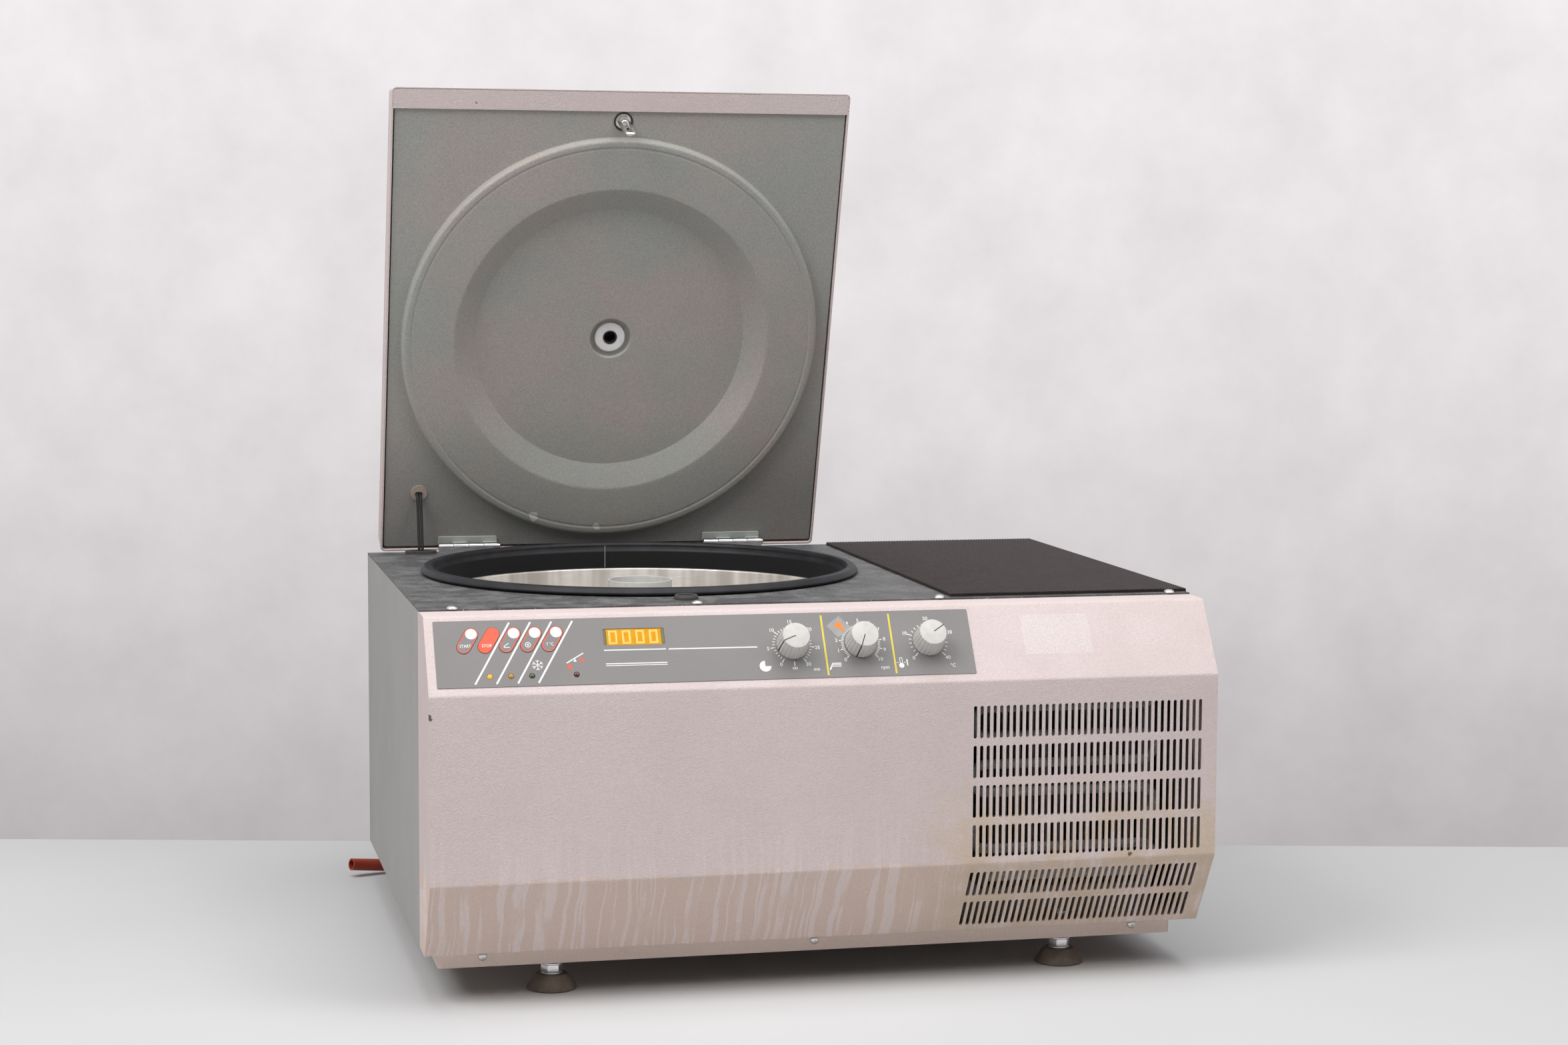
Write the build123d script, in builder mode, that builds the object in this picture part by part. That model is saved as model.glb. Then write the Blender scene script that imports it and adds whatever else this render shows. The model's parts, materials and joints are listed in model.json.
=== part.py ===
"""Refrigerated bench centrifuge with its lid standing open.

The cabinet is a row of folded steel sheets on a base tray with four rubber feet. A round
steel bowl with a rubber seal takes the rotor on the left, under a hinged pan lid, and the
cooling set sits on the right behind the slots of the front panel. Millimetres, +Z up, floor
at Z = 0, +X to the operator's right. The origin is under the middle of the whole machine.
"""
import os
from math import atan2, cos, degrees, radians, sin, sqrt, tan

from build123d import *

os.makedirs("parts", exist_ok=True)

# Cabinet, its width and depth following from the bowl, the cooling bay and these margins
cabinet_height = 308.0
cooling_bay_width = 243.0
bowl_side_margin = 33.0
bowl_front_margin = 49.0
bowl_hinge_margin = 11.0
chamber_wall_margin = 18.0
hinge_overhang = 4.0
floor_gap = 45.0
sheet = 1.5
bend_radius = 5.0
panel_flange = 25.0

# Front panel profile, each point given by its reach forward and its height over the base
top_bend_reach = 42.0
knee_reach = 85.0
slope_height = 65.5
lower_knee_height = 72.0
bottom_reach = 39.7
plate_front_reach = 8.0

# Plinth and feet
plinth_inset = 15.0
plinth_front_reach = 10.4
plinth_rear_inset = 10.0
plinth_height = 18.5
foot_inset_x = 121.0
foot_front_y = 5.0
foot_rear_inset = 62.0
foot_radius = 23.0
foot_top_radius = 14.5
foot_height = 14.0
foot_stud_radius = 5.0
foot_nut_across = 19.0
foot_nut_height = 5.0
foot_washer_radius = 13.0
foot_washer_height = 2.0

# Bowl and its seal
bowl_radius = 200.0
bowl_wall = 1.2
bowl_floor_height = 138.0
collar_depth = 19.0
seal_overhang = 18.0
seal_height = 8.0
seal_lip = 12.0
collar_wall = 3.0
close_gap = 0.4

# Lid
lid_open_angle = 71.8
hinge_rise = 4.5
lid_side_margin = 18.0
lid_front_margin = 51.4
lid_tail = 9.0
lid_depth = 30.0
lid_rim_gap = 15.0
lid_wall = 2.0
lid_lip = 22.0
lid_corner = 5.0
lid_edge_radius = 3.0
liner_inset = 3.5
liner_wall = 2.0
liner_drop = 2.0
disc_overlap = 1.4
disc_step = 6.0
recess_inset = 33.7
recess_slope_run = 24.0
recess_depth = 13.0
port_well_radius = 21.5
port_well_depth = 6.0
port_bore = 6.6
port_ring_radius = 15.0
port_neck_radius = 11.0

# Hinges
hinge_inset = 92.3
hinge_length = 64.0
knuckle_count = 4
knuckle_radius = 4.0
knuckle_gap = 0.4
hinge_pin_radius = 2.0
run_clearance = 0.05
leaf_wall = 1.5
leaf_height = 18.0
lid_leaf_height = 14.0

# Striker and latch
striker_gap = 18.5
striker_wire = 4.0
striker_pitch = 7.0
striker_drop = 35.5
latch_hole_radius = 8.0
pawl_thickness = 2.0
pawl_throw = 16.0
pawl_pivot_drop = 45.0
pawl_pivot_back = 19.0
latch_ear_gap = 24.0

# Lid check cord
cord_inset = 54.0
cord_lid_reach = 57.4
cord_rear_inset = 19.5
cord_thickness = 3.0
cord_pitch = 3.4

# Grille
slot_side_margin = 19.8
slot_pitch = 6.2
slot_width = 3.0
slot_bridge = 6.6
slot_end_margin = 22.6
upper_rows = 4
lower_rows = 2
grille_shift = 3.7
grille_drop = 8.2
lower_row_pitch = 37.6
lower_rows_down = 43.8

# Control panel, measured on the sloping face from its top bend
overlay_width = 490.0
overlay_height = 65.0
overlay_left = 8.0
overlay_down = 5.5
overlay_thickness = 0.6
window_left = 158.5
window_down = 16.7
window_width = 55.5
window_height = 16.4
knob_pitch = 63.7
knob_end_inset = 40.8
knob_down = 37.2
knob_radius = 15.0
knob_top_radius = 12.2
knob_height = 20.0
knob_facets = 24
knob_shaft_radius = 3.0
knob_angles = {"time_knob": -112.0, "speed_knob": -158.0, "temperature_knob": 57.0}
key_left = {"start_key": 37.3, "stop_key": 56.2, "lid_key": 75.0, "brake_key": 93.8, "cooling_key": 112.8}
key_down = 25.2
key_width = 12.4
key_length = 27.0
key_slant = 30.8
key_proud = 0.6
key_travel = 0.4
key_thickness = 1.6
led_left = (54.7, 73.4, 92.1, 131.6)
led_down = 60.5
led_radius = 2.4

# Screws
screw_head_radius = 4.6
screw_head_height = 2.4
screw_shank_radius = 2.0
top_screw_insets = (30.4, 19.3)
top_screw_shift = 3.0
plinth_screw_insets = (55.5, 54.0)
plinth_screw_height = 36.0

# Mat
mat_margin = 10.0
mat_front_inset = 1.5
mat_depth = 482.0
mat_thickness = 3.2
mat_rib_pitch = 3.0
mat_rib_height = 1.0

# Chamber, motor and spindle
shelf_height = 57.0
shelf_wall = 2.0
chamber_foam = 19.0
motor_radius = 62.0
motor_flange_radius = 88.0
motor_flange_drop = 16.0
motor_base_height = 10.0
motor_top_gap = 20.0
neck_radius = 17.0
boot_radius = 27.0
boot_height = 18.0
spindle_radius = 9.0
spindle_cone_radius = 15.0
spindle_tip_radius = 7.0
spindle_tip_length = 26.0
spindle_top_drop = 45.0
sleeve_radius = 32.0
sleeve_wall = 1.6
sleeve_drop = 8.0

# Cooling set
condenser_margin = 10.0
condenser_right_inset = 47.0
condenser_front = 62.0
condenser_depth = 40.0
condenser_bottom = 86.0
condenser_headroom = 98.0
fin_count = 36
fin_thickness = 0.8
tube_rows = 8
tube_radius = 4.5
shroud_gap = 40.0
fan_margin = 25.0
fan_hub_radius = 24.0
fan_depth = 16.0
fan_blades = 5
fan_shaft_radius = 4.0
fan_shaft_length = 28.0
fan_motor_radius = 36.0
fan_motor_length = 46.0
fan_motor_gap = 2.0
fan_inset = 2.0
compressor_margin = 17.0
compressor_rear_gap = 60.0
compressor_foot_height = 14.0
compressor_headroom = 123.0

# Rear face and drain
inlet_inset = 115.0
inlet_z = 95.0
inlet_width = 28.0
inlet_height = 21.0
inlet_depth = 20.0
louvre_rows = 9
louvre_pitch = 14.0
louvre_length = 80.0
drain_offset = 101.0
drain_reach = 26.0
hose_radius = 6.4
hose_bore = 4.6
drain_drop_height = 118.0
drain_barb_length = 12.0
drain_bore = 3.2
hose_drops = (0.0, 32.0, 66.0)
hose_lifts = (20.0, 4.0, 0.0, 0.0, 0.0)
hose_sidesteps = (0.0, 0.0, 9.0, 27.0, 56.0, 92.0, 130.0, 168.0)
hose_setbacks = (0.0, 0.0, 2.0, 6.0, 10.5, 14.0, 15.5, 15.0)

fit_gap = 0.3

# Heights and places that follow from the sizes above
seal_radius = bowl_radius + seal_overhang
bowl_y = bowl_front_margin + seal_radius
disc_reach = seal_radius + bowl_hinge_margin
hinge_y = bowl_y + disc_reach
cabinet_depth = hinge_y - hinge_overhang
cabinet_width = bowl_side_margin + 2 * seal_radius + chamber_wall_margin + cooling_bay_width
half_width = cabinet_width / 2
bowl_x = bowl_side_margin + seal_radius - half_width
partition_x = half_width - cooling_bay_width
base_z = floor_gap
plate_top = base_z + cabinet_height
panel_top = plate_top - sheet
upper_knee_height = cabinet_height - sheet - slope_height
lid_width = 2 * (seal_radius + lid_side_margin)
lid_length = lid_tail + disc_reach + seal_radius + lid_front_margin
striker_reach = disc_reach + seal_radius + striker_gap
disc_radius = seal_radius + disc_overlap
recess_radius = bowl_radius - recess_inset
recess_floor_radius = recess_radius - recess_slope_run
hinge_offset = lid_width / 2 - hinge_inset
cord_x = cord_inset - half_width
cord_plate_y = cabinet_depth - cord_rear_inset
slot_columns = round((cooling_bay_width - slot_side_margin) / slot_pitch)
slot_row_pitch = (upper_knee_height - lower_knee_height - slot_end_margin) / upper_rows
slot_length = slot_row_pitch - slot_bridge
grille_x = half_width - cooling_bay_width / 2 - grille_shift
grille_height = (upper_knee_height + lower_knee_height) / 2 - grille_drop
top_screw_x = (
    top_screw_insets[0] - half_width, bowl_x + top_screw_shift,
    partition_x - top_screw_shift, half_width - top_screw_insets[1],
)
plinth_screw_x = (plinth_screw_insets[0] - half_width, 0.0, half_width - plinth_screw_insets[1])
mat_left = partition_x + mat_margin
chamber_front = bowl_y - bowl_radius - chamber_foam
condenser_left = partition_x + condenser_margin
condenser_width = cooling_bay_width - condenser_margin - condenser_right_inset
condenser_height = cabinet_height - condenser_headroom
fan_radius = condenser_width / 2 - fan_margin
compressor_radius = condenser_width / 2 - compressor_margin
compressor_height = cabinet_height - compressor_headroom
inlet_x = half_width - inlet_inset
drain_x = bowl_x - drain_offset
lean = radians(90.0 - lid_open_angle)
rim_level = hinge_rise - lid_rim_gap
skin_level = rim_level - lid_depth
liner_level = rim_level - liner_drop
disc_level = hinge_rise - seal_height - close_gap
recess_level = disc_level - recess_depth
well_level = recess_level - port_well_depth

# The open lid reaches furthest back at the rounded edge of its outer skin
lid_back_reach = (
    hinge_y
    + (lid_tail - lid_edge_radius) * sin(lean)
    - (skin_level + lid_edge_radius) * cos(lean)
    + lid_edge_radius
)
front_y = (knee_reach - lid_back_reach) / 2
rear_y = front_y + cabinet_depth
bowl_centre_y = front_y + bowl_y
hinge_world_y = front_y + hinge_y
hinge_z = plate_top + hinge_rise
skirt_z = base_z - sheet - (plinth_height - sheet)
bowl_floor = base_z + bowl_floor_height
bowl_rim = plate_top - collar_depth


def save(block, name):
    """Label a finished piece and write it under its own name."""
    block.part.label = name
    export_step(block.part, f"parts/{name}.step")


def lid_plane(level, x=0.0, reach=0.0):
    """Plane of the open lid: X across, Y from hinge to lip, Z towards the bowl side."""
    toward = Vector(0, -cos(lean), -sin(lean))
    along = Vector(0, -sin(lean), cos(lean))
    origin = Vector(x, hinge_world_y, hinge_z) + along * reach + toward * level
    return Plane(origin=origin, x_dir=(1, 0, 0), z_dir=toward)


slope_rise = panel_top - (base_z + upper_knee_height)
slope_run = knee_reach - top_bend_reach
slope_angle = atan2(slope_run, slope_rise)


def face_plane(level=0.0, left=0.0, down=0.0):
    """Plane on the sloping control face, X from its left end, Y up the slope."""
    out = Vector(0, -cos(slope_angle), sin(slope_angle))
    along = Vector(0, -sin(slope_angle), -cos(slope_angle))
    start = Vector(-half_width + left, front_y - top_bend_reach, panel_top)
    return Plane(origin=start + along * down + out * level, x_dir=(1, 0, 0), z_dir=out)


lower_rise = lower_knee_height
lower_run = knee_reach - bottom_reach
lower_angle = atan2(lower_run, lower_rise)


def lower_plane(x, down):
    """Plane on the face that slants back under the lower knee."""
    out = Vector(0, -cos(lower_angle), -sin(lower_angle))
    along = Vector(0, sin(lower_angle), -cos(lower_angle))
    start = Vector(x, front_y - knee_reach, base_z + lower_knee_height)
    return Plane(origin=start + along * down, x_dir=(1, 0, 0), z_dir=out)


def upright(x, y, z):
    """Level plane at a height, for pieces that stand on something."""
    return Plane(origin=(x, y, z), x_dir=(1, 0, 0), z_dir=(0, 0, 1))


bowl_axis = Axis((bowl_x, bowl_centre_y, 0), (0, 0, 1))


def bowl_profile_plane():
    """Half plane through the bowl axis, X outwards and Y up."""
    return Plane(origin=(bowl_x, bowl_centre_y, 0), x_dir=(1, 0, 0), z_dir=(0, -1, 0))


# Base tray: a floor sheet with a skirt all round that makes the plinth
tray_front = front_y - plinth_front_reach
tray_rear = rear_y - plinth_rear_inset
tray_width = cabinet_width - 2 * plinth_inset
tray_depth = tray_rear - tray_front
foot_places = [
    (side * (half_width - foot_inset_x), y)
    for y in (front_y + foot_front_y, rear_y - foot_rear_inset)
    for side in (-1, 1)
]
with BuildPart() as base_tray:
    with BuildSketch(upright(0, (tray_front + tray_rear) / 2, skirt_z)):
        Rectangle(tray_width, tray_depth)
    extrude(amount=base_z - skirt_z)
    fillet(base_tray.edges().filter_by(Axis.Z), radius=bend_radius)
    offset(amount=-sheet, openings=base_tray.faces().sort_by(Axis.Z)[0])
    with BuildSketch(Plane.XY.offset(base_z)):
        with Locations(*foot_places):
            Circle(foot_stud_radius + fit_gap)
    extrude(amount=-2 * sheet, mode=Mode.SUBTRACT)
    with BuildSketch(Plane(origin=(0, tray_front, plinth_screw_height), x_dir=(1, 0, 0), z_dir=(0, -1, 0))):
        with Locations(*[(x, 0) for x in plinth_screw_x]):
            Circle(screw_shank_radius + fit_gap)
    extrude(amount=-2 * sheet, mode=Mode.SUBTRACT)
save(base_tray, "base_tray")


# Feet: a rubber cone on a stud, locked under the tray with a nut and washers
with BuildPart() as foot_pads:
    with BuildSketch(Plane.XY) as pad_foot:
        with Locations(*foot_places):
            Circle(foot_radius)
    with BuildSketch(Plane.XY.offset(foot_height)) as pad_head:
        with Locations(*foot_places):
            Circle(foot_top_radius)
    for lower, upper in zip(pad_foot.sketch.faces(), pad_head.sketch.faces()):
        loft(sections=[lower, upper])
    with BuildSketch(Plane.XY.offset(foot_height)):
        with Locations(*foot_places):
            Circle(foot_stud_radius)
    extrude(amount=-foot_height / 2, mode=Mode.SUBTRACT)
save(foot_pads, "foot_pads")

nut_z = foot_height + fit_gap
washer_z = base_z - sheet - foot_washer_height
with BuildPart() as foot_studs:
    with BuildSketch(Plane.XY.offset(foot_height / 2)):
        with Locations(*foot_places):
            Circle(foot_stud_radius)
    extrude(amount=base_z + foot_nut_height + foot_washer_height - foot_height / 2)
    with BuildSketch(Plane.XY.offset(nut_z)):
        with Locations(*foot_places):
            RegularPolygon(foot_nut_across / 2, 6, major_radius=False)
    extrude(amount=foot_nut_height)
    with BuildSketch(Plane.XY.offset(nut_z + foot_nut_height)):
        with Locations(*foot_places):
            Circle(foot_washer_radius)
    extrude(amount=foot_washer_height)
    with BuildSketch(Plane.XY.offset(washer_z - foot_nut_height)):
        with Locations(*foot_places):
            RegularPolygon(foot_nut_across / 2, 6, major_radius=False)
    extrude(amount=foot_nut_height)
    with BuildSketch(Plane.XY.offset(washer_z)):
        with Locations(*foot_places):
            Circle(foot_washer_radius)
    extrude(amount=foot_washer_height)
    with BuildSketch(Plane.XY.offset(base_z)):
        with Locations(*foot_places):
            RegularPolygon(foot_nut_across / 2, 6, major_radius=False)
    extrude(amount=foot_nut_height)
save(foot_studs, "foot_studs")


# Side panels: channels with their flanges turned in at the top and at the base
def side_panel(side):
    """Build one side panel, left for -1 and right for 1."""
    outer = side * half_width
    inner = side * (half_width - sheet)
    edge = side * (half_width - panel_flange)
    with BuildPart() as panel:
        with BuildSketch(Plane(origin=(0, rear_y, 0), x_dir=(1, 0, 0), z_dir=(0, -1, 0))):
            with BuildLine():
                Polyline(
                    (edge, base_z), (outer, base_z), (outer, panel_top), (edge, panel_top),
                    (edge, panel_top - sheet), (inner, panel_top - sheet),
                    (inner, base_z + sheet), (edge, base_z + sheet), close=True,
                )
            make_face()
        extrude(amount=cabinet_depth)
    return panel


save(side_panel(-1), "left_side_panel")
save(side_panel(1), "right_side_panel")


# Rear panel with louvres beside the cooling set and the holes for inlet and drain
with BuildPart() as rear_panel:
    rear_height = panel_top - base_z - 2 * sheet
    with BuildSketch(Plane(origin=(0, rear_y, base_z + sheet + rear_height / 2), x_dir=(1, 0, 0), z_dir=(0, -1, 0))):
        Rectangle(cabinet_width - 2 * sheet, rear_height)
    extrude(amount=sheet)
    with BuildSketch(Plane(origin=(grille_x, rear_y, base_z + cabinet_height * 0.64), x_dir=(1, 0, 0), z_dir=(0, -1, 0))):
        with GridLocations(louvre_length + louvre_pitch, louvre_pitch, 2, louvre_rows):
            Rectangle(louvre_length, louvre_pitch / 2)
    extrude(amount=sheet, mode=Mode.SUBTRACT)
    with BuildSketch(Plane(origin=(0, rear_y, 0), x_dir=(1, 0, 0), z_dir=(0, -1, 0))):
        with Locations((inlet_x, inlet_z)):
            Rectangle(inlet_width + 2 * sheet + fit_gap, inlet_height + 2 * sheet + fit_gap)
        with Locations((drain_x, drain_drop_height + drain_reach)):
            Circle(hose_bore + fit_gap)
    extrude(amount=sheet, mode=Mode.SUBTRACT)
save(rear_panel, "rear_panel")


# Top plate, lapped over the flange of the front panel
plate_front = front_y - plate_front_reach
plate_depth = rear_y - plate_front
latch_x = bowl_x
latch_y = hinge_world_y - striker_reach
grommet_radius = latch_hole_radius + 1.5
cord_y = front_y + cord_plate_y
seal_seat_radius = bowl_radius + collar_wall + collar_wall
with BuildPart() as top_plate:
    with BuildSketch(upright(0, (plate_front + rear_y) / 2, panel_top)):
        Rectangle(cabinet_width, plate_depth)
    extrude(amount=sheet)
    with BuildSketch(Plane.XY.offset(plate_top)):
        with Locations((bowl_x, bowl_centre_y)):
            Circle(seal_seat_radius + fit_gap)
        with Locations((latch_x, latch_y)):
            Circle(grommet_radius)
        with Locations((cord_x, cord_y)):
            SlotOverall(27.0, 14.0)
        with Locations(*[(x, front_y - plate_front_reach / 2) for x in top_screw_x]):
            Circle(screw_shank_radius + fit_gap)
    extrude(amount=-sheet, mode=Mode.SUBTRACT)
save(top_plate, "top_plate")


# Front panel: one folded sheet with end cheeks, slots and control cut-outs
key_places = {name: (left, key_down) for name, left in key_left.items()}
knob_left = overlay_left + overlay_width - knob_end_inset - 2 * knob_pitch
knob_places = {
    name: (knob_left + index * knob_pitch, knob_down) for index, name in enumerate(knob_angles)
}


def knob_plane(left, down, angle):
    """Face plane under a knob, its Y along the pointer, turned clockwise from the top."""
    face = face_plane(overlay_thickness + fit_gap, left, down)
    turn = radians(angle)
    return Plane(
        origin=face.origin, x_dir=face.x_dir * cos(turn) - face.y_dir * sin(turn), z_dir=face.z_dir
    )


def key_outline(clearance):
    """Slanting capsule of one key, grown by a clearance."""
    SlotOverall(key_length + 2 * clearance, key_width + 2 * clearance, rotation=90 - key_slant)


with BuildPart() as front_panel:
    with BuildSketch(Plane(origin=(-half_width, 0, 0), x_dir=(0, 1, 0), z_dir=(1, 0, 0))):
        with BuildLine():
            Polyline(
                (front_y, panel_top), (front_y - top_bend_reach, panel_top),
                (front_y - knee_reach, base_z + upper_knee_height),
                (front_y - knee_reach, base_z + lower_knee_height),
                (front_y - bottom_reach, base_z), (front_y, base_z), close=True,
            )
        make_face()
    extrude(amount=cabinet_width)
    folds = front_panel.edges().filter_by(Axis.X).filter_by(
        lambda edge: edge.center().Y < front_y - sheet
    )
    fillet(folds, radius=bend_radius)
    offset(amount=-sheet, openings=front_panel.faces().sort_by(Axis.Y)[-1])
    upper_face = Plane(
        origin=(grille_x, front_y - knee_reach, base_z + grille_height), x_dir=(1, 0, 0), z_dir=(0, -1, 0)
    )
    with BuildSketch(upper_face):
        with GridLocations(slot_pitch, slot_row_pitch, slot_columns, upper_rows):
            Rectangle(slot_width, slot_length)
    extrude(amount=-2 * sheet, mode=Mode.SUBTRACT)
    with BuildSketch(lower_plane(grille_x, lower_rows_down)):
        with GridLocations(slot_pitch, lower_row_pitch, slot_columns, lower_rows):
            Rectangle(slot_width, slot_length)
    extrude(amount=-2 * sheet, mode=Mode.SUBTRACT)
    with BuildSketch(face_plane()):
        for left, down in key_places.values():
            with Locations((left, -down)):
                key_outline(fit_gap)
        for left, down in knob_places.values():
            with Locations((left, -down)):
                Circle(knob_shaft_radius + 2 * fit_gap)
        for left in led_left:
            with Locations((left, -led_down)):
                Circle(led_radius + fit_gap)
        with Locations((window_left + window_width / 2, -window_down - window_height / 2)):
            Rectangle(window_width + 2 * fit_gap, window_height + 2 * fit_gap)
    extrude(amount=-2 * sheet, mode=Mode.SUBTRACT)
    with BuildSketch(Plane.XY.offset(panel_top)):
        with Locations(*[(x, front_y - plate_front_reach / 2) for x in top_screw_x]):
            Circle(screw_shank_radius + fit_gap)
    extrude(amount=-2 * sheet, mode=Mode.SUBTRACT)
    with BuildSketch(Plane.XY.offset(base_z)):
        with Locations(*foot_places):
            Circle(foot_nut_across / sqrt(3) + fit_gap)
    extrude(amount=2 * sheet, mode=Mode.SUBTRACT)
save(front_panel, "front_panel")


# Printed overlay on the control face
with BuildPart() as control_overlay:
    with BuildSketch(face_plane()):
        with Locations((overlay_left + overlay_width / 2, -overlay_down - overlay_height / 2)):
            Rectangle(overlay_width, overlay_height)
        for left, down in key_places.values():
            with Locations((left, -down)):
                SlotOverall(
                    key_length + 2 * fit_gap, key_width + 2 * fit_gap,
                    rotation=90 - key_slant, mode=Mode.SUBTRACT,
                )
        for left, down in knob_places.values():
            with Locations((left, -down)):
                Circle(knob_shaft_radius + 2 * fit_gap, mode=Mode.SUBTRACT)
        for left in led_left:
            with Locations((left, -led_down)):
                Circle(led_radius + fit_gap, mode=Mode.SUBTRACT)
        with Locations((window_left + window_width / 2, -window_down - window_height / 2)):
            Rectangle(window_width, window_height, mode=Mode.SUBTRACT)
    extrude(amount=overlay_thickness)
save(control_overlay, "control_overlay")

# Keys stand a little proud of the overlay and travel inwards
for name, (left, down) in key_places.items():
    with BuildPart() as key:
        with BuildSketch(face_plane(overlay_thickness + key_proud - key_thickness)):
            with Locations((left, -down)):
                key_outline(0)
        extrude(amount=key_thickness)
    save(key, name)

# Knobs: a faceted, tapered cap with a pointer groove, on its shaft
board_drop = 14.0
pot_height = 9.0
pot_radius = 11.0
for name, (left, down) in knob_places.items():
    knob_face = knob_plane(left, down, knob_angles[name])
    with BuildPart() as knob:
        with BuildSketch(knob_face):
            RegularPolygon(knob_radius, knob_facets)
        with BuildSketch(knob_face.offset(knob_height)):
            RegularPolygon(knob_top_radius, knob_facets)
        loft()
        with BuildSketch(knob_face.offset(knob_height)):
            with Locations((0, knob_top_radius / 2)):
                Rectangle(0.8, knob_top_radius + 2.0)
        extrude(amount=-0.5, mode=Mode.SUBTRACT)
        with BuildSketch(knob_face):
            Circle(knob_shaft_radius)
        extrude(amount=-(board_drop - pot_height + sheet + overlay_thickness))
    save(knob, name)

# Display window, lamps and the board behind the face
with BuildPart() as display_window:
    with BuildSketch(face_plane(-sheet)):
        with Locations((window_left + window_width / 2, -window_down - window_height / 2)):
            Rectangle(window_width - 2 * fit_gap, window_height - 2 * fit_gap)
    extrude(amount=sheet + overlay_thickness / 2)
save(display_window, "display_window")

with BuildPart() as indicator_lamps:
    with BuildSketch(face_plane(-board_drop)):
        for left in led_left:
            with Locations((left, -led_down)):
                Circle(led_radius)
    extrude(amount=board_drop + overlay_thickness + 0.8)
    chamfer(indicator_lamps.faces().group_by(Axis(face_plane().origin, face_plane().z_dir))[-1].edges(), 0.7)
save(indicator_lamps, "indicator_lamps")

board_thickness = 1.6
with BuildPart() as control_board:
    with BuildSketch(face_plane(-board_drop)):
        with Locations((overlay_left + overlay_width / 2, -overlay_down - overlay_height / 2)):
            Rectangle(overlay_width - 24.0, overlay_height - 12.0)
    extrude(amount=-board_thickness)
    with BuildSketch(face_plane(-board_drop)):
        for left, down in knob_places.values():
            with Locations((left, -down)):
                Circle(pot_radius)
        with Locations((window_left + window_width / 2, -window_down - window_height / 2)):
            Rectangle(window_width - 2.0, window_height - 2.0)
    extrude(amount=pot_height)
    with BuildSketch(face_plane(-board_drop)):
        for left in (overlay_left + 22.0, overlay_left + overlay_width - 22.0):
            for down in (overlay_down + 12.0, overlay_down + overlay_height - 12.0):
                with Locations((left, -down)):
                    Circle(3.0)
    extrude(amount=board_drop - sheet)
    with BuildSketch(face_plane(-board_drop + pot_height)):
        for left, down in knob_places.values():
            with Locations((left, -down)):
                Circle(knob_shaft_radius + run_clearance)
    extrude(amount=-pot_height + 1.0, mode=Mode.SUBTRACT)
save(control_board, "control_board")


# Ribbed rubber mat on the right of the top plate
mat_width = half_width - mat_left
rib_count = int(mat_width / mat_rib_pitch)
rib_pitch = mat_width / rib_count
with BuildPart() as rubber_mat:
    with BuildSketch(Plane(origin=(mat_left, front_y + mat_front_inset + mat_depth, plate_top), x_dir=(1, 0, 0), z_dir=(0, -1, 0))):
        with BuildLine():
            crest = mat_thickness
            root = mat_thickness - mat_rib_height
            points = [(0, 0), (mat_width, 0)]
            for index in range(rib_count, 0, -1):
                points += [
                    (index * rib_pitch, root),
                    ((index - 0.25) * rib_pitch, crest),
                    ((index - 0.6) * rib_pitch, crest),
                    ((index - 0.85) * rib_pitch, root),
                ]
            points += [(0, root)]
            Polyline(*points, close=True)
        make_face()
    extrude(amount=mat_depth)
save(rubber_mat, "rubber_mat")


# Bowl: spun steel with a rolled rim
with BuildPart() as bowl:
    with BuildSketch(bowl_profile_plane()):
        with BuildLine():
            Polyline(
                (neck_radius + 7.0, bowl_floor - bowl_wall), (bowl_radius + bowl_wall - 8.0, bowl_floor - bowl_wall),
                (bowl_radius + bowl_wall, bowl_floor - bowl_wall + 8.0), (bowl_radius + bowl_wall, bowl_rim - bowl_wall),
                (seal_seat_radius, bowl_rim - bowl_wall), (seal_seat_radius, bowl_rim), (bowl_radius, bowl_rim),
                (bowl_radius, bowl_floor + 7.5), (bowl_radius - 7.5, bowl_floor), (neck_radius + 7.0, bowl_floor),
                close=True,
            )
        make_face()
    revolve(axis=bowl_axis)
save(bowl, "bowl")

# Rubber seal: an upstanding lip on the plate with a collar down to the bowl rim
collar_inner = bowl_radius + collar_wall
with BuildPart() as bowl_seal:
    with BuildSketch(bowl_profile_plane()):
        with BuildLine():
            Polyline(
                (seal_seat_radius, bowl_rim), (collar_inner, bowl_rim), (collar_inner, plate_top - 1.0),
                (seal_radius - seal_lip, plate_top + seal_height - 1.5),
                (seal_radius - seal_lip + 2.0, plate_top + seal_height),
                (seal_radius - 3.0, plate_top + seal_height), (seal_radius, plate_top + seal_height - 3.0),
                (seal_radius, plate_top + 2.0), (seal_radius - 3.0, plate_top), (seal_seat_radius, plate_top),
                close=True,
            )
        make_face()
    revolve(axis=bowl_axis)
save(bowl_seal, "bowl_seal")


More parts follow.
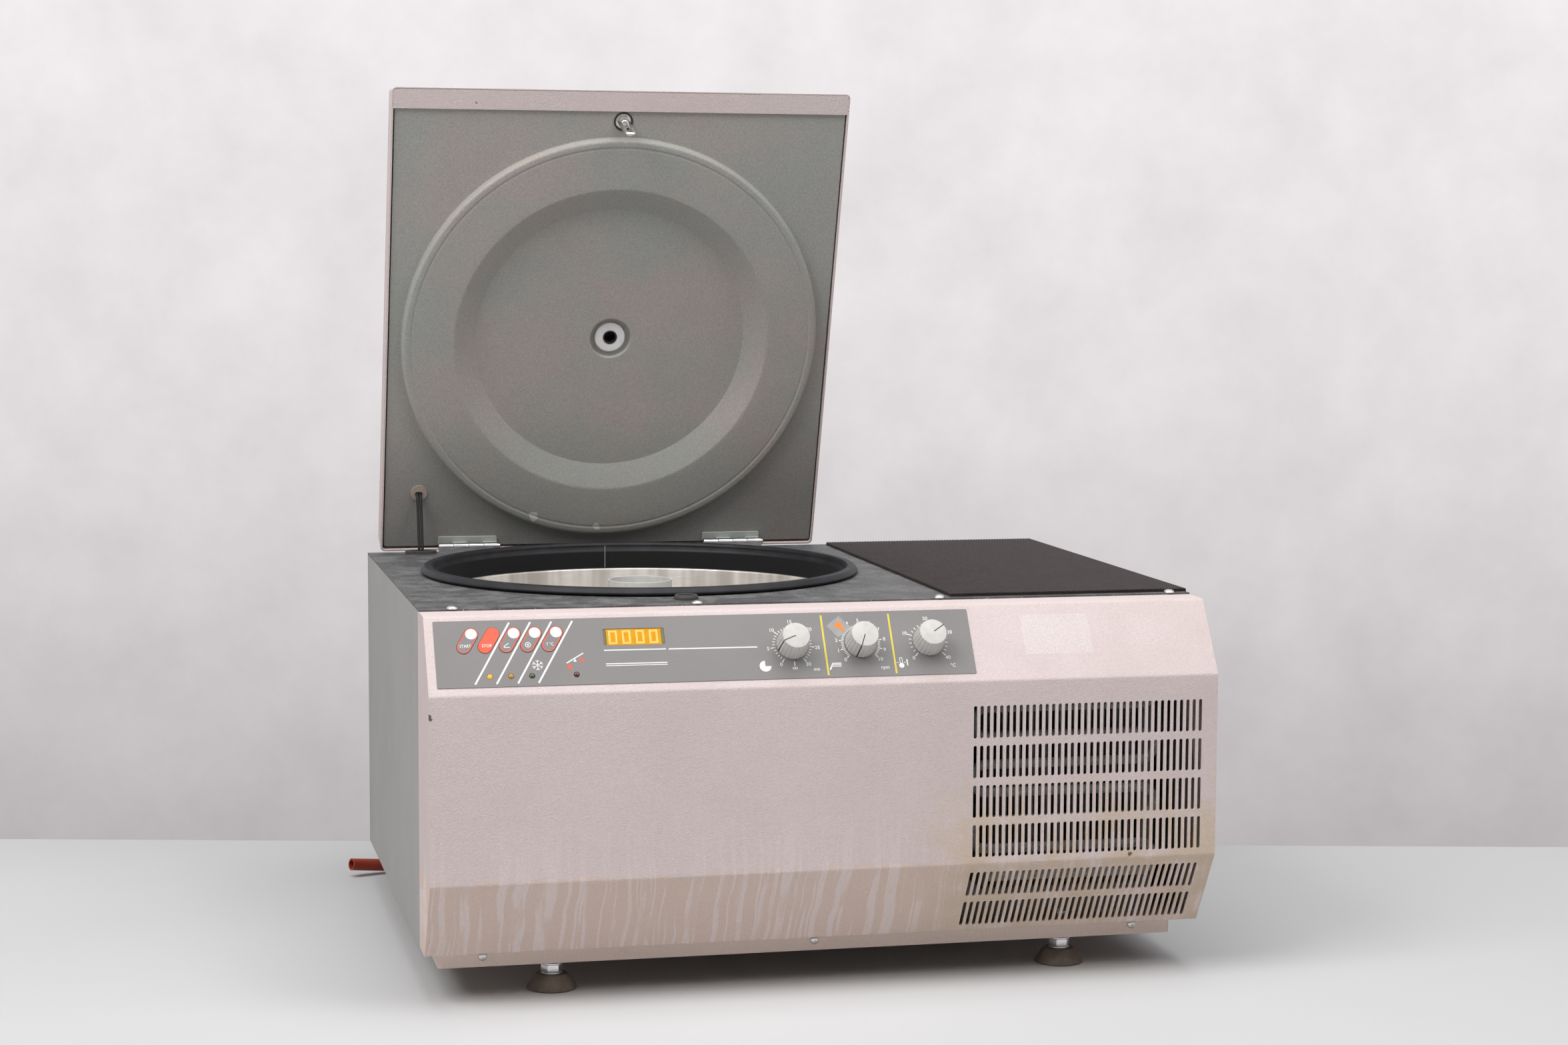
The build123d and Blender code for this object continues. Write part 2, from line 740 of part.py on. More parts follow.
# Shelf over the motor, standing on the tray
shelf_z = base_z + shelf_height
shelf_left = -half_width + panel_flange + fit_gap
shelf_right = partition_x - fit_gap
shelf_rear = rear_y - 6.0
shelf_front = front_y + 6.0
motor_hole = motor_radius + 8.0
mount_circle = motor_flange_radius - 9.0
mount_places = [(bowl_x + mount_circle * cos(radians(a)), bowl_centre_y + mount_circle * sin(radians(a))) for a in (45, 135, 225, 315)]
with BuildPart() as chamber_shelf:
    with BuildSketch(upright((shelf_left + shelf_right) / 2, (shelf_front + shelf_rear) / 2, base_z)):
        Rectangle(shelf_right - shelf_left, shelf_rear - shelf_front)
    extrude(amount=shelf_height)
    with BuildSketch(upright((shelf_left + shelf_right) / 2, (shelf_front + shelf_rear) / 2, base_z)):
        Rectangle(shelf_right - shelf_left - 2 * shelf_wall, shelf_rear - shelf_front)
    extrude(amount=shelf_height - shelf_wall, mode=Mode.SUBTRACT)
    with BuildSketch(Plane.XY.offset(shelf_z)):
        with Locations((bowl_x, bowl_centre_y)):
            Circle(motor_hole)
    extrude(amount=-2 * shelf_wall, mode=Mode.SUBTRACT)
save(chamber_shelf, "chamber_shelf")

# Insulation block round the bowl
retractor_radius = 11.0
with BuildPart() as chamber_insulation:
    block_rear = shelf_rear
    block_front = front_y + chamber_front
    with BuildSketch(upright((shelf_left + shelf_right) / 2, (block_front + block_rear) / 2, shelf_z)):
        Rectangle(shelf_right - shelf_left, block_rear - block_front)
    extrude(amount=panel_top - shelf_z)
    with BuildSketch(Plane.XY.offset(panel_top)):
        with Locations((bowl_x, bowl_centre_y)):
            Circle(seal_seat_radius + 2 * fit_gap)
    extrude(amount=-(panel_top - bowl_rim + bowl_wall + fit_gap), mode=Mode.SUBTRACT)
    with BuildSketch(Plane.XY.offset(panel_top)):
        with Locations((bowl_x, bowl_centre_y)):
            Circle(bowl_radius + bowl_wall + fit_gap)
    extrude(amount=-(panel_top - bowl_floor + bowl_wall), mode=Mode.SUBTRACT)
    with BuildSketch(Plane.XY.offset(shelf_z)):
        with Locations((bowl_x, bowl_centre_y)):
            Circle(motor_hole)
    extrude(amount=bowl_floor - shelf_z, mode=Mode.SUBTRACT)
    with BuildSketch(Plane.XY.offset(panel_top)):
        with Locations((cord_x, cord_y)):
            Circle(retractor_radius + 5.0)
    extrude(amount=-150.0, mode=Mode.SUBTRACT)
save(chamber_insulation, "chamber_insulation")

# Partition between the chamber and the cooling set
with BuildPart() as partition:
    with BuildSketch(upright(partition_x + sheet / 2, (front_y + sheet + rear_y - 2 * sheet) / 2, base_z)):
        Rectangle(sheet, rear_y - front_y - 3 * sheet)
    extrude(amount=panel_top - base_z)
save(partition, "partition")


# Motor hung from the shelf on rubber mounts, with a stepped bore for the spindle
motor_base = base_z + motor_base_height
motor_top = bowl_floor - motor_top_gap
flange_top = shelf_z - shelf_wall - motor_flange_drop
flange_wall = 6.0
neck_top = bowl_floor + boot_height - 4.0
spindle_bore = spindle_radius + 1.0
bearing_length = 12.0
with BuildPart() as motor_housing:
    with BuildSketch(bowl_profile_plane()):
        with BuildLine():
            Polyline(
                (0, motor_base), (motor_radius - 6.0, motor_base), (motor_radius, motor_base + 6.0),
                (motor_radius, flange_top - flange_wall), (motor_flange_radius, flange_top - flange_wall),
                (motor_flange_radius, flange_top), (motor_radius, flange_top), (motor_radius, motor_top - 5.0),
                (motor_radius - 5.0, motor_top), (neck_radius, motor_top), (neck_radius, neck_top),
                (spindle_radius + run_clearance, neck_top),
                (spindle_radius + run_clearance, neck_top - bearing_length), (spindle_bore, neck_top - bearing_length),
                (spindle_bore, motor_base + 2 * bearing_length),
                (spindle_radius + run_clearance, motor_base + 2 * bearing_length),
                (spindle_radius + run_clearance, motor_base + bearing_length), (0, motor_base + bearing_length),
                close=True,
            )
        make_face()
    revolve(axis=bowl_axis)
save(motor_housing, "motor_housing")

with BuildPart() as motor_mounts:
    with BuildSketch(Plane.XY.offset(flange_top)):
        with Locations(*mount_places):
            Circle(8.0)
    extrude(amount=motor_flange_drop)
save(motor_mounts, "motor_mounts")

# Spindle: shaft, cone and the pin that takes the rotor
spindle_top = plate_top - spindle_top_drop
cone_bottom = neck_top + 3.0
tip_bottom = spindle_top - spindle_tip_length
with BuildPart() as drive_spindle:
    with BuildSketch(bowl_profile_plane()):
        with BuildLine():
            Polyline(
                (0, motor_base + bearing_length + 1.0), (spindle_radius, motor_base + bearing_length + 1.0),
                (spindle_radius, cone_bottom), (spindle_cone_radius, cone_bottom),
                (spindle_cone_radius, cone_bottom + 8.0), (spindle_tip_radius + 3.0, tip_bottom),
                (spindle_tip_radius, tip_bottom), (spindle_tip_radius, spindle_top - 1.0),
                (spindle_tip_radius - 1.0, spindle_top), (0, spindle_top), close=True,
            )
        make_face()
    revolve(axis=bowl_axis)
save(drive_spindle, "drive_spindle")

# Rubber boot that seals the motor neck to the bowl floor
with BuildPart() as spindle_boot:
    with BuildSketch(bowl_profile_plane()):
        with BuildLine():
            Polyline(
                (neck_radius + fit_gap, bowl_floor + 0.0), (boot_radius, bowl_floor), (boot_radius, bowl_floor + 3.0),
                (neck_radius + 4.0, bowl_floor + boot_height - 6.0), (neck_radius + fit_gap, bowl_floor + boot_height - 6.0),
                close=True,
            )
        make_face()
    revolve(axis=bowl_axis)
save(spindle_boot, "spindle_boot")

# Open translucent sleeve round the spindle
with BuildPart() as spindle_sleeve:
    with BuildSketch(upright(bowl_x, bowl_centre_y, bowl_floor)):
        Circle(sleeve_radius)
        Circle(sleeve_radius - sleeve_wall, mode=Mode.SUBTRACT)
    extrude(amount=plate_top - sleeve_drop - bowl_floor)
save(spindle_sleeve, "spindle_sleeve")


# Lid shell: a folded pan with a wide lip across the front, open towards the bowl
lid_middle = lid_length / 2 - lid_tail
with BuildPart() as lid_shell:
    with BuildSketch(lid_plane(skin_level, bowl_x, lid_middle)):
        Rectangle(lid_width, lid_length)
    extrude(amount=lid_depth)
    across = Vector(0, -cos(lean), -sin(lean))
    corner_edges = lid_shell.edges().filter_by(Axis((0, 0, 0), across))
    fillet(corner_edges, radius=lid_corner)
    skin = lid_shell.faces().sort_by(Axis((0, 0, 0), across))[0]
    fillet(skin.edges(), radius=lid_edge_radius)
    rim = lid_shell.faces().sort_by(Axis((0, 0, 0), across))[-1]
    offset(amount=-lid_wall, openings=rim)
    with BuildSketch(lid_plane(rim_level, bowl_x, lid_length - lid_tail - lid_wall / 2 - (lid_lip - lid_wall / 2) / 2)):
        Rectangle(lid_width - lid_wall, lid_lip - lid_wall / 2)
    extrude(amount=-lid_wall)
    with BuildSketch(lid_plane(skin_level, bowl_x, disc_reach)):
        Circle(port_neck_radius + fit_gap)
    extrude(amount=lid_wall + 1.0, mode=Mode.SUBTRACT)
save(lid_shell, "lid_shell")

# Lid liner: a formed sheet with a raised disc and a conical well
liner_width = lid_width - 2 * liner_inset
liner_tail = lid_tail - 2 * liner_inset + 2.0
liner_front = lid_length - lid_tail - lid_wall - 6.0
liner_length = liner_front + liner_tail
lid_axis_plane = lid_plane(0.0, bowl_x, disc_reach)
lid_axis = Axis(lid_axis_plane.origin, lid_axis_plane.z_dir)
lid_profile = Plane(origin=lid_axis_plane.origin, x_dir=(1, 0, 0), z_dir=lid_axis_plane.y_dir * -1)
liner_back = liner_level - liner_wall
with BuildPart() as lid_liner:
    with BuildSketch(lid_plane(liner_back, bowl_x, liner_length / 2 - liner_tail)):
        RectangleRounded(liner_width, liner_length, 3.0)
    extrude(amount=liner_wall)
    with BuildSketch(lid_plane(liner_back, bowl_x, disc_reach)):
        Circle(disc_radius - disc_step)
    extrude(amount=liner_wall, mode=Mode.SUBTRACT)
    with BuildSketch(lid_profile):
        with BuildLine():
            Polyline(
                (disc_radius, liner_level), (disc_radius - 1.5, disc_level - 1.0), (disc_radius - 3.0, disc_level),
                (recess_radius, disc_level), (recess_floor_radius, recess_level), (port_well_radius, recess_level),
                (port_well_radius, well_level), (port_neck_radius + fit_gap, well_level),
                (port_neck_radius + fit_gap, well_level - liner_wall),
                (port_well_radius + liner_wall, well_level - liner_wall),
                (port_well_radius + liner_wall, recess_level - liner_wall),
                (recess_floor_radius - 1.0, recess_level - liner_wall), (recess_radius - 1.0, disc_level - liner_wall),
                (disc_radius - disc_step, disc_level - liner_wall), (disc_radius - disc_step, liner_back),
                (disc_radius - 1.0, liner_back), close=True,
            )
        make_face()
    revolve(axis=lid_axis)
    with BuildSketch(lid_plane(liner_level, bowl_x, striker_reach)):
        Circle(8.6)
    extrude(amount=-2 * liner_wall, mode=Mode.SUBTRACT)
    with BuildSketch(lid_plane(liner_level, cord_x, cord_lid_reach)):
        Circle(8.2)
    extrude(amount=-2 * liner_wall, mode=Mode.SUBTRACT)
save(lid_liner, "lid_liner")

# Foam between the liner and the skin
foam_back = skin_level + lid_wall
foam_front = recess_level - liner_wall - fit_gap
with BuildPart() as lid_insulation:
    with BuildSketch(lid_plane(foam_back, bowl_x, lid_middle)):
        Rectangle(lid_width - 2 * lid_wall - 8.0, lid_length - 2 * lid_wall - 8.0)
    extrude(amount=foam_front - foam_back)
    with BuildSketch(lid_plane(foam_back, bowl_x, disc_reach)):
        Circle(port_well_radius + liner_wall + fit_gap)
    extrude(amount=foam_front - foam_back, mode=Mode.SUBTRACT)
    with BuildSketch(lid_plane(foam_back, bowl_x, striker_reach)):
        Circle(10.0)
    extrude(amount=foam_front - foam_back, mode=Mode.SUBTRACT)
save(lid_insulation, "lid_insulation")

# Port in the middle of the lid: a white bush with a window at its outer end
port_flange = 2.5
window_seat = 3.0
port_lid_profile = lid_profile
with BuildPart() as port_bush:
    with BuildSketch(port_lid_profile):
        with BuildLine():
            Polyline(
                (port_bore, skin_level + window_seat), (port_bore, well_level + port_flange),
                (port_ring_radius - 1.0, well_level + port_flange), (port_ring_radius, well_level + port_flange - 1.0),
                (port_ring_radius, well_level), (port_neck_radius, well_level), (port_neck_radius, skin_level),
                (port_bore + 2.5, skin_level), (port_bore + 2.5, skin_level + window_seat), close=True,
            )
        make_face()
    revolve(axis=lid_axis)
save(port_bush, "port_bush")

with BuildPart() as port_window:
    with BuildSketch(lid_plane(skin_level, bowl_x, disc_reach)):
        Circle(port_bore + 2.5)
    extrude(amount=window_seat)
save(port_window, "port_window")

# Striker: a wire loop on a shank, held in the lid by a plate, washers and nuts
shank_radius = 3.0
plate_level = liner_back - 3.0
nut_level = liner_back
loop_half = striker_pitch / 2
loop_bottom = striker_drop - striker_wire / 2 - loop_half
loop_top = nut_level + 5.0 + striker_wire
wire_root = loop_top - 1.5
loop_plane = Plane(
    origin=lid_plane(0, bowl_x, striker_reach).origin, x_dir=(1, 0, 0), z_dir=lid_axis_plane.y_dir * -1
)
with BuildPart() as striker_eye:
    with BuildLine(loop_plane) as loop_path:
        Line((loop_half, wire_root), (loop_half, loop_bottom))
        ThreePointArc((loop_half, loop_bottom), (0, loop_bottom + loop_half), (-loop_half, loop_bottom))
        Line((-loop_half, loop_bottom), (-loop_half, wire_root))
    with BuildSketch(lid_plane(wire_root, bowl_x, striker_reach)):
        with Locations((loop_half, 0)):
            Circle(striker_wire / 2)
    sweep(path=loop_path.wire())
    with BuildSketch(lid_plane(loop_top, bowl_x, striker_reach)):
        Circle(loop_half + striker_wire / 2 + 0.5)
    extrude(amount=-3.0)
    with BuildSketch(lid_plane(loop_top - 2.0, bowl_x, striker_reach)):
        Circle(shank_radius)
    extrude(amount=-(loop_top - 2.0 - plate_level + 8.0))
save(striker_eye, "striker_eye")

with BuildPart() as striker_nuts:
    with BuildSketch(lid_plane(nut_level, bowl_x, striker_reach)):
        Circle(7.5)
        Circle(shank_radius, mode=Mode.SUBTRACT)
    extrude(amount=1.2)
    with BuildSketch(lid_plane(nut_level + 1.2, bowl_x, striker_reach)):
        RegularPolygon(5.0, 6, major_radius=False)
        Circle(shank_radius, mode=Mode.SUBTRACT)
    extrude(amount=4.0)
    with BuildSketch(lid_plane(plate_level, bowl_x, striker_reach)):
        RegularPolygon(5.0, 6, major_radius=False)
        Circle(shank_radius, mode=Mode.SUBTRACT)
    extrude(amount=-4.0)
save(striker_nuts, "striker_nuts")

with BuildPart() as striker_plate:
    with BuildSketch(lid_plane(plate_level, bowl_x, striker_reach)):
        Rectangle(44.0, 22.0)
        Circle(shank_radius, mode=Mode.SUBTRACT)
    extrude(amount=liner_back - plate_level)
save(striker_plate, "striker_plate")


# Hinges: chromed knuckles on a pin, one leaf on the rear panel and one on the lid
knuckle_pitch = hinge_length / knuckle_count
knuckle_length = knuckle_pitch - knuckle_gap
hinge_centres = [bowl_x - hinge_offset, bowl_x + hinge_offset]


def knuckle_start(centre, index):
    """Left end of one knuckle along the hinge line."""
    return centre - hinge_length / 2 + index * knuckle_pitch + knuckle_gap / 2


def hinge_plane(x):
    """Plane across the hinge line, X backwards and Y up."""
    return Plane(origin=(x, hinge_world_y, hinge_z), x_dir=(0, 1, 0), z_dir=(1, 0, 0))


with BuildPart() as cabinet_hinge_leaves:
    for centre in hinge_centres:
        with BuildSketch(Plane(origin=(centre, rear_y, hinge_z - leaf_height / 2), x_dir=(1, 0, 0), z_dir=(0, 1, 0))):
            Rectangle(hinge_length, leaf_height)
        leaf_sheet = hinge_world_y - rear_y - hinge_pin_radius - run_clearance
        extrude(amount=leaf_wall)
        for index in range(knuckle_count):
            start = knuckle_start(centre, index)
            if index % 2 == 0:
                with BuildSketch(hinge_plane(start)):
                    Circle(knuckle_radius)
                extrude(amount=knuckle_length)
        for index in range(knuckle_count):
            if index % 2 == 1:
                start = centre - hinge_length / 2 + index * knuckle_pitch - knuckle_gap / 2
                with BuildSketch(hinge_plane(start)):
                    Circle(knuckle_radius + fit_gap)
                extrude(amount=knuckle_pitch + knuckle_gap, mode=Mode.SUBTRACT)
        with BuildSketch(hinge_plane(centre - hinge_length / 2)):
            Circle(hinge_pin_radius + run_clearance)
        extrude(amount=hinge_length, mode=Mode.SUBTRACT)
save(cabinet_hinge_leaves, "cabinet_hinge_leaves")

with BuildPart() as lid_hinge_leaves:
    for centre in hinge_centres:
        with BuildSketch(lid_plane(liner_level, centre, lid_leaf_height / 2 - knuckle_radius)):
            Rectangle(hinge_length, lid_leaf_height)
        extrude(amount=leaf_wall)
        for index in range(knuckle_count):
            if index % 2 == 1:
                start = knuckle_start(centre, index)
                middle = start + knuckle_length / 2
                with BuildSketch(lid_plane(liner_level, middle, -knuckle_radius + leaf_wall / 2)):
                    Rectangle(knuckle_length, leaf_wall)
                extrude(amount=-liner_level)
                with BuildSketch(hinge_plane(start)):
                    Circle(knuckle_radius)
                extrude(amount=knuckle_length)
        with BuildSketch(hinge_plane(centre - hinge_length / 2)):
            Circle(hinge_pin_radius + run_clearance)
        extrude(amount=hinge_length, mode=Mode.SUBTRACT)
save(lid_hinge_leaves, "lid_hinge_leaves")

pin_head = 1.4
with BuildPart() as hinge_pins:
    for centre in hinge_centres:
        with BuildSketch(hinge_plane(centre - hinge_length / 2)):
            Circle(hinge_pin_radius)
        extrude(amount=hinge_length)
        with BuildSketch(hinge_plane(centre + hinge_length / 2)):
            Circle(hinge_pin_radius + 1.0)
        extrude(amount=pin_head)
save(hinge_pins, "hinge_pins")


# Latch under the top plate: ears, a hooked pawl and its rotary solenoid
pivot_y = latch_y - pawl_pivot_back
pivot_z = plate_top - pawl_pivot_drop
ear_wall = 2.0
bracket_depth = 38.0
bracket_middle = latch_y - 8.0
with BuildPart() as latch_bracket:
    with BuildSketch(upright(latch_x, bracket_middle, panel_top)):
        Rectangle(latch_ear_gap + 2 * ear_wall, bracket_depth)
    extrude(amount=-ear_wall)
    with BuildSketch(upright(latch_x, latch_y, panel_top)):
        Circle(grommet_radius)
    extrude(amount=-ear_wall, mode=Mode.SUBTRACT)
    for side in (-1, 1):
        with BuildSketch(upright(latch_x + side * (latch_ear_gap + ear_wall) / 2, bracket_middle, panel_top)):
            Rectangle(ear_wall, bracket_depth)
        extrude(amount=-(pawl_pivot_drop + 8.0))
    with BuildSketch(Plane(origin=(latch_x - latch_ear_gap, pivot_y, pivot_z), x_dir=(0, 1, 0), z_dir=(1, 0, 0))):
        Circle(2.5 + run_clearance)
    extrude(amount=2 * latch_ear_gap, mode=Mode.SUBTRACT)
save(latch_bracket, "latch_bracket")

solenoid_length = 30.0
solenoid_radius = 15.0
shaft_in_solenoid = 12.0
with BuildPart() as latch_solenoid:
    solenoid_x = latch_x + latch_ear_gap / 2 + ear_wall
    with BuildSketch(Plane(origin=(solenoid_x, pivot_y, pivot_z), x_dir=(0, 1, 0), z_dir=(1, 0, 0))):
        Circle(solenoid_radius)
    extrude(amount=solenoid_length)
    with BuildSketch(Plane(origin=(solenoid_x, pivot_y, pivot_z), x_dir=(0, 1, 0), z_dir=(1, 0, 0))):
        Circle(2.5 + run_clearance)
    extrude(amount=shaft_in_solenoid + 1.0, mode=Mode.SUBTRACT)
save(latch_solenoid, "latch_solenoid")

# The pawl is drawn hooked in the striker, then turned back to where it waits
nose_tip = pawl_pivot_back + striker_wire / 2 + 2.0
nose_top = pawl_pivot_drop - 17.0
pawl_turn = radians(pawl_throw)
pawl_plane = Plane(
    origin=(latch_x, pivot_y, pivot_z), x_dir=(0, cos(pawl_turn), sin(pawl_turn)), z_dir=(1, 0, 0)
)
with BuildPart() as latch_pawl:
    with BuildSketch(pawl_plane.offset(-pawl_thickness / 2)):
        with BuildLine():
            Polyline(
                (-5.0, -5.0), (5.0, -5.0), (5.0, nose_top - 7.0), (nose_tip, nose_top - 7.0),
                (nose_tip, nose_top - 3.0), (nose_tip - 5.0, nose_top), (-5.0, nose_top), close=True,
            )
        make_face()
    extrude(amount=pawl_thickness)
    with BuildSketch(pawl_plane.offset(-latch_ear_gap / 2 - ear_wall - 2.0)):
        Circle(2.5)
    extrude(amount=latch_ear_gap + 2 * ear_wall + 2.0 + shaft_in_solenoid)
    with BuildSketch(pawl_plane.offset(-6.0)):
        Circle(5.0)
    extrude(amount=12.0)
save(latch_pawl, "latch_pawl")

# Grommets in the top plate
with BuildPart() as latch_grommet:
    with BuildSketch(upright(latch_x, latch_y, plate_top)):
        Circle(grommet_radius + 1.8)
        Circle(latch_hole_radius, mode=Mode.SUBTRACT)
    extrude(amount=1.4)
    with BuildSketch(upright(latch_x, latch_y, plate_top)):
        Circle(grommet_radius - 0.2)
        Circle(latch_hole_radius, mode=Mode.SUBTRACT)
    extrude(amount=-sheet - 1.0)
save(latch_grommet, "latch_grommet")

with BuildPart() as cord_grommet:
    with BuildSketch(upright(cord_x, cord_y, plate_top)):
        SlotOverall(33.0, 20.0)
        SlotOverall(22.0, 9.0, mode=Mode.SUBTRACT)
    extrude(amount=1.8)
    with BuildSketch(upright(cord_x, cord_y, plate_top)):
        SlotOverall(26.6, 13.6)
        SlotOverall(22.0, 9.0, mode=Mode.SUBTRACT)
    extrude(amount=-sheet)
save(cord_grommet, "cord_grommet")

# Retractor tube under the plate that keeps the check cord tight
retractor_length = 110.0
with BuildPart() as cord_retractor:
    with BuildSketch(upright(cord_x, cord_y, panel_top)):
        Circle(retractor_radius + 4.5)
        SlotOverall(22.0, 9.0, mode=Mode.SUBTRACT)
    extrude(amount=-2.0)
    with BuildSketch(upright(cord_x, cord_y, panel_top - 2.0)):
        Circle(retractor_radius)
        Circle(retractor_radius - 2.0, mode=Mode.SUBTRACT)
    extrude(amount=-retractor_length)
    with BuildSketch(upright(cord_x, cord_y, panel_top - 2.0 - retractor_length)):
        Circle(retractor_radius)
    extrude(amount=-2.0)
save(cord_retractor, "cord_retractor")

# Bar behind the liner that the check cord hangs on
with BuildPart() as cord_anchor:
    with BuildSketch(lid_plane(liner_back - 4.0, cord_x, cord_lid_reach)):
        Rectangle(24.0, 5.0)
    extrude(amount=4.0)
save(cord_anchor, "cord_anchor")

# Twin check cord from the bar in the lid down into the retractor
anchor_start = lid_plane(liner_back + 0.6, cord_x, cord_lid_reach).origin
anchor_out = lid_plane(rim_level + 3.0, cord_x, cord_lid_reach - 3.0).origin
cord_low = panel_top - 2.0 - retractor_length * 0.7
with BuildPart() as check_cord:
    for side in (-1, 1):
        shift = Vector(side * cord_pitch / 2, 0, 0)
        points = [
            anchor_start + shift,
            anchor_out + shift,
            Vector(cord_x, cord_y, plate_top + 4.0) + shift,
            Vector(cord_x, cord_y, cord_low) + shift,
        ]
        with BuildLine() as cord_path:
            FilletPolyline(*points, radius=(5.0, 8.0))
        with BuildSketch(Plane(origin=points[0], z_dir=(points[1] - points[0]).normalized())):
            Circle(cord_thickness / 2)
        sweep(path=cord_path.wire())
save(check_cord, "check_cord")


# Condenser behind the slots: upright fins with a serpentine tube before them
condenser_middle = condenser_left + condenser_width / 2
tube_pitch = condenser_height / tube_rows
turn = tube_pitch / 2
run_left = condenser_left + turn + tube_radius
run_right = condenser_left + condenser_width - turn - tube_radius
fin_span = run_right - run_left
fin_front = front_y - condenser_front + 2 * tube_radius
fin_rear = front_y - condenser_front + condenser_depth
with BuildPart() as condenser_fins:
    with BuildSketch(upright(condenser_middle, (fin_front + fin_rear) / 2, base_z + condenser_bottom - floor_gap)):
        with GridLocations((fin_span - fin_thickness) / (fin_count - 1), 1, fin_count, 1):
            Rectangle(fin_thickness, fin_rear - fin_front)
    extrude(amount=condenser_height)
    for z in (condenser_bottom, condenser_bottom + condenser_height - sheet):
        with BuildSketch(upright(condenser_middle, (fin_front + fin_rear) / 2, base_z + z - floor_gap)):
            Rectangle(fin_span, fin_rear - fin_front)
        extrude(amount=sheet)
save(condenser_fins, "condenser_fins")

tube_y = front_y - condenser_front + tube_radius
tube_plane = Plane(origin=(0, tube_y, base_z + condenser_bottom - floor_gap), x_dir=(1, 0, 0), z_dir=(0, -1, 0))
with BuildPart() as condenser_tube:
    with BuildLine(tube_plane) as serpentine:
        for row in range(tube_rows):
            z = (row + 0.5) * tube_pitch
            ends = (run_left, run_right) if row % 2 == 0 else (run_right, run_left)
            Line((ends[0], z), (ends[1], z))
            if row < tube_rows - 1:
                bow = turn if row % 2 == 0 else -turn
                ThreePointArc((ends[1], z), (ends[1] + bow, z + turn), (ends[1], z + tube_pitch))
    with BuildSketch(Plane(origin=(run_left, tube_y, base_z + condenser_bottom - floor_gap + tube_pitch / 2), z_dir=(1, 0, 0))):
        Circle(tube_radius)
    sweep(path=serpentine.wire())
save(condenser_tube, "condenser_tube")

# Shroud that carries the condenser and the fan motor
shroud_left = partition_x + sheet
shroud_right = half_width - panel_flange - fit_gap
shroud_top = base_z + condenser_bottom - floor_gap + condenser_height
fan_x = condenser_middle
fan_z = base_z + condenser_bottom - floor_gap + condenser_height / 2
shroud_y = fin_rear + shroud_gap
with BuildPart() as fan_shroud:
    with BuildSketch(Plane(origin=((shroud_left + shroud_right) / 2, shroud_y, (base_z + shroud_top) / 2), x_dir=(1, 0, 0), z_dir=(0, 1, 0))):
        Rectangle(shroud_right - shroud_left, shroud_top - base_z)
    extrude(amount=sheet)
    for x in (run_left + sheet / 2, run_right - sheet / 2):
        with BuildSketch(upright(x, (fin_rear + shroud_y) / 2, base_z + condenser_bottom - floor_gap)):
            Rectangle(sheet, shroud_y - fin_rear)
        extrude(amount=condenser_height)
    with BuildSketch(Plane(origin=(fan_x, shroud_y, fan_z), x_dir=(1, 0, 0), z_dir=(0, 1, 0))):
        Circle(fan_radius + 4.0)
    extrude(amount=sheet, mode=Mode.SUBTRACT)
    with BuildSketch(Plane(origin=(fan_x, shroud_y, fan_z), x_dir=(1, 0, 0), z_dir=(0, 1, 0))):
        Circle(fan_radius + 5.5)
        Circle(fan_radius + 4.0, mode=Mode.SUBTRACT)
    extrude(amount=fan_depth)
    for angle in (45, 135):
        with BuildSketch(Plane(origin=(fan_x, shroud_y + fan_depth, fan_z), x_dir=(1, 0, 0), z_dir=(0, 1, 0))):
            Rectangle(2 * fan_radius + 10.0, 8.0, rotation=angle)
        extrude(amount=2.0)
    with BuildSketch(Plane(origin=(fan_x, shroud_y + fan_depth, fan_z), x_dir=(1, 0, 0), z_dir=(0, 1, 0))):
        Circle(fan_shaft_radius + 2.0)
    extrude(amount=2.0, mode=Mode.SUBTRACT)
save(fan_shroud, "fan_shroud")

fan_motor_front = shroud_y + fan_depth + fan_motor_gap
with BuildPart() as fan_motor:
    with BuildSketch(Plane(origin=(fan_x, fan_motor_front, fan_z), x_dir=(1, 0, 0), z_dir=(0, 1, 0))):
        Circle(fan_motor_radius)
    extrude(amount=fan_motor_length)
    chamfer(fan_motor.edges().group_by(Axis.Y)[-1], 5.0)
    with BuildSketch(Plane(origin=(fan_x, fan_motor_front, fan_z), x_dir=(1, 0, 0), z_dir=(0, 1, 0))):
        Circle(fan_shaft_radius + run_clearance)
    extrude(amount=fan_shaft_length - fan_motor_gap, mode=Mode.SUBTRACT)
save(fan_motor, "fan_motor")

fan_front = shroud_y - fan_inset
with BuildPart() as fan:
    with BuildSketch(Plane(origin=(fan_x, fan_front, fan_z), x_dir=(1, 0, 0), z_dir=(0, 1, 0))):
        Circle(fan_hub_radius)
    extrude(amount=fan_depth)
    for index in range(fan_blades):
        turn_angle = radians(index * 360.0 / fan_blades)
        out = Vector(cos(turn_angle), 0, sin(turn_angle))
        blade_root = Plane(
            origin=Vector(fan_x, fan_front + fan_depth / 2, fan_z) + out * (fan_hub_radius - 3.0),
            x_dir=(0, 1, 0), z_dir=out,
        )
        with BuildSketch(blade_root):
            Rectangle(fan_depth - 3.0, 2.2, rotation=-38)
        with BuildSketch(blade_root.offset(fan_radius - fan_hub_radius + 2.0)):
            Rectangle(fan_depth + 6.0, 1.6, rotation=-62)
        loft()
    with BuildSketch(Plane(origin=(fan_x, fan_front + fan_depth, fan_z), x_dir=(1, 0, 0), z_dir=(0, 1, 0))):
        Circle(fan_shaft_radius)
    extrude(amount=fan_shaft_length)
save(fan, "fan")

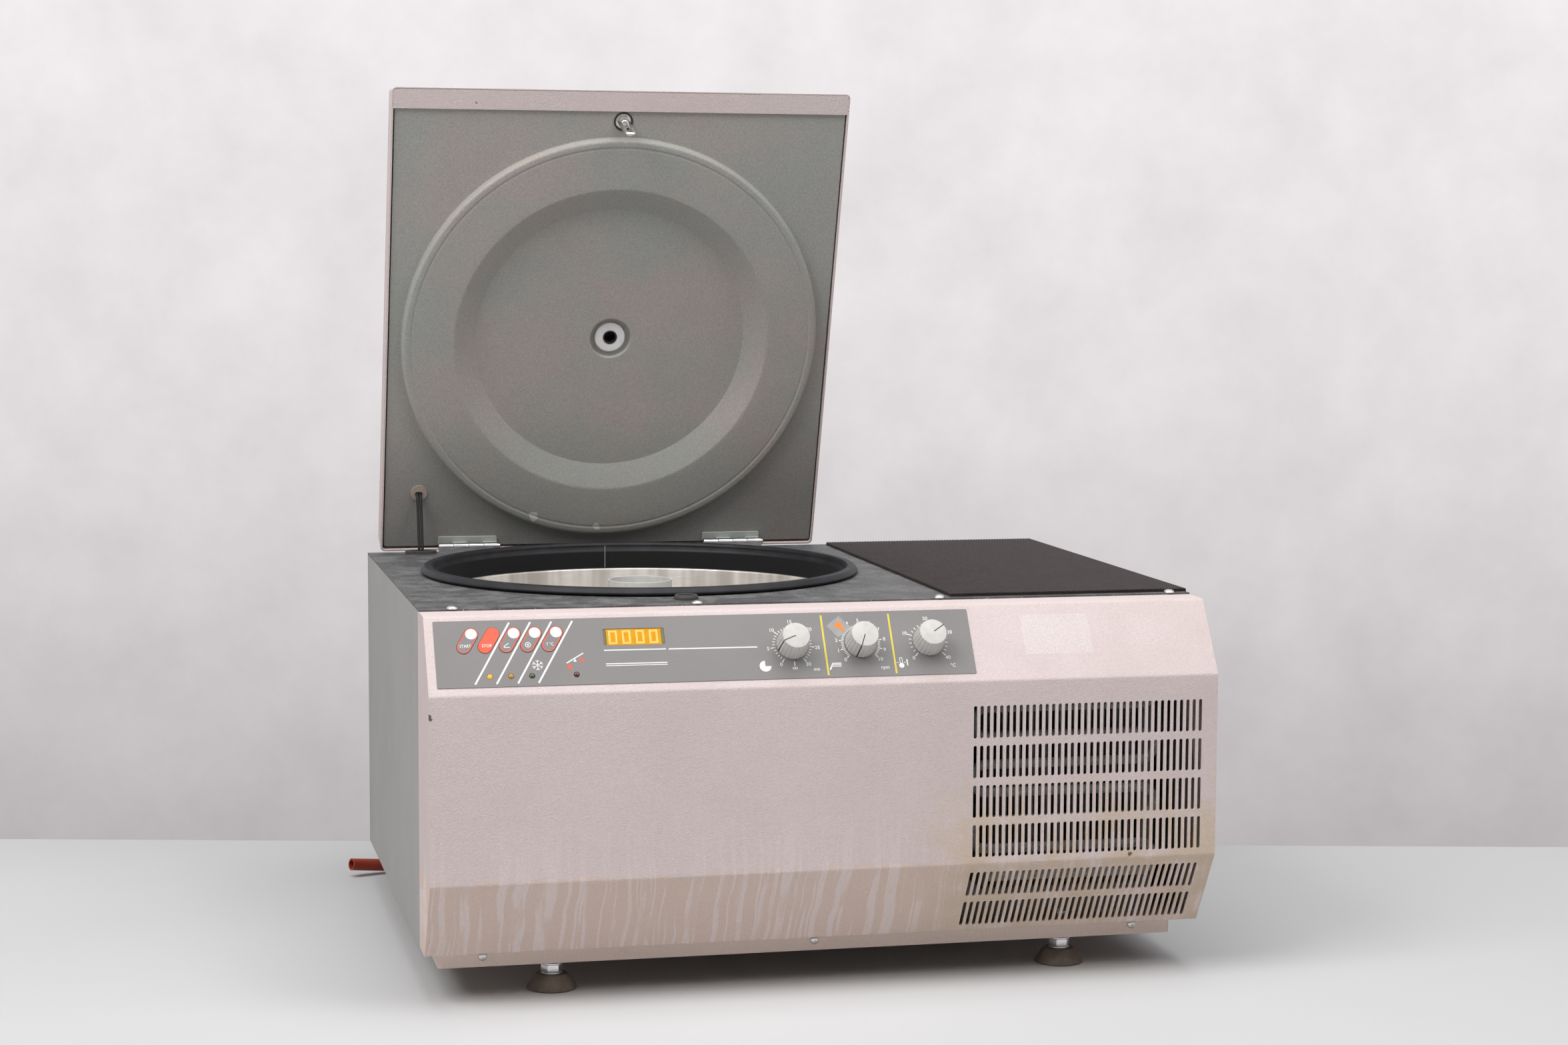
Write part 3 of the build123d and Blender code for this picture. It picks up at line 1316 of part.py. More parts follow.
# Compressor: a welded pot on a foot plate
compressor_x = condenser_middle
compressor_y = rear_y - compressor_radius - compressor_rear_gap
with BuildPart() as compressor:
    with BuildSketch(Plane(origin=(compressor_x, compressor_y, 0), x_dir=(1, 0, 0), z_dir=(0, -1, 0))):
        with BuildLine():
            low = base_z + compressor_foot_height
            high = low + compressor_height
            seam = low + compressor_height * 0.45
            Polyline(
                (0, low), (compressor_radius * 0.6, low), (compressor_radius, low + 28.0), (compressor_radius, seam - 2.0),
                (compressor_radius + 4.0, seam - 2.0), (compressor_radius + 4.0, seam + 2.0),
                (compressor_radius, seam + 2.0), (compressor_radius, high - 34.0),
                (compressor_radius * 0.6, high), (0, high), close=True,
            )
        make_face()
    revolve(axis=Axis((compressor_x, compressor_y, 0), (0, 0, 1)))
    with BuildSketch(upright(compressor_x, compressor_y, low)):
        Rectangle(2 * compressor_radius + 10.0, 90.0)
    extrude(amount=3.0)
    with BuildSketch(upright(compressor_x, compressor_y, base_z)):
        with GridLocations(2 * compressor_radius - 10.0, 70.0, 2, 2):
            Circle(9.0)
    extrude(amount=low - base_z)
save(compressor, "compressor")


# Mains inlet in the rear panel, with three blades
inlet_plane = Plane(origin=(inlet_x, rear_y, inlet_z), x_dir=(1, 0, 0), z_dir=(0, 1, 0))
with BuildPart() as mains_inlet:
    with BuildSketch(inlet_plane):
        Rectangle(inlet_width + 22.0, inlet_height + 10.0)
    extrude(amount=2.0)
    with BuildSketch(inlet_plane):
        Rectangle(inlet_width + 2 * sheet, inlet_height + 2 * sheet)
    extrude(amount=-inlet_depth - 2.0)
    with BuildSketch(inlet_plane.offset(2.0)):
        Rectangle(inlet_width, inlet_height)
    extrude(amount=-inlet_depth, mode=Mode.SUBTRACT)
    with BuildSketch(inlet_plane.offset(2.0 - inlet_depth)):
        with Locations((-7.0, -3.0), (7.0, -3.0), (0, 3.5)):
            Rectangle(2.0, 4.0)
    extrude(amount=inlet_depth - 7.0)
save(mains_inlet, "mains_inlet")

# Drain elbow low on the rear panel
elbow_z = drain_drop_height + drain_reach
elbow_inside = 4.0
hose_start = Vector(drain_x, rear_y + drain_reach, drain_drop_height)
with BuildPart() as drain_elbow:
    with BuildLine() as elbow_path:
        FilletPolyline(
            (drain_x, rear_y - elbow_inside, elbow_z), (drain_x, rear_y + drain_reach, elbow_z),
            (drain_x, rear_y + drain_reach, drain_drop_height - drain_barb_length), radius=12.0,
        )
    with BuildSketch(Plane(origin=(drain_x, rear_y - elbow_inside, elbow_z), z_dir=(0, 1, 0))):
        Circle(hose_bore - run_clearance)
    sweep(path=elbow_path.wire())
    with BuildSketch(Plane(origin=(drain_x, rear_y, elbow_z), z_dir=(0, 1, 0))):
        RegularPolygon(9.0, 6, major_radius=False)
    extrude(amount=5.0)
    with BuildSketch(Plane(origin=(drain_x, rear_y - elbow_inside, elbow_z), z_dir=(0, 1, 0))):
        Circle(drain_bore)
    sweep(path=elbow_path.wire(), mode=Mode.SUBTRACT)
save(drain_elbow, "drain_elbow")


# Drain hose: down from the elbow, then along the floor and out past the left rear corner
hose_floor = hose_radius + 0.1
hose_heights = [drain_drop_height - drop for drop in hose_drops] + [hose_floor + lift for lift in hose_lifts]
hose_points = [
    (drain_x - side, rear_y + drain_reach + back, height)
    for side, back, height in zip(hose_sidesteps, hose_setbacks, hose_heights)
]
hose_vectors = [Vector(*point) for point in hose_points]
hose_radii = []
for before, here, after in zip(hose_vectors, hose_vectors[1:], hose_vectors[2:]):
    first = here - before
    second = after - here
    half_turn = radians(first.get_angle(second)) / 2
    hose_radii.append(0.45 * min(first.length, second.length) / tan(half_turn))
with BuildPart() as drain_hose:
    with BuildLine() as hose_path:
        FilletPolyline(*hose_points, radius=hose_radii)
    with BuildSketch(Plane(origin=hose_vectors[0], z_dir=(hose_vectors[1] - hose_vectors[0]).normalized())):
        Circle(hose_radius)
        Circle(hose_bore, mode=Mode.SUBTRACT)
    sweep(path=hose_path.wire())
save(drain_hose, "drain_hose")
hose_length = hose_path.wire().length
print("hose length", round(hose_length, 1), "radii", [round(r, 1) for r in hose_radii])
print("hose volume ratio", round(drain_hose.part.volume / (3.14159265 * (hose_radius**2 - hose_bore**2) * hose_length), 4))


# Dome-headed screws along the top joint and the plinth
with BuildPart() as case_screws:
    for x in top_screw_x:
        with BuildSketch(upright(x, front_y - plate_front_reach / 2, plate_top)):
            Circle(screw_head_radius)
        extrude(amount=screw_head_height, taper=28)
        with BuildSketch(upright(x, front_y - plate_front_reach / 2, plate_top)):
            Circle(screw_shank_radius)
        extrude(amount=-2 * sheet - 3.0)
    for x in plinth_screw_x:
        head_plane = Plane(origin=(x, tray_front, plinth_screw_height), x_dir=(1, 0, 0), z_dir=(0, -1, 0))
        with BuildSketch(head_plane):
            Circle(screw_head_radius)
        extrude(amount=screw_head_height, taper=28)
        with BuildSketch(head_plane):
            Circle(screw_shank_radius)
        extrude(amount=-sheet - 3.0)
save(case_screws, "case_screws")

print("front_y", round(front_y, 3), "hinge", round(hinge_world_y, 3), round(hinge_z, 3))
print("bowl centre", bowl_x, round(bowl_centre_y, 3), "fan", fan_x, round(fan_front, 3), round(fan_z, 3))
print("pawl pivot", latch_x, round(pivot_y, 3), round(pivot_z, 3), "slope", round(degrees(slope_angle), 3))
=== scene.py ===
"""Looks of a refrigerated bench centrifuge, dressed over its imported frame.

Every class stands for one sub-assembly. Its sizes are dataclass fields in millimetres, and
its pieces are made in a local frame and then placed in the shared frame in metres.
"""
import json
import logging
import math
from dataclasses import dataclass, field
from enum import Enum

import bmesh
import bpy
from mathutils import Matrix, Vector


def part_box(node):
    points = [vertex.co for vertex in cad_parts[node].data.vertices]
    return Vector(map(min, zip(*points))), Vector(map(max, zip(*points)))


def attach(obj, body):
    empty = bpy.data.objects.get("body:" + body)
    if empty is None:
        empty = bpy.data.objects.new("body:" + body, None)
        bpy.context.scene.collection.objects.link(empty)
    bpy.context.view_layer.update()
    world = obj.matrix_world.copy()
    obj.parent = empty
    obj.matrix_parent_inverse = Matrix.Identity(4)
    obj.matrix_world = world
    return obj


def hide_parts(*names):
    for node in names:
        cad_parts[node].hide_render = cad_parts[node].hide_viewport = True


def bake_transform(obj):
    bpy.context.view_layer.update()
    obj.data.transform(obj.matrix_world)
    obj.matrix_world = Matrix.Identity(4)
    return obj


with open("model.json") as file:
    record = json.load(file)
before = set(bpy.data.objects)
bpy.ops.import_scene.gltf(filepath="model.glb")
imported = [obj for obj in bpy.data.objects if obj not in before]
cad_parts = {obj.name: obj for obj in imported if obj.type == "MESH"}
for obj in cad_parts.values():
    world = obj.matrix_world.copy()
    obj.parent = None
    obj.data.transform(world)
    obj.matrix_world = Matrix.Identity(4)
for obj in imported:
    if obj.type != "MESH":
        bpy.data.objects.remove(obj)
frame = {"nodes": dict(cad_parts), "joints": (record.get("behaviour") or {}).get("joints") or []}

LOG = logging.getLogger("centrifuge")
MM = 0.001
# Level of the top plate, below which the seal ring is painted in shade.
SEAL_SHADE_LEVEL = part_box("top_plate")[1][2] / MM
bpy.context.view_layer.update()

Mesh = bpy.types.Mesh
Socket = bpy.types.NodeSocket
Colour = tuple[float, float, float]
Outline = list[tuple[float, float]]
Corners = list[tuple[float, float, float]]
ACROSS, INWARD, UPWARD = Vector((1, 0, 0)), Vector((0, 1, 0)), Vector((0, 0, 1))


class Body(Enum):
    """Names of the moving bodies that pieces ride on."""

    CABINET = "cabinet"
    LID = "lid"
    SPINDLE = "spindle"


@dataclass(frozen=True)
class Place:
    """A local frame that takes millimetres and gives metres in the shared frame."""

    origin: Vector
    across: Vector
    up: Vector
    out: Vector

    def at(self, u: float, v: float, w: float = 0.0) -> Vector:
        """Give the shared point of local millimetres.

        Args:
            u: Distance across.
            v: Distance up.
            w: Distance out.

        Returns:
            The point in metres.
        """
        return self.origin + (self.across * u + self.up * v + self.out * w) * MM

    def moved(self, u: float, v: float, w: float = 0.0) -> "Place":
        """Return the same frame with its origin moved."""
        return Place(self.at(u, v, w), self.across, self.up, self.out)

    def turned(self, angle: float) -> "Place":
        """Return the frame turned about its outward axis, in degrees, clockwise seen from outside.

        Args:
            angle: The angle.

        Returns:
            The frame.
        """
        turn = math.radians(-angle)
        across = self.across * math.cos(turn) + self.up * math.sin(turn)
        up = self.up * math.cos(turn) - self.across * math.sin(turn)
        return Place(self.origin, across, up, self.out)

    def matrix(self) -> Matrix:
        """Return the matrix from local millimetres to shared metres."""
        rows = [[self.across[i] * MM, self.up[i] * MM, self.out[i] * MM, self.origin[i]] for i in range(3)]
        return Matrix(rows + [[0.0, 0.0, 0.0, 1.0]])

    def matrix_mm(self) -> Matrix:
        """Return the matrix from local millimetres to shared millimetres."""
        return Matrix.Scale(1 / MM, 4) @ self.matrix()


class Layout:
    """Heights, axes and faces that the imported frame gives."""

    top_bend_reach = 42.0

    def __init__(self) -> None:
        """Read the joints and the boxes of the frame."""
        joints = {joint["name"]: joint for joint in frame["joints"]}
        plate_low, plate_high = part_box("top_plate")
        side_low, side_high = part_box("left_side_panel")
        self.half_width = plate_high[0] / MM
        self.front = side_low[1] / MM
        self.rear = side_high[1] / MM
        self.base = side_low[2] / MM
        self.panel_top = plate_low[2] / MM
        self.plate_top = plate_high[2] / MM
        self.hinge = Vector(joints["lid_hinge"]["pos_m"])
        self.open_angle = float(joints["lid_hinge"]["range_deg"][1])
        spindle = joints["spindle_spin"]["pos_m"]
        self.bowl = Vector((spindle[0], spindle[1], 0.0))
        self.joints = joints

    def bowl_place(self) -> Place:
        """Return the upright frame on the bowl axis, heights from the floor."""
        return Place(self.bowl.copy(), ACROSS, INWARD, UPWARD)

    def upright(self, x: float, y: float, z: float) -> Place:
        """Return a level frame at a point in shared millimetres."""
        return Place(Vector((x, y, z)) * MM, ACROSS, INWARD, UPWARD)

    def facing(self, x: float, y: float, z: float) -> Place:
        """Return a frame that looks at the operator, its out axis along -Y."""
        return Place(Vector((x, y, z)) * MM, ACROSS, UPWARD, -INWARD)

    def backing(self, x: float, y: float, z: float) -> Place:
        """Return a frame that looks to the rear, its out axis along +Y."""
        return Place(Vector((x, y, z)) * MM, -ACROSS, UPWARD, INWARD)

    def face(self) -> Place:
        """Return the sloping control face, from its top left corner, up positive.

        Returns:
            The frame.
        """
        inward = Vector(self.joints["time_knob_turn"]["axis"]).normalized()
        out = -inward
        up = out.cross(ACROSS)
        origin = Vector((-self.half_width, self.front - self.top_bend_reach, self.panel_top)) * MM
        return Place(origin, ACROSS, up, out)

    def lid(self) -> Place:
        """Return the open lid: across, from hinge to lip, and out towards the bowl.

        Returns:
            The frame.
        """
        lean = math.radians(90.0 - self.open_angle)
        along = Vector((0, -math.sin(lean), math.cos(lean)))
        toward = Vector((0, -math.cos(lean), -math.sin(lean)))
        origin = Vector((self.bowl.x, self.hinge.y, self.hinge.z))
        return Place(origin, ACROSS, along, toward)


class NodeTree:
    """A node tree under construction."""

    def __init__(self, tree: bpy.types.NodeTree) -> None:
        """Take the tree that the nodes go to."""
        self.tree = tree

    def feed(self, socket: Socket, value: object) -> None:
        """Link an input to a socket, or set it to a value.

        Args:
            socket: The input.
            value: A socket, a number, a datablock, or a colour or vector as a tuple.
        """
        if isinstance(value, Socket):
            self.tree.links.new(value, socket)
        elif socket.type == "RGBA":
            socket.default_value = (*value[:3], 1.0)
        else:
            socket.default_value = value

    def node(self, kind: str, inputs: dict | None = None, **settings: object) -> bpy.types.Node:
        """Add a node and set it.

        Args:
            kind: Blender's node type.
            inputs: Values or sockets for its inputs, by name or number.
            settings: Attributes of the node.

        Returns:
            The node.
        """
        made = self.tree.nodes.new(kind)
        for key, value in settings.items():
            setattr(made, key, value)
        for key, value in (inputs or {}).items():
            self.feed(made.inputs[key], value)
        return made

    def math(self, kind: str, first: object, second: object = 0.0) -> Socket:
        """Return the result of one sum on two values or sockets."""
        return self.node("ShaderNodeMath", {0: first, 1: second}, operation=kind).outputs[0]


class Shader(NodeTree):
    """A node material under construction, on Object coordinates."""

    def __init__(self, name: str) -> None:
        """Start a material.

        Args:
            name: Name of the finish.
        """
        self.material = bpy.data.materials.new(name)
        self.material.use_nodes = True
        super().__init__(self.material.node_tree)
        self.surface = self.tree.nodes["Principled BSDF"]
        self.coordinates = self.node("ShaderNodeTexCoord").outputs["Object"]

    def stretched(self, x: float, y: float, z: float) -> Socket:
        """Return the coordinates scaled along each axis."""
        made = self.node("ShaderNodeMapping", {"Vector": self.coordinates, "Scale": (x, y, z)})
        return made.outputs["Vector"]

    def noise(
        self, size: float, detail: float = 3.0, rough: float = 0.5, vector: Socket | None = None
    ) -> Socket:
        """Return noise whose spots are about size millimetres across.

        Args:
            size: Size of the spots.
            detail: Layers of finer noise.
            rough: Share of the finer layers.
            vector: Coordinates, or None for the Object coordinates.

        Returns:
            The noise.
        """
        inputs = {
            "Vector": vector or self.coordinates, "Scale": 1000.0 / size, "Detail": detail,
            "Roughness": rough,
        }
        return self.node("ShaderNodeTexNoise", inputs).outputs["Fac"]

    def axis(self, name: str) -> Socket:
        """Return one coordinate, X, Y or Z, in metres."""
        return self.node("ShaderNodeSeparateXYZ", {"Vector": self.coordinates}).outputs[name]

    def span(
        self, value: Socket, low: float, high: float, start: float = 0.0, end: float = 1.0
    ) -> Socket:
        """Return value mapped smoothly from low and high to start and end."""
        inputs = {"Value": value, "From Min": low, "From Max": high, "To Min": start, "To Max": end}
        return self.node("ShaderNodeMapRange", inputs, interpolation_type="SMOOTHSTEP").outputs["Result"]

    def mix(self, share: object, first: object, second: object, kind: str = "MIX") -> Socket:
        """Return two colours mixed by a share.

        Args:
            share: Number or socket from 0 to 1.
            first: Colour or socket at 0.
            second: Colour or socket at 1.
            kind: Blend type.

        Returns:
            The colour socket.
        """
        inputs = {0: share, 6: first, 7: second}
        return self.node("ShaderNodeMix", inputs, data_type="RGBA", blend_type=kind).outputs[2]

    def bump(self, height: Socket, depth: float, strength: float = 1.0) -> None:
        """Raise the surface by a height map, depth in millimetres."""
        inputs = {"Height": height, "Distance": depth * MM, "Strength": strength}
        self.set("Normal", self.node("ShaderNodeBump", inputs).outputs["Normal"])

    def set(self, name: str, value: object) -> None:
        """Set or link one input of the surface."""
        self.feed(self.surface.inputs[name], value)


@dataclass(frozen=True)
class StippledPaint:
    """Matt powder paint with a fine leathery grain and faint soiling."""

    name: str
    colour: Colour
    worn: Colour
    grain: float = 1.5
    depth: float = 0.18
    rough: float = 0.62
    patch: float = 0.35
    mottle: float = 0.04
    chips: tuple[tuple[Colour, Colour, float], ...] = ()

    def base(self, shader: Shader) -> Socket:
        """Return the colour before any stain.

        Args:
            shader: The material under construction.

        Returns:
            The colour socket.
        """
        broad = shader.span(shader.noise(120.0, 4.0, 0.6), 0.35, 0.75, 0.0, self.patch)
        return shader.mix(broad, self.colour, self.worn)

    def chipped(self, shader: Shader, colour: Socket) -> Socket:
        """Return the colour with its fine grain and its small ragged chips.

        Args:
            shader: The material under construction.
            colour: The colour that they lie on.

        Returns:
            The colour socket.
        """
        fine = shader.span(
            shader.noise(self.grain * 1.3, 2.0, 0.6), 0.3, 0.7, 1.0 - self.mottle, 1.0 + self.mottle,
        )
        colour = shader.mix(1.0, colour, fine, "MULTIPLY")
        for tone, (x, y, z), radius in self.chips:
            gap = shader.node(
                "ShaderNodeVectorMath", {0: shader.coordinates, 1: (x * MM, y * MM, z * MM)},
                operation="DISTANCE",
            )
            ragged = shader.span(
                shader.noise(radius * 1.5, 2.0, 0.5), 0.3, 0.7, -0.4 * radius * MM, 0.4 * radius * MM,
            )
            reach = shader.math("ADD", gap.outputs["Value"], ragged)
            colour = shader.mix(shader.span(reach, 0.75 * radius * MM, radius * MM, 0.9, 0.0), colour, tone)
        return colour

    def relief(self, shader: Shader) -> None:
        """Add the grain."""
        grain = shader.noise(self.grain, 2.0, 0.55)
        shader.bump(shader.span(grain, 0.35, 0.7), self.depth, 0.8)

    def build(self) -> bpy.types.Material:
        """Return the finished material.

        Returns:
            The material.
        """
        shader = Shader(self.name)
        shader.set("Base Color", self.chipped(shader, self.base(shader)))
        shader.set(
            "Roughness", shader.span(shader.noise(60.0), 0.3, 0.7, self.rough - 0.06, self.rough + 0.08),
        )
        self.relief(shader)
        return shader.material


@dataclass(frozen=True)
class DrippedPaint(StippledPaint):
    """The front's paint, with dried drips below the knee and brown soiling round the slots."""

    drip_top: float = 118.5
    drip_fade: float = 3.5
    soil: Colour = (0.58, 0.46, 0.35)
    wash: Colour = (0.67, 0.52, 0.445)
    pale: Colour = (0.76, 0.665, 0.655)
    grille_left: float = 95.0
    grille_top: float = 235.0
    patch_x: tuple[float, float] = (183.0, 248.0)
    patch_z: tuple[float, float] = (307.5, 341.0)

    def build(self) -> bpy.types.Material:
        """Return the finished material.

        Returns:
            The material.
        """
        shader = Shader(self.name)
        height = shader.axis("Z")
        across = shader.axis("X")
        base = self.base(shader)
        ragged = shader.span(
            shader.noise(24.0, 2.0, 0.5, shader.stretched(1.0, 0.0, 0.3)), 0.3, 0.7, -0.003, 0.003,
        )
        edge = shader.math("ADD", height, ragged)
        low = shader.span(
            edge, (self.drip_top - self.drip_fade) * MM, (self.drip_top + self.drip_fade) * MM, 0.95, 0.0,
        )
        cloudy = shader.math("MULTIPLY", low, shader.span(shader.noise(55.0, 4.0, 0.6), 0.25, 0.7, 0.78, 1.0))
        soiled = shader.mix(cloudy, base, self.wash)
        wander = shader.noise(60.0, 1.0, 0.5)
        shift = shader.node(
            "ShaderNodeCombineXYZ", {0: shader.span(wander, 0.25, 0.75, -0.0025, 0.0025), 1: 0.0, 2: 0.0},
        )
        bent = shader.node(
            "ShaderNodeVectorMath", {0: shader.coordinates, 1: shift.outputs[0]}, operation="ADD",
        )
        narrow = shader.node(
            "ShaderNodeMapping", {"Vector": bent.outputs[0], "Scale": (1.0, 0.0, 0.02)},
        ).outputs["Vector"]
        runs = shader.noise(4.6, 1.0, 0.5, narrow)
        ends = shader.span(
            shader.noise(13.0, 2.0, 0.5, shader.stretched(1.0, 0.0, 0.25)), 0.38, 0.50, 0.15, 1.0,
        )
        above = shader.span(height, 112.0 * MM, 190.0 * MM, 1.0, 0.0)
        reach = shader.math("MULTIPLY", above, shader.math("MAXIMUM", low, 0.35))
        streak = shader.math("MULTIPLY", shader.span(runs, 0.505, 0.55), shader.math("MULTIPLY", ends, reach))
        streaked = shader.mix(shader.math("MULTIPLY", streak, 0.62), soiled, self.pale)
        right = shader.span(across, (self.grille_left - 45.0) * MM, (self.grille_left + 50.0) * MM)
        under = shader.span(height, 125.0 * MM, self.grille_top * MM, 0.90, 0.0)
        cloud = shader.span(shader.noise(38.0, 4.0, 0.6), 0.32, 0.62)
        tea = shader.math("MULTIPLY", shader.math("MULTIPLY", right, under), cloud)
        stained = shader.mix(tea, streaked, self.soil)
        residue = self.window(shader, across, self.patch_x)
        residue = shader.math("MULTIPLY", residue, self.window(shader, height, self.patch_z))
        grainy = shader.span(shader.noise(1.6, 1.0), 0.3, 0.7, 0.10, 0.45)
        residue = shader.math("MULTIPLY", residue, grainy)
        shader.set("Base Color", self.chipped(shader, shader.mix(residue, stained, (0.74, 0.70, 0.69))))
        shader.set(
            "Roughness", shader.span(shader.noise(60.0), 0.3, 0.7, self.rough - 0.06, self.rough + 0.08),
        )
        self.relief(shader)
        return shader.material

    @staticmethod
    def window(shader: Shader, value: Socket, span: tuple[float, float]) -> Socket:
        """Return 1 where a coordinate lies within a span in millimetres, and 0 elsewhere."""
        above = shader.math("GREATER_THAN", value, span[0] * MM)
        return shader.math("MULTIPLY", above, shader.math("LESS_THAN", value, span[1] * MM))


@dataclass(frozen=True)
class DustyPaint(StippledPaint):
    """Dark paint with pale dust, scuffs and specks, as on the top plate and the lid liner, with painted shade
    below a level where asked.
    """

    dust: Colour = (0.42, 0.44, 0.43)
    dust_share: float = 0.5
    specks: float = 0.72
    scratches: float = 0.25
    cloud: float = 70.0
    # Level in millimetres below which shade is painted, or 0 for none.
    grimy_below: float = 0.0

    def build(self) -> bpy.types.Material:
        """Return the finished material.

        Returns:
            The material.
        """
        shader = Shader(self.name)
        base = self.base(shader)
        film = shader.span(shader.noise(self.cloud, 6.0, 0.65), 0.4, 0.7, 0.0, self.dust_share)
        dusty = shader.mix(film, base, self.dust)
        spots = shader.span(shader.noise(1.8, 1.0, 0.4), self.specks, self.specks + 0.06, 0.0, 0.5)
        scratch = shader.noise(3.0, 2.0, 0.5, shader.stretched(0.15, 1.0, 1.0))
        marks = shader.math("MAXIMUM", spots, shader.span(scratch, 0.72, 0.78, 0.0, self.scratches))
        colour = shader.mix(marks, dusty, (0.60, 0.60, 0.58))
        # Painted shade: the colour darkens down to 0.76 over the 130 mm below the level, towards the hinge of
        # the open lid.
        if self.grimy_below:
            shade_factor = shader.span(
                shader.axis("Z"), (self.grimy_below - 130.0) * MM, self.grimy_below * MM, 0.76, 1.0,
            )
            colour = shader.mix(1.0, colour, shade_factor, "MULTIPLY")
        shader.set("Base Color", self.chipped(shader, colour))
        shader.set("Roughness", shader.span(film, 0.0, self.dust_share, self.rough - 0.08, self.rough + 0.12))
        shader.set("Specular IOR Level", 0.3)
        self.relief(shader)
        return shader.material


@dataclass(frozen=True)
class Rubber:
    """Matt rubber with a greyish bloom."""

    name: str
    colour: Colour = (0.012, 0.012, 0.013)
    bloom: Colour = (0.075, 0.075, 0.08)
    share: float = 0.5
    rough: float = 0.55
    # Level in millimetres below which near-black painted shade replaces the bloom, or 0 for none.
    clean_below: float = 0.0

    def build(self) -> bpy.types.Material:
        """Return the finished material.

        Returns:
            The material.
        """
        shader = Shader(self.name)
        film = shader.span(shader.noise(30.0, 5.0, 0.6), 0.35, 0.75, 0.0, self.share)
        rough = shader.span(film, 0.0, 1.0, self.rough, self.rough + 0.3)
        colour = shader.mix(film, self.colour, self.bloom)
        # Painted shade: below the level the colour turns near black and matt, for the shade inside the bowl
        # opening.
        if self.clean_below:
            high = shader.span(shader.axis("Z"), (self.clean_below - 2.0) * MM, self.clean_below * MM)
            colour = shader.mix(high, (0.004, 0.004, 0.005), colour)
            rough = shader.span(high, 0.0, 1.0, 0.85, self.rough)
        shader.set("Base Color", colour)
        shader.set("Roughness", rough)
        shader.set("Specular IOR Level", 0.3)
        shader.bump(shader.noise(0.8, 2.0), 0.03, 0.5)
        return shader.material


@dataclass(frozen=True)
class Metal:
    """Bare metal with turning or rolling marks and a little tarnish."""

    name: str
    colour: Colour = (0.60, 0.59, 0.57)
    tarnish: Colour = (0.30, 0.28, 0.25)
    rough: float = 0.28
    marks: Colour = (1.0, 1.0, 30.0)
    mark_depth: float = 0.01

    def build(self) -> bpy.types.Material:
        """Return the finished material.

        Returns:
            The material.
        """
        shader = Shader(self.name)
        lines = shader.noise(14.0, 3.0, 0.6, shader.stretched(*self.marks))
        cloud = shader.span(shader.noise(40.0, 4.0, 0.6), 0.45, 0.8, 0.0, 0.45)
        shader.set("Base Color", shader.mix(cloud, self.colour, self.tarnish))
        shader.set("Roughness", shader.span(lines, 0.3, 0.7, self.rough - 0.08, self.rough + 0.14))
        shader.set("Metallic", 1.0)
        shader.bump(lines, self.mark_depth, 0.6)
        return shader.material


@dataclass(frozen=True)
class BandedSteel:
    """Satin steel of a spun bowl, with soft upright bands of painted reflection in its colour."""

    name: str
    bright: Colour = (0.86, 0.83, 0.79)
    dull: Colour = (0.52, 0.49, 0.45)
    band: float = 26.0
    metal: float = 0.55

    def build(self) -> bpy.types.Material:
        """Return the finished material.

        Returns:
            The material.
        """
        shader = Shader(self.name)
        # Painted reflection: the bright and dull upright bands stand for the surroundings mirrored in the
        # spun steel.
        bands = shader.span(shader.noise(self.band, 2.5, 0.6, shader.stretched(1.0, 1.0, 0.06)), 0.36, 0.66)
        shader.set("Base Color", shader.mix(bands, self.dull, self.bright))
        shader.set("Metallic", self.metal)
        rings = shader.noise(10.0, 2.0, 0.5, shader.stretched(1.0, 1.0, 12.0))
        shader.set("Roughness", shader.span(rings, 0.3, 0.7, 0.30, 0.44))
        shader.bump(rings, 0.01, 0.5)
        return shader.material


@dataclass(frozen=True)
class Plastic:
    """Moulded plastic with slight mottling, opaque or thin enough to see through."""

    name: str
    colour: Colour
    soiled: Colour
    rough: float = 0.42
    glow: float = 0.0
    glow_colour: Colour = (1.0, 1.0, 1.0)
    alpha: float = 1.0
    sheen: float = 0.5

    def build(self) -> bpy.types.Material:
        """Return the finished material.

        Returns:
            The material.
        """
        shader = Shader(self.name)
        film = shader.span(shader.noise(6.0, 4.0, 0.6), 0.35, 0.75, 0.0, 0.5)
        shader.set("Base Color", shader.mix(film, self.colour, self.soiled))
        shader.set("Roughness", shader.span(film, 0.0, 0.5, self.rough, self.rough + 0.15))
        shader.set("Alpha", self.alpha)
        shader.set("Specular IOR Level", self.sheen)
        if self.glow:
            shader.set("Emission Color", self.glow_colour)
            shader.set("Emission Strength", self.glow)
        shader.bump(shader.noise(0.5, 1.0), 0.012, 0.4)
        return shader.material


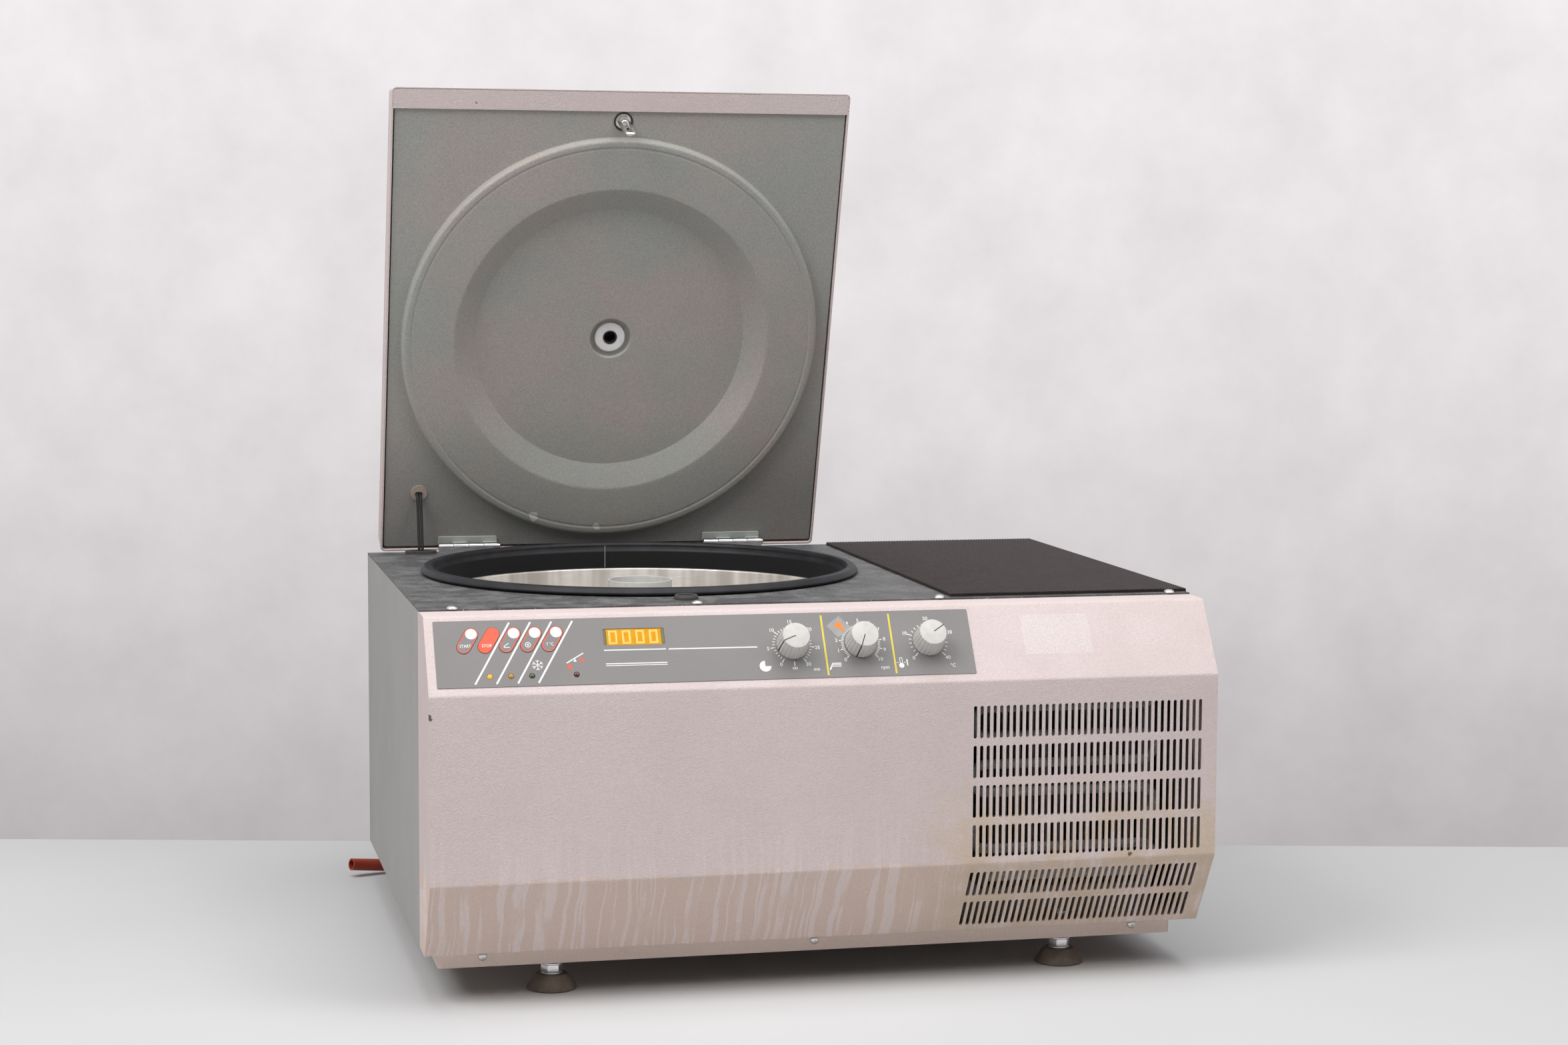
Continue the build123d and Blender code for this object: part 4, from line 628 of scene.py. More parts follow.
class Palette:
    """Every finish, built once and kept by name."""

    finishes = (
        DrippedPaint("front_paint", (0.645, 0.55, 0.545), (0.575, 0.475, 0.455), patch=0.4, chips=(
            ((0.05, 0.035, 0.03), (-364.5, -310.5, 268.0), 3.0),
            ((0.10, 0.06, 0.045), (281.0, -310.7, 120.0), 2.5),
        )),
        StippledPaint("lid_paint", (0.70, 0.60, 0.59), (0.61, 0.515, 0.49), chips=(
            ((0.85, 0.84, 0.82), (-286.0, 128.1, 820.0), 1.7),
            ((0.85, 0.84, 0.82), (-281.5, 128.1, 821.5), 1.0),
            ((0.42, 0.22, 0.10), (-265.0, 128.1, 820.0), 1.6),
            ((0.48, 0.28, 0.16), (-292.0, 128.1, 819.0), 1.2),
        )),
        StippledPaint("plinth_paint", (0.80, 0.67, 0.60), (0.70, 0.57, 0.50)),
        StippledPaint("side_paint", (0.35, 0.338, 0.335), (0.44, 0.43, 0.425), grain=1.2, depth=0.15),
        DustyPaint(
            "plate_paint", (0.064, 0.064, 0.066), (0.092, 0.092, 0.094), grain=1.2, depth=0.14,
            dust=(0.34, 0.34, 0.34),
            dust_share=0.3, specks=0.68, cloud=26.0,
        ),
        # The liner's lower part, towards the hinge, is darkened as painted shade.
        DustyPaint(
            "liner_paint", (0.345, 0.352, 0.332), (0.415, 0.355, 0.335), grain=1.2, depth=0.08, patch=0.9,
            mottle=0.10,
            dust=(0.40, 0.385, 0.37), dust_share=0.3, specks=0.82, scratches=0.07, grimy_below=520.0, chips=(
                ((0.50, 0.49, 0.47), (-189.0, 263.8, 389.5), 5.0),
                ((0.47, 0.46, 0.44), (-120.6, 268.3, 376.0), 4.0),
            ),
        ),
        StippledPaint(
            "overlay_film", (0.197, 0.189, 0.186), (0.223, 0.214, 0.21), grain=0.5, depth=0.012, rough=0.5,
        ),
        Rubber("seal_rubber", (0.016, 0.016, 0.019), (0.055, 0.055, 0.062), share=0.4, rough=0.42),
        # The seal's inner wall below the top plate is painted in shade.
        Rubber(
            "ring_rubber", (0.007, 0.007, 0.009), (0.034, 0.033, 0.040), share=0.4, rough=0.55,
            clean_below=SEAL_SHADE_LEVEL,
        ),
        Rubber("grommet_rubber", (0.045, 0.042, 0.040), (0.10, 0.098, 0.095), share=0.6, rough=0.6),
        Rubber("mat_rubber", (0.020, 0.015, 0.014), (0.058, 0.047, 0.045), rough=0.6),
        Rubber("foot_rubber", (0.125, 0.10, 0.080), (0.29, 0.24, 0.195), share=0.8, rough=0.7),
        Rubber("hose_rubber", (0.26, 0.030, 0.014), (0.31, 0.06, 0.035), share=0.6, rough=0.45),
        Rubber("cord_braid", (0.010, 0.010, 0.011), (0.03, 0.03, 0.032), share=0.4, rough=0.6),
        BandedSteel("bowl_steel"),
        Metal("bright_steel", (0.66, 0.65, 0.63), (0.45, 0.42, 0.38), 0.22),
        Metal("hinge_chrome", (0.50, 0.50, 0.50), (0.34, 0.33, 0.31), 0.26),
        Metal("zinc_plate", (0.72, 0.72, 0.73), (0.58, 0.55, 0.46), 0.34),
        Metal("fin_metal", (0.30, 0.30, 0.30), (0.14, 0.13, 0.12), 0.5),
        Plastic("black_enamel", (0.018, 0.018, 0.02), (0.035, 0.033, 0.03), 0.35),
        Plastic("knob_plastic", (0.595, 0.58, 0.56), (0.48, 0.46, 0.435), 0.48),
        Plastic("print_white", (0.80, 0.79, 0.77), (0.70, 0.69, 0.67), 0.5),
        Plastic("print_coral", (0.74, 0.10, 0.045), (0.66, 0.10, 0.05), 0.5),
        Plastic("print_yellow", (0.74, 0.60, 0.05), (0.66, 0.53, 0.05), 0.5),
        # Dark print of the knob pointers, also used as painted shade in the port bore and round the striker
        # hole.
        Plastic("dark_print_and_painted_shade", (0.02, 0.02, 0.02), (0.04, 0.04, 0.04), 0.5),
        Plastic("tape_film", (0.46, 0.46, 0.455), (0.34, 0.34, 0.335), 0.2, alpha=0.5),
        Plastic(
            "amber_window", (0.62, 0.29, 0.006), (0.52, 0.23, 0.006), 0.4, 0.12, (1.0, 0.42, 0.01),
            sheen=0.12,
        ),
        Plastic(
            "amber_digits", (0.88, 0.62, 0.20), (0.82, 0.54, 0.15), 0.5, 0.12, (1.0, 0.68, 0.22), sheen=0.1,
        ),
        Plastic("window_ends", (0.10, 0.11, 0.03), (0.07, 0.08, 0.02), 0.25),
        Plastic("lamp_amber_lit", (0.62, 0.34, 0.03), (0.45, 0.22, 0.02), 0.2, 0.30, (1.0, 0.55, 0.06)),
        Plastic("lamp_amber", (0.34, 0.18, 0.02), (0.22, 0.11, 0.015), 0.2, 0.08, (1.0, 0.45, 0.05)),
        # Near-black glass: painted shade for the dark chamber behind the port.
        Plastic("painted_shade_glass", (0.012, 0.012, 0.014), (0.02, 0.02, 0.022), 0.15),
        Plastic("lamp_green", (0.045, 0.07, 0.02), (0.03, 0.05, 0.02), 0.2),
        Plastic("lamp_red", (0.09, 0.008, 0.012), (0.06, 0.006, 0.01), 0.2),
        Plastic("white_moulding", (0.86, 0.85, 0.86), (0.74, 0.73, 0.72), 0.4),
        Plastic("frosted_plastic", (0.60, 0.59, 0.57), (0.48, 0.47, 0.44), 0.45, alpha=0.93),
        Plastic("print_orange", (0.78, 0.22, 0.02), (0.70, 0.20, 0.02), 0.5),
        StippledPaint(
            "leaf_paint", (0.46, 0.49, 0.46), (0.38, 0.40, 0.37), grain=0.8, depth=0.04, rough=0.45,
        ),
        Plastic("plug_beige", (0.42, 0.34, 0.29), (0.33, 0.26, 0.22), 0.6),
        Plastic("seal_bloom", (0.30, 0.30, 0.31), (0.20, 0.20, 0.21), 0.7),
        Plastic("condenser_black", (0.14, 0.14, 0.145), (0.46, 0.45, 0.43), 0.6),
        Plastic("tube_black", (0.22, 0.22, 0.22), (0.62, 0.61, 0.59), 0.45),
        Plastic("board_green", (0.03, 0.11, 0.05), (0.03, 0.08, 0.04), 0.5),
        Plastic("foam_buff", (0.62, 0.52, 0.34), (0.45, 0.36, 0.22), 0.8),
        Plastic("dark_hole", (0.004, 0.004, 0.004), (0.006, 0.006, 0.006), 0.9),
    )

    def __init__(self) -> None:
        """Keep the finishes by name."""
        self.known = {finish.name: finish for finish in self.finishes}
        self.made: dict[str, bpy.types.Material] = {}

    def get(self, name: str) -> bpy.types.Material:
        """Return a finish, built on its first use.

        Args:
            name: Name of the finish.

        Returns:
            The material.
        """
        if name not in self.made:
            self.made[name] = self.known[name].build()
        return self.made[name]


LAYOUT = Layout()
PALETTE = Palette()


class GeometryTree(NodeTree):
    """A Geometry Nodes tree under construction, which repeats an item."""

    def __init__(self, name: str, sizes: dict[str, object]) -> None:
        """Start a tree.

        Args:
            name: Name of the tree.
            sizes: Its inputs beside the item, and their default values.
        """
        super().__init__(bpy.data.node_groups.new(name, "GeometryNodeTree"))
        self.tree.is_modifier = True
        face = self.tree.interface
        face.new_socket("Geometry", in_out="INPUT", socket_type="NodeSocketGeometry")
        face.new_socket("Geometry", in_out="OUTPUT", socket_type="NodeSocketGeometry")
        face.new_socket("Item", in_out="INPUT", socket_type="NodeSocketObject")
        for key, value in sizes.items():
            kind = "Int" if isinstance(value, int) else "Float"
            face.new_socket(key, in_out="INPUT", socket_type=f"NodeSocket{kind}").default_value = value
        self.start = self.node("NodeGroupInput").outputs
        self.end = self.node("NodeGroupOutput").inputs

    def vector(self, x: object, y: object, z: object = 0.0) -> Socket:
        """Return a vector of three values or sockets."""
        return self.node("ShaderNodeCombineXYZ", {0: x, 1: y, 2: z}).outputs[0]

    def scatter(self, points: Socket, finish: str, **more: Socket) -> None:
        """End the tree with the item on every point.

        Args:
            points: The points.
            finish: Name of the finish that the items get.
            more: Other inputs of the instances, such as their Rotation.
        """
        item = self.node("GeometryNodeObjectInfo", {"Object": self.start["Item"]}).outputs["Geometry"]
        placed = self.node("GeometryNodeInstanceOnPoints", {"Points": points, "Instance": item, **more})
        solid = self.node("GeometryNodeRealizeInstances", {"Geometry": placed.outputs[0]})
        inputs = {"Geometry": solid.outputs[0], "Material": PALETTE.get(finish)}
        self.tree.links.new(self.node("GeometryNodeSetMaterial", inputs).outputs[0], self.end[0])

    def run(self, item: Mesh, values: dict[str, object]) -> Mesh:
        """Evaluate the tree.

        Args:
            item: The mesh that it repeats.
            values: Its other inputs by name.

        Returns:
            The plain mesh.
        """
        given = {"Item": linked("item", item), **values}
        source = linked("made", bpy.data.meshes.new("empty"))
        modifier = source.modifiers.new("made", "NODES")
        modifier.node_group = self.tree
        for socket in self.tree.interface.items_tree:
            if socket.item_type == "SOCKET" and socket.in_out == "INPUT" and socket.name in given:
                modifier[socket.identifier] = given[socket.name]
        graph = bpy.context.evaluated_depsgraph_get()
        mesh = bpy.data.meshes.new_from_object(source.evaluated_get(graph))
        source.modifiers.remove(modifier)
        bpy.data.objects.remove(source)
        bpy.data.objects.remove(given["Item"])
        return mesh


def linked(name: str, data: bpy.types.ID | None) -> bpy.types.Object:
    """Return a new object in the scene.

    Args:
        name: Name of the object.
        data: What it shows.

    Returns:
        The object.
    """
    made = bpy.data.objects.new(name, data)
    bpy.context.scene.collection.objects.link(made)
    return made


BLOCK_FACES = [(0, 1, 2, 3), (7, 6, 5, 4), (0, 4, 5, 1), (1, 5, 6, 2), (2, 6, 7, 3), (3, 7, 4, 0)]


def mesh_of(points: list, faces: list) -> Mesh:
    """Return a mesh of points and faces.

    Args:
        points: The points.
        faces: The faces, as numbers of points.

    Returns:
        The mesh.
    """
    mesh = bpy.data.meshes.new("made")
    mesh.from_pydata([tuple(point) for point in points], [], faces)
    return mesh


def from_bmesh(work: bmesh.types.BMesh, outward: bool = False) -> Mesh:
    """Return a mesh of a bmesh, which is freed.

    Args:
        work: The bmesh.
        outward: Whether its normals are turned outwards first.

    Returns:
        The mesh.
    """
    if outward:
        bmesh.ops.recalc_face_normals(work, faces=work.faces)
    mesh = bpy.data.meshes.new("made")
    work.to_mesh(mesh)
    work.free()
    return mesh


def joined(meshes: list[Mesh], merge: float = 0.0, outward: bool = False) -> Mesh:
    """Return several meshes as one.

    Args:
        meshes: The meshes.
        merge: Distance that doubles are merged within, or 0.
        outward: Whether the normals are turned outwards.

    Returns:
        The mesh.
    """
    work = bmesh.new()
    for mesh in meshes:
        work.from_mesh(mesh)
    if merge:
        bmesh.ops.remove_doubles(work, verts=work.verts, dist=merge)
    return from_bmesh(work, outward)


def band(work: bmesh.types.BMesh, low: list, high: list) -> None:
    """Close the strip between two rings of vertices.

    Args:
        work: The bmesh that gets the faces.
        low: One ring.
        high: The other ring.
    """
    for index in range(len(low)):
        following = (index + 1) % len(low)
        work.faces.new((low[index], low[following], high[following], high[index]))


def plain_mesh(source: bpy.types.Object) -> Mesh:
    """Return the evaluated mesh of an object, which is removed.

    Args:
        source: The object.

    Returns:
        The mesh.
    """
    graph = bpy.context.evaluated_depsgraph_get()
    mesh = bpy.data.meshes.new_from_object(source.evaluated_get(graph))
    bpy.data.objects.remove(source)
    return mesh


def rounded(corners: Corners, steps: int = 4) -> Outline:
    """Return an outline with its corners rounded.

    Args:
        corners: Points as x, y and corner radius.
        steps: Segments of each rounding.

    Returns:
        The outline's points.
    """
    outline = []
    count = len(corners)
    for index, (x, y, radius) in enumerate(corners):
        here = Vector((x, y))
        before = Vector(corners[index - 1][:2]) - here
        after = Vector(corners[(index + 1) % count][:2]) - here
        if radius <= 0 or before.length < 1e-9 or after.length < 1e-9:
            outline.append((x, y))
            continue
        half = before.angle(after) / 2
        reach = min(radius / math.tan(half), 0.49 * before.length, 0.49 * after.length)
        size = reach * math.tan(half)
        start = here + before.normalized() * reach
        end = here + after.normalized() * reach
        centre = here + (before.normalized() + after.normalized()).normalized() * (size / math.sin(half))
        first = start - centre
        turn = first.angle_signed(end - centre)
        for step in range(steps + 1):
            angle = -turn * step / steps
            spun = Vector((
                first.x * math.cos(angle) - first.y * math.sin(angle),
                first.x * math.sin(angle) + first.y * math.cos(angle),
            ))
            outline.append(tuple(centre + spun))
    return outline


def revolved(profile: Outline, segments: int = 160, closed: bool = True) -> Mesh:
    """Return a mesh turned about the local out axis.

    Args:
        profile: Points as radius and height.
        segments: Steps round the axis.
        closed: Whether the last point joins the first.

    Returns:
        The mesh, its poles closed.
    """
    work = bmesh.new()
    rings = []
    for radius, height in profile:
        if radius < 1e-6:
            rings.append([work.verts.new((0.0, 0.0, height))])
            continue
        turns = [2 * math.pi * index / segments for index in range(segments)]
        rings.append([work.verts.new((radius * math.cos(a), radius * math.sin(a), height)) for a in turns])
    pairs = list(zip(rings, rings[1:]))
    if closed:
        pairs.append((rings[-1], rings[0]))
    for low, high in pairs:
        if len(low) == len(high) > 1:
            band(work, low, high)
        elif len(low) != len(high):
            pole, ring = (low[0], high) if len(low) == 1 else (high[0], low)
            for index in range(segments):
                work.faces.new((pole, ring[(index + 1) % segments], ring[index]))
    return from_bmesh(work, outward=True)


def prism(outline: Outline, low: float, high: float) -> Mesh:
    """Return an outline extruded between two heights.

    Args:
        outline: The outline.
        low: The lower level.
        high: The upper level.

    Returns:
        The mesh.
    """
    work = bmesh.new()
    face = work.faces.new([work.verts.new((x, y, low)) for x, y in outline])
    made = bmesh.ops.extrude_face_region(work, geom=[face])["geom"]
    raised = [item for item in made if isinstance(item, bmesh.types.BMVert)]
    bmesh.ops.translate(work, verts=raised, vec=(0, 0, high - low))
    return from_bmesh(work, outward=True)


def box_outline(width: float, height: float, radius: float = 0.0) -> Outline:
    """Return a centred rectangle, its corners rounded."""
    x, y = width / 2, height / 2
    return rounded([(-x, -y, radius), (x, -y, radius), (x, y, radius), (-x, y, radius)])


def round_outline(radius: float, count: int = 32, x: float = 0.0, y: float = 0.0) -> Outline:
    """Return a circle as points."""
    turns = [2 * math.pi * index / count for index in range(count)]
    return [(x + radius * math.cos(a), y + radius * math.sin(a)) for a in turns]


def hexagon(across: float) -> Outline:
    """Return a hexagon of a size across its flats."""
    return round_outline(across / math.sqrt(3), 6)


def capsule(length: float, width: float, slant: float, steps: int = 10) -> Outline:
    """Return a slanting capsule round the origin, slant in degrees from upright to the right.

    Args:
        length: Length over its round ends.
        width: Its width.
        slant: Its slant.
        steps: Steps of each round end.

    Returns:
        The points.
    """
    straight = length / 2 - width / 2
    points = []
    for end, start in ((1, 0.0), (-1, math.pi)):
        for step in range(steps + 1):
            angle = start + math.pi * step / steps
            points.append((width / 2 * math.cos(angle), end * straight + width / 2 * math.sin(angle)))
    lean = math.radians(-slant)
    return [
        (x * math.cos(lean) - y * math.sin(lean), x * math.sin(lean) + y * math.cos(lean)) for x, y in points
    ]


def filled(outlines: list[Outline], thickness: float = 0.0) -> Mesh:
    """Return a flat face with holes, or a plate, about level zero.

    Args:
        outlines: The outer outline and then its holes.
        thickness: Thickness of the plate, or 0 for one open face.

    Returns:
        The mesh.
    """
    curve = bpy.data.curves.new("outline", "CURVE")
    curve.dimensions = "2D"
    curve.fill_mode = "BOTH" if thickness else "FRONT"
    curve.extrude = thickness / 2
    for outline in outlines:
        spline = curve.splines.new("POLY")
        spline.points.add(len(outline) - 1)
        for point, (x, y) in zip(spline.points, outline):
            point.co = (x, y, 0.0, 1.0)
        spline.use_cyclic_u = True
    return plain_mesh(linked("outline", curve))


def plate(outlines: list[Outline], low: float, high: float) -> Mesh:
    """Return a closed plate with holes between two levels.

    Args:
        outlines: The outer outline and then its holes.
        low: The lower level.
        high: The upper level.

    Returns:
        The mesh.
    """
    mesh = filled(outlines, high - low)
    mesh.transform(Matrix.Translation((0, 0, (high + low) / 2)))
    return joined([mesh], 1e-4, outward=True)


def lettering(text: str, size: float, height: float = 0.05, width: float = 1.0) -> Mesh:
    """Return centred lettering as a thin mesh, size in millimetres and width as a share of the usual.

    Args:
        text: The words.
        size: Size of the letters.
        height: Thickness of the letters.
        width: Share of the usual width.

    Returns:
        The mesh.
    """
    curve = bpy.data.curves.new("text", "FONT")
    curve.body = text
    curve.size = size
    curve.align_x = "CENTER"
    curve.align_y = "CENTER"
    curve.extrude = height / 2
    curve.offset = 0.010 * size
    curve.resolution_u = 3
    mesh = plain_mesh(linked("text", curve))
    mesh.transform(Matrix.Translation((0, 0, height / 2)) @ Matrix.Diagonal((width, 1.0, 1.0, 1.0)))
    return mesh


def shifted(mesh: Mesh, x: float, y: float, z: float = 0.0, turn: float = 0.0) -> Mesh:
    """Return a mesh turned clockwise in degrees and then moved, in its local millimetres."""
    mesh.transform(Matrix.Translation((x, y, z)) @ Matrix.Rotation(math.radians(-turn), 4, "Z"))
    return mesh


def bar(start: tuple[float, float], end: tuple[float, float], width: float, height: float = 0.05) -> Mesh:
    """Return a thin straight line of print between two points.

    Args:
        start: Its first end.
        end: Its other end.
        width: Its width.
        height: Its thickness.

    Returns:
        The mesh.
    """
    first, last = Vector(start), Vector(end)
    side = Vector((-(last - first).y, (last - first).x)).normalized() * width / 2
    return prism(
        [tuple(first - side), tuple(last - side), tuple(last + side), tuple(first + side)], 0.0, height,
    )


def piece(
    name: str, mesh: Mesh, place: Place, finish: str, body: Body | str,
    replaces: tuple[str, ...] = (), bevel: float = 0.0, smooth: float = 35.0,
) -> bpy.types.Object:
    """Place a mesh as one piece of the object.

    Args:
        name: Name of the piece.
        mesh: Its mesh in local millimetres.
        place: The frame that it is placed by.
        finish: Name of its finish.
        body: The body that it rides on.
        replaces: CAD nodes that it stands for.
        bevel: Width of softened edges in millimetres, or 0.
        smooth: Edges sharper than this angle in degrees stay crisp.

    Returns:
        The object.
    """
    mesh.transform(place.matrix())
    mesh.name = name
    made = linked(name, mesh)
    mesh.materials.clear()
    mesh.materials.append(PALETTE.get(finish))
    for polygon in mesh.polygons:
        polygon.material_index = 0
        polygon.use_smooth = True
    mesh.set_sharp_from_angle(angle=math.radians(smooth))
    if bevel:
        modifier = made.modifiers.new("soft_edges", "BEVEL")
        modifier.width = bevel * MM
        modifier.segments = 3
        modifier.limit_method = "ANGLE"
        modifier.angle_limit = math.radians(40.0)
        modifier.harden_normals = True
    body_name = body.value if isinstance(body, Body) else body
    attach(made, body_name)
    if replaces:
        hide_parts(*replaces)
    LOG.info("%s on %s", name, body_name)
    return made


def dress(names: list[str], finish: str) -> None:
    """Give CAD nodes that stay visible their finish.

    Args:
        names: The nodes.
        finish: Name of the finish.
    """
    for name in names:
        node = frame["nodes"][name]
        if not node.material_slots:
            node.data.materials.append(PALETTE.get(finish))
        for index in range(len(node.material_slots)):
            node.material_slots[index].material = PALETTE.get(finish)


SHARED = Place(Vector((0, 0, 0)), ACROSS, INWARD, UPWARD)
LOOSE = Place(Vector((0, 0, 0)), ACROSS / MM, INWARD / MM, UPWARD / MM)


@dataclass
class Studio:
    """Camera, table, backdrop and soft light."""

    eye: tuple[float, float, float] = (-644.5, -2855.65, 681.3)
    yaw: float = 13.18
    pitch: float = 5.41
    roll: float = 0.30
    lens: float = 67.8
    table_end: float = 3317.0
    table_reach: float = 9000.0
    ambient: float = 0.13
    cloth_low: Colour = (0.49, 0.465, 0.47)
    cloth_middle: Colour = (0.755, 0.718, 0.73)
    cloth_high: Colour = (0.875, 0.84, 0.85)
    lamps: tuple[tuple[str, Colour, float, float, Colour], ...] = (
        ("key_box", (-2.5, -1.5, 3.3), 0.25, 116.0, (1.0, 0.99, 0.975)),
        ("fill_box", (1.9, -1.9, 3.0), 0.3, 38.0, (1.0, 0.99, 0.985)),
        ("top_box", (0.1, -0.7, 3.1), 0.3, 58.0, (1.0, 1.0, 1.0)),
    )
    lamp_size: float = 2.2

    def camera(self) -> None:
        """Place the camera where the photographer stood."""
        yaw, pitch, roll = (math.radians(angle) for angle in (self.yaw, self.pitch, self.roll))
        ahead = Vector((math.sin(yaw) * math.cos(pitch), math.cos(yaw) * math.cos(pitch), -math.sin(pitch)))
        level = Vector((math.cos(yaw), -math.sin(yaw), 0.0))
        upright = level.cross(ahead)
        right = level * math.cos(roll) + upright * math.sin(roll)
        up = upright * math.cos(roll) - level * math.sin(roll)
        data = bpy.data.cameras.new("camera")
        data.lens = self.lens
        data.sensor_width = 36.0
        data.clip_end = 100.0
        made = linked("camera", data)
        columns = Matrix((right, up, -ahead)).transposed()
        made.matrix_world = Matrix.Translation(Vector(self.eye) * MM) @ columns.to_4x4()
        bpy.context.scene.camera = made

    def table(self) -> None:
        """Lay the pale table, which ends square to the view in front of the backdrop."""
        wide, end = self.table_reach, self.table_end
        mesh = prism([(-wide, -wide), (wide, -wide), (wide, end), (-wide, end)], -30.0, -0.05)
        yaw = math.radians(self.yaw)
        ahead, aside = Vector((math.sin(yaw), math.cos(yaw), 0.0)), Vector(
            (math.cos(yaw), -math.sin(yaw), 0.0)
        )
        foot = Vector((self.eye[0], self.eye[1], 0.0)) * MM
        mesh.transform(Place(foot, aside, ahead, UPWARD).matrix())
        made = linked("table_top", mesh)
        shader = Shader("table_laminate")
        cloud = shader.span(shader.noise(300.0, 3.0), 0.3, 0.7, 0.0, 0.4)
        shader.set("Base Color", shader.mix(cloud, (0.60, 0.604, 0.612), (0.57, 0.574, 0.582)))
        shader.set("Roughness", 0.6)
        shader.set("Specular IOR Level", 0.12)
        mesh.materials.append(shader.material)

    def world(self) -> None:
        """Set the surroundings: soft grey light, and the backdrop's tone where they are seen."""
        world = bpy.data.worlds.new("studio")
        bpy.context.scene.world = world
        world.use_nodes = True
        tree, nodes = NodeTree(world.node_tree), world.node_tree.nodes
        ambient = nodes["Background"]
        tree.feed(ambient.inputs["Color"], (0.97, 0.975, 1.0))
        tree.feed(ambient.inputs["Strength"], self.ambient)
        around = tree.node("ShaderNodeTexCoord").outputs["Generated"]
        height = tree.node("ShaderNodeSeparateXYZ", {0: around}).outputs["Z"]
        level = tree.node("ShaderNodeMapRange", {"Value": height, "From Min": -0.2, "From Max": 0.08})
        tone = tree.node("ShaderNodeValToRGB", {0: level.outputs["Result"]})
        ramp = tone.color_ramp.elements
        ramp[0].color, ramp[1].color = (*self.cloth_low, 1.0), (*self.cloth_high, 1.0)
        ramp.new(0.5).color = (*self.cloth_middle, 1.0)
        inputs = {"Vector": around, "Scale": 28.0, "Detail": 6.0, "Roughness": 0.62}
        cloth = tree.node("ShaderNodeTexNoise", inputs).outputs["Fac"]
        inputs = {"Value": cloth, "From Min": 0.3, "From Max": 0.7, "To Min": 0.93, "To Max": 1.05}
        mottle = tree.node("ShaderNodeMapRange", inputs).outputs["Result"]
        seen = tree.node("ShaderNodeBackground", {"Color": tone.outputs["Color"], "Strength": mottle})
        rays = tree.node("ShaderNodeLightPath").outputs
        share = tree.math("MAXIMUM", rays["Is Camera Ray"], rays["Is Glossy Ray"])
        share = tree.math("MAXIMUM", share, rays["Is Transmission Ray"])
        blend = tree.node("ShaderNodeMixShader", {0: share, 1: ambient.outputs[0], 2: seen.outputs[0]})
        tree.feed(nodes["World Output"].inputs["Surface"], blend.outputs[0])

    def lamp(self, name: str, at: Colour, aim: float, power: float, tint: Colour) -> None:
        """Hang one soft box.

        Args:
            name: Name of the lamp.
            at: Its place in metres.
            aim: Height that it faces over the origin, in metres.
            power: Its power in watts.
            tint: Its colour.
        """
        data = bpy.data.lights.new(name, "AREA")
        data.shape = "SQUARE"
        data.size = self.lamp_size
        data.energy = power
        data.color = tint
        made = linked(name, data)
        made.location = at
        made.rotation_euler = (Vector((0.0, 0.0, aim)) - Vector(at)).to_track_quat("-Z", "Y").to_euler()

    def build(self) -> None:
        """Build the camera, the stage and the lamps."""
        self.camera()
        self.table()
        self.world()
        for lamp in self.lamps:
            self.lamp(*lamp)
        bpy.context.scene.view_settings.view_transform = "Standard"


@dataclass
class DrainHose:
    """Red brown hose from the elbow down to the table and out past the left side."""

    radius: float = 6.4
    bore: float = 4.6
    drain_x: float = -215.0
    reach: float = 26.0
    drop: float = 118.0
    sides: int = 28

    def route(self) -> list[Vector]:
        """Return the points of the route in metres.

        Returns:
            The points.
        """
        back = LAYOUT.rear + self.reach
        floor = self.radius + 0.1
        return [Vector(point) * MM for point in (
            (self.drain_x, back, self.drop),
            (self.drain_x, back, self.drop - 32.0),
            (self.drain_x - 9.0, back + 2.0, self.drop - 66.0),
            (self.drain_x - 27.0, back + 6.0, floor + 20.0),
            (self.drain_x - 56.0, back + 10.5, floor + 4.0),
            (self.drain_x - 92.0, back + 14.0, floor),
            (self.drain_x - 133.0, back + 13.0, floor + 2.5),
            (self.drain_x - 168.0, back - 3.0, floor + 8.0),
        )]

    def build(self) -> None:
        """Make the hose as a walled tube with an open end."""
        line = smooth_line(self.route())
        mesh = tube(line, [(self.radius, 0.0)], self.sides, self.bore)
        made = piece(
            "drain_hose_tube", mesh, LOOSE, "hose_rubber", Body.CABINET, ("drain_hose",), smooth=50.0,
        )


def smooth_line(points: list[Vector]) -> list[Vector]:
    """Return the points of the smooth spline that a route steers, in metres.

    Args:
        points: The points of the route.

    Returns:
        The points.
    """
    curve = bpy.data.curves.new("route", "CURVE")
    curve.dimensions = "3D"
    curve.resolution_u = 12
    spline = curve.splines.new("NURBS")
    spline.points.add(len(points) - 1)
    for target, point in zip(spline.points, points):
        target.co = (*point, 1.0)
    spline.order_u = 3
    spline.use_endpoint_u = True
    mesh = plain_mesh(linked("route", curve))
    return [vertex.co.copy() for vertex in mesh.vertices]


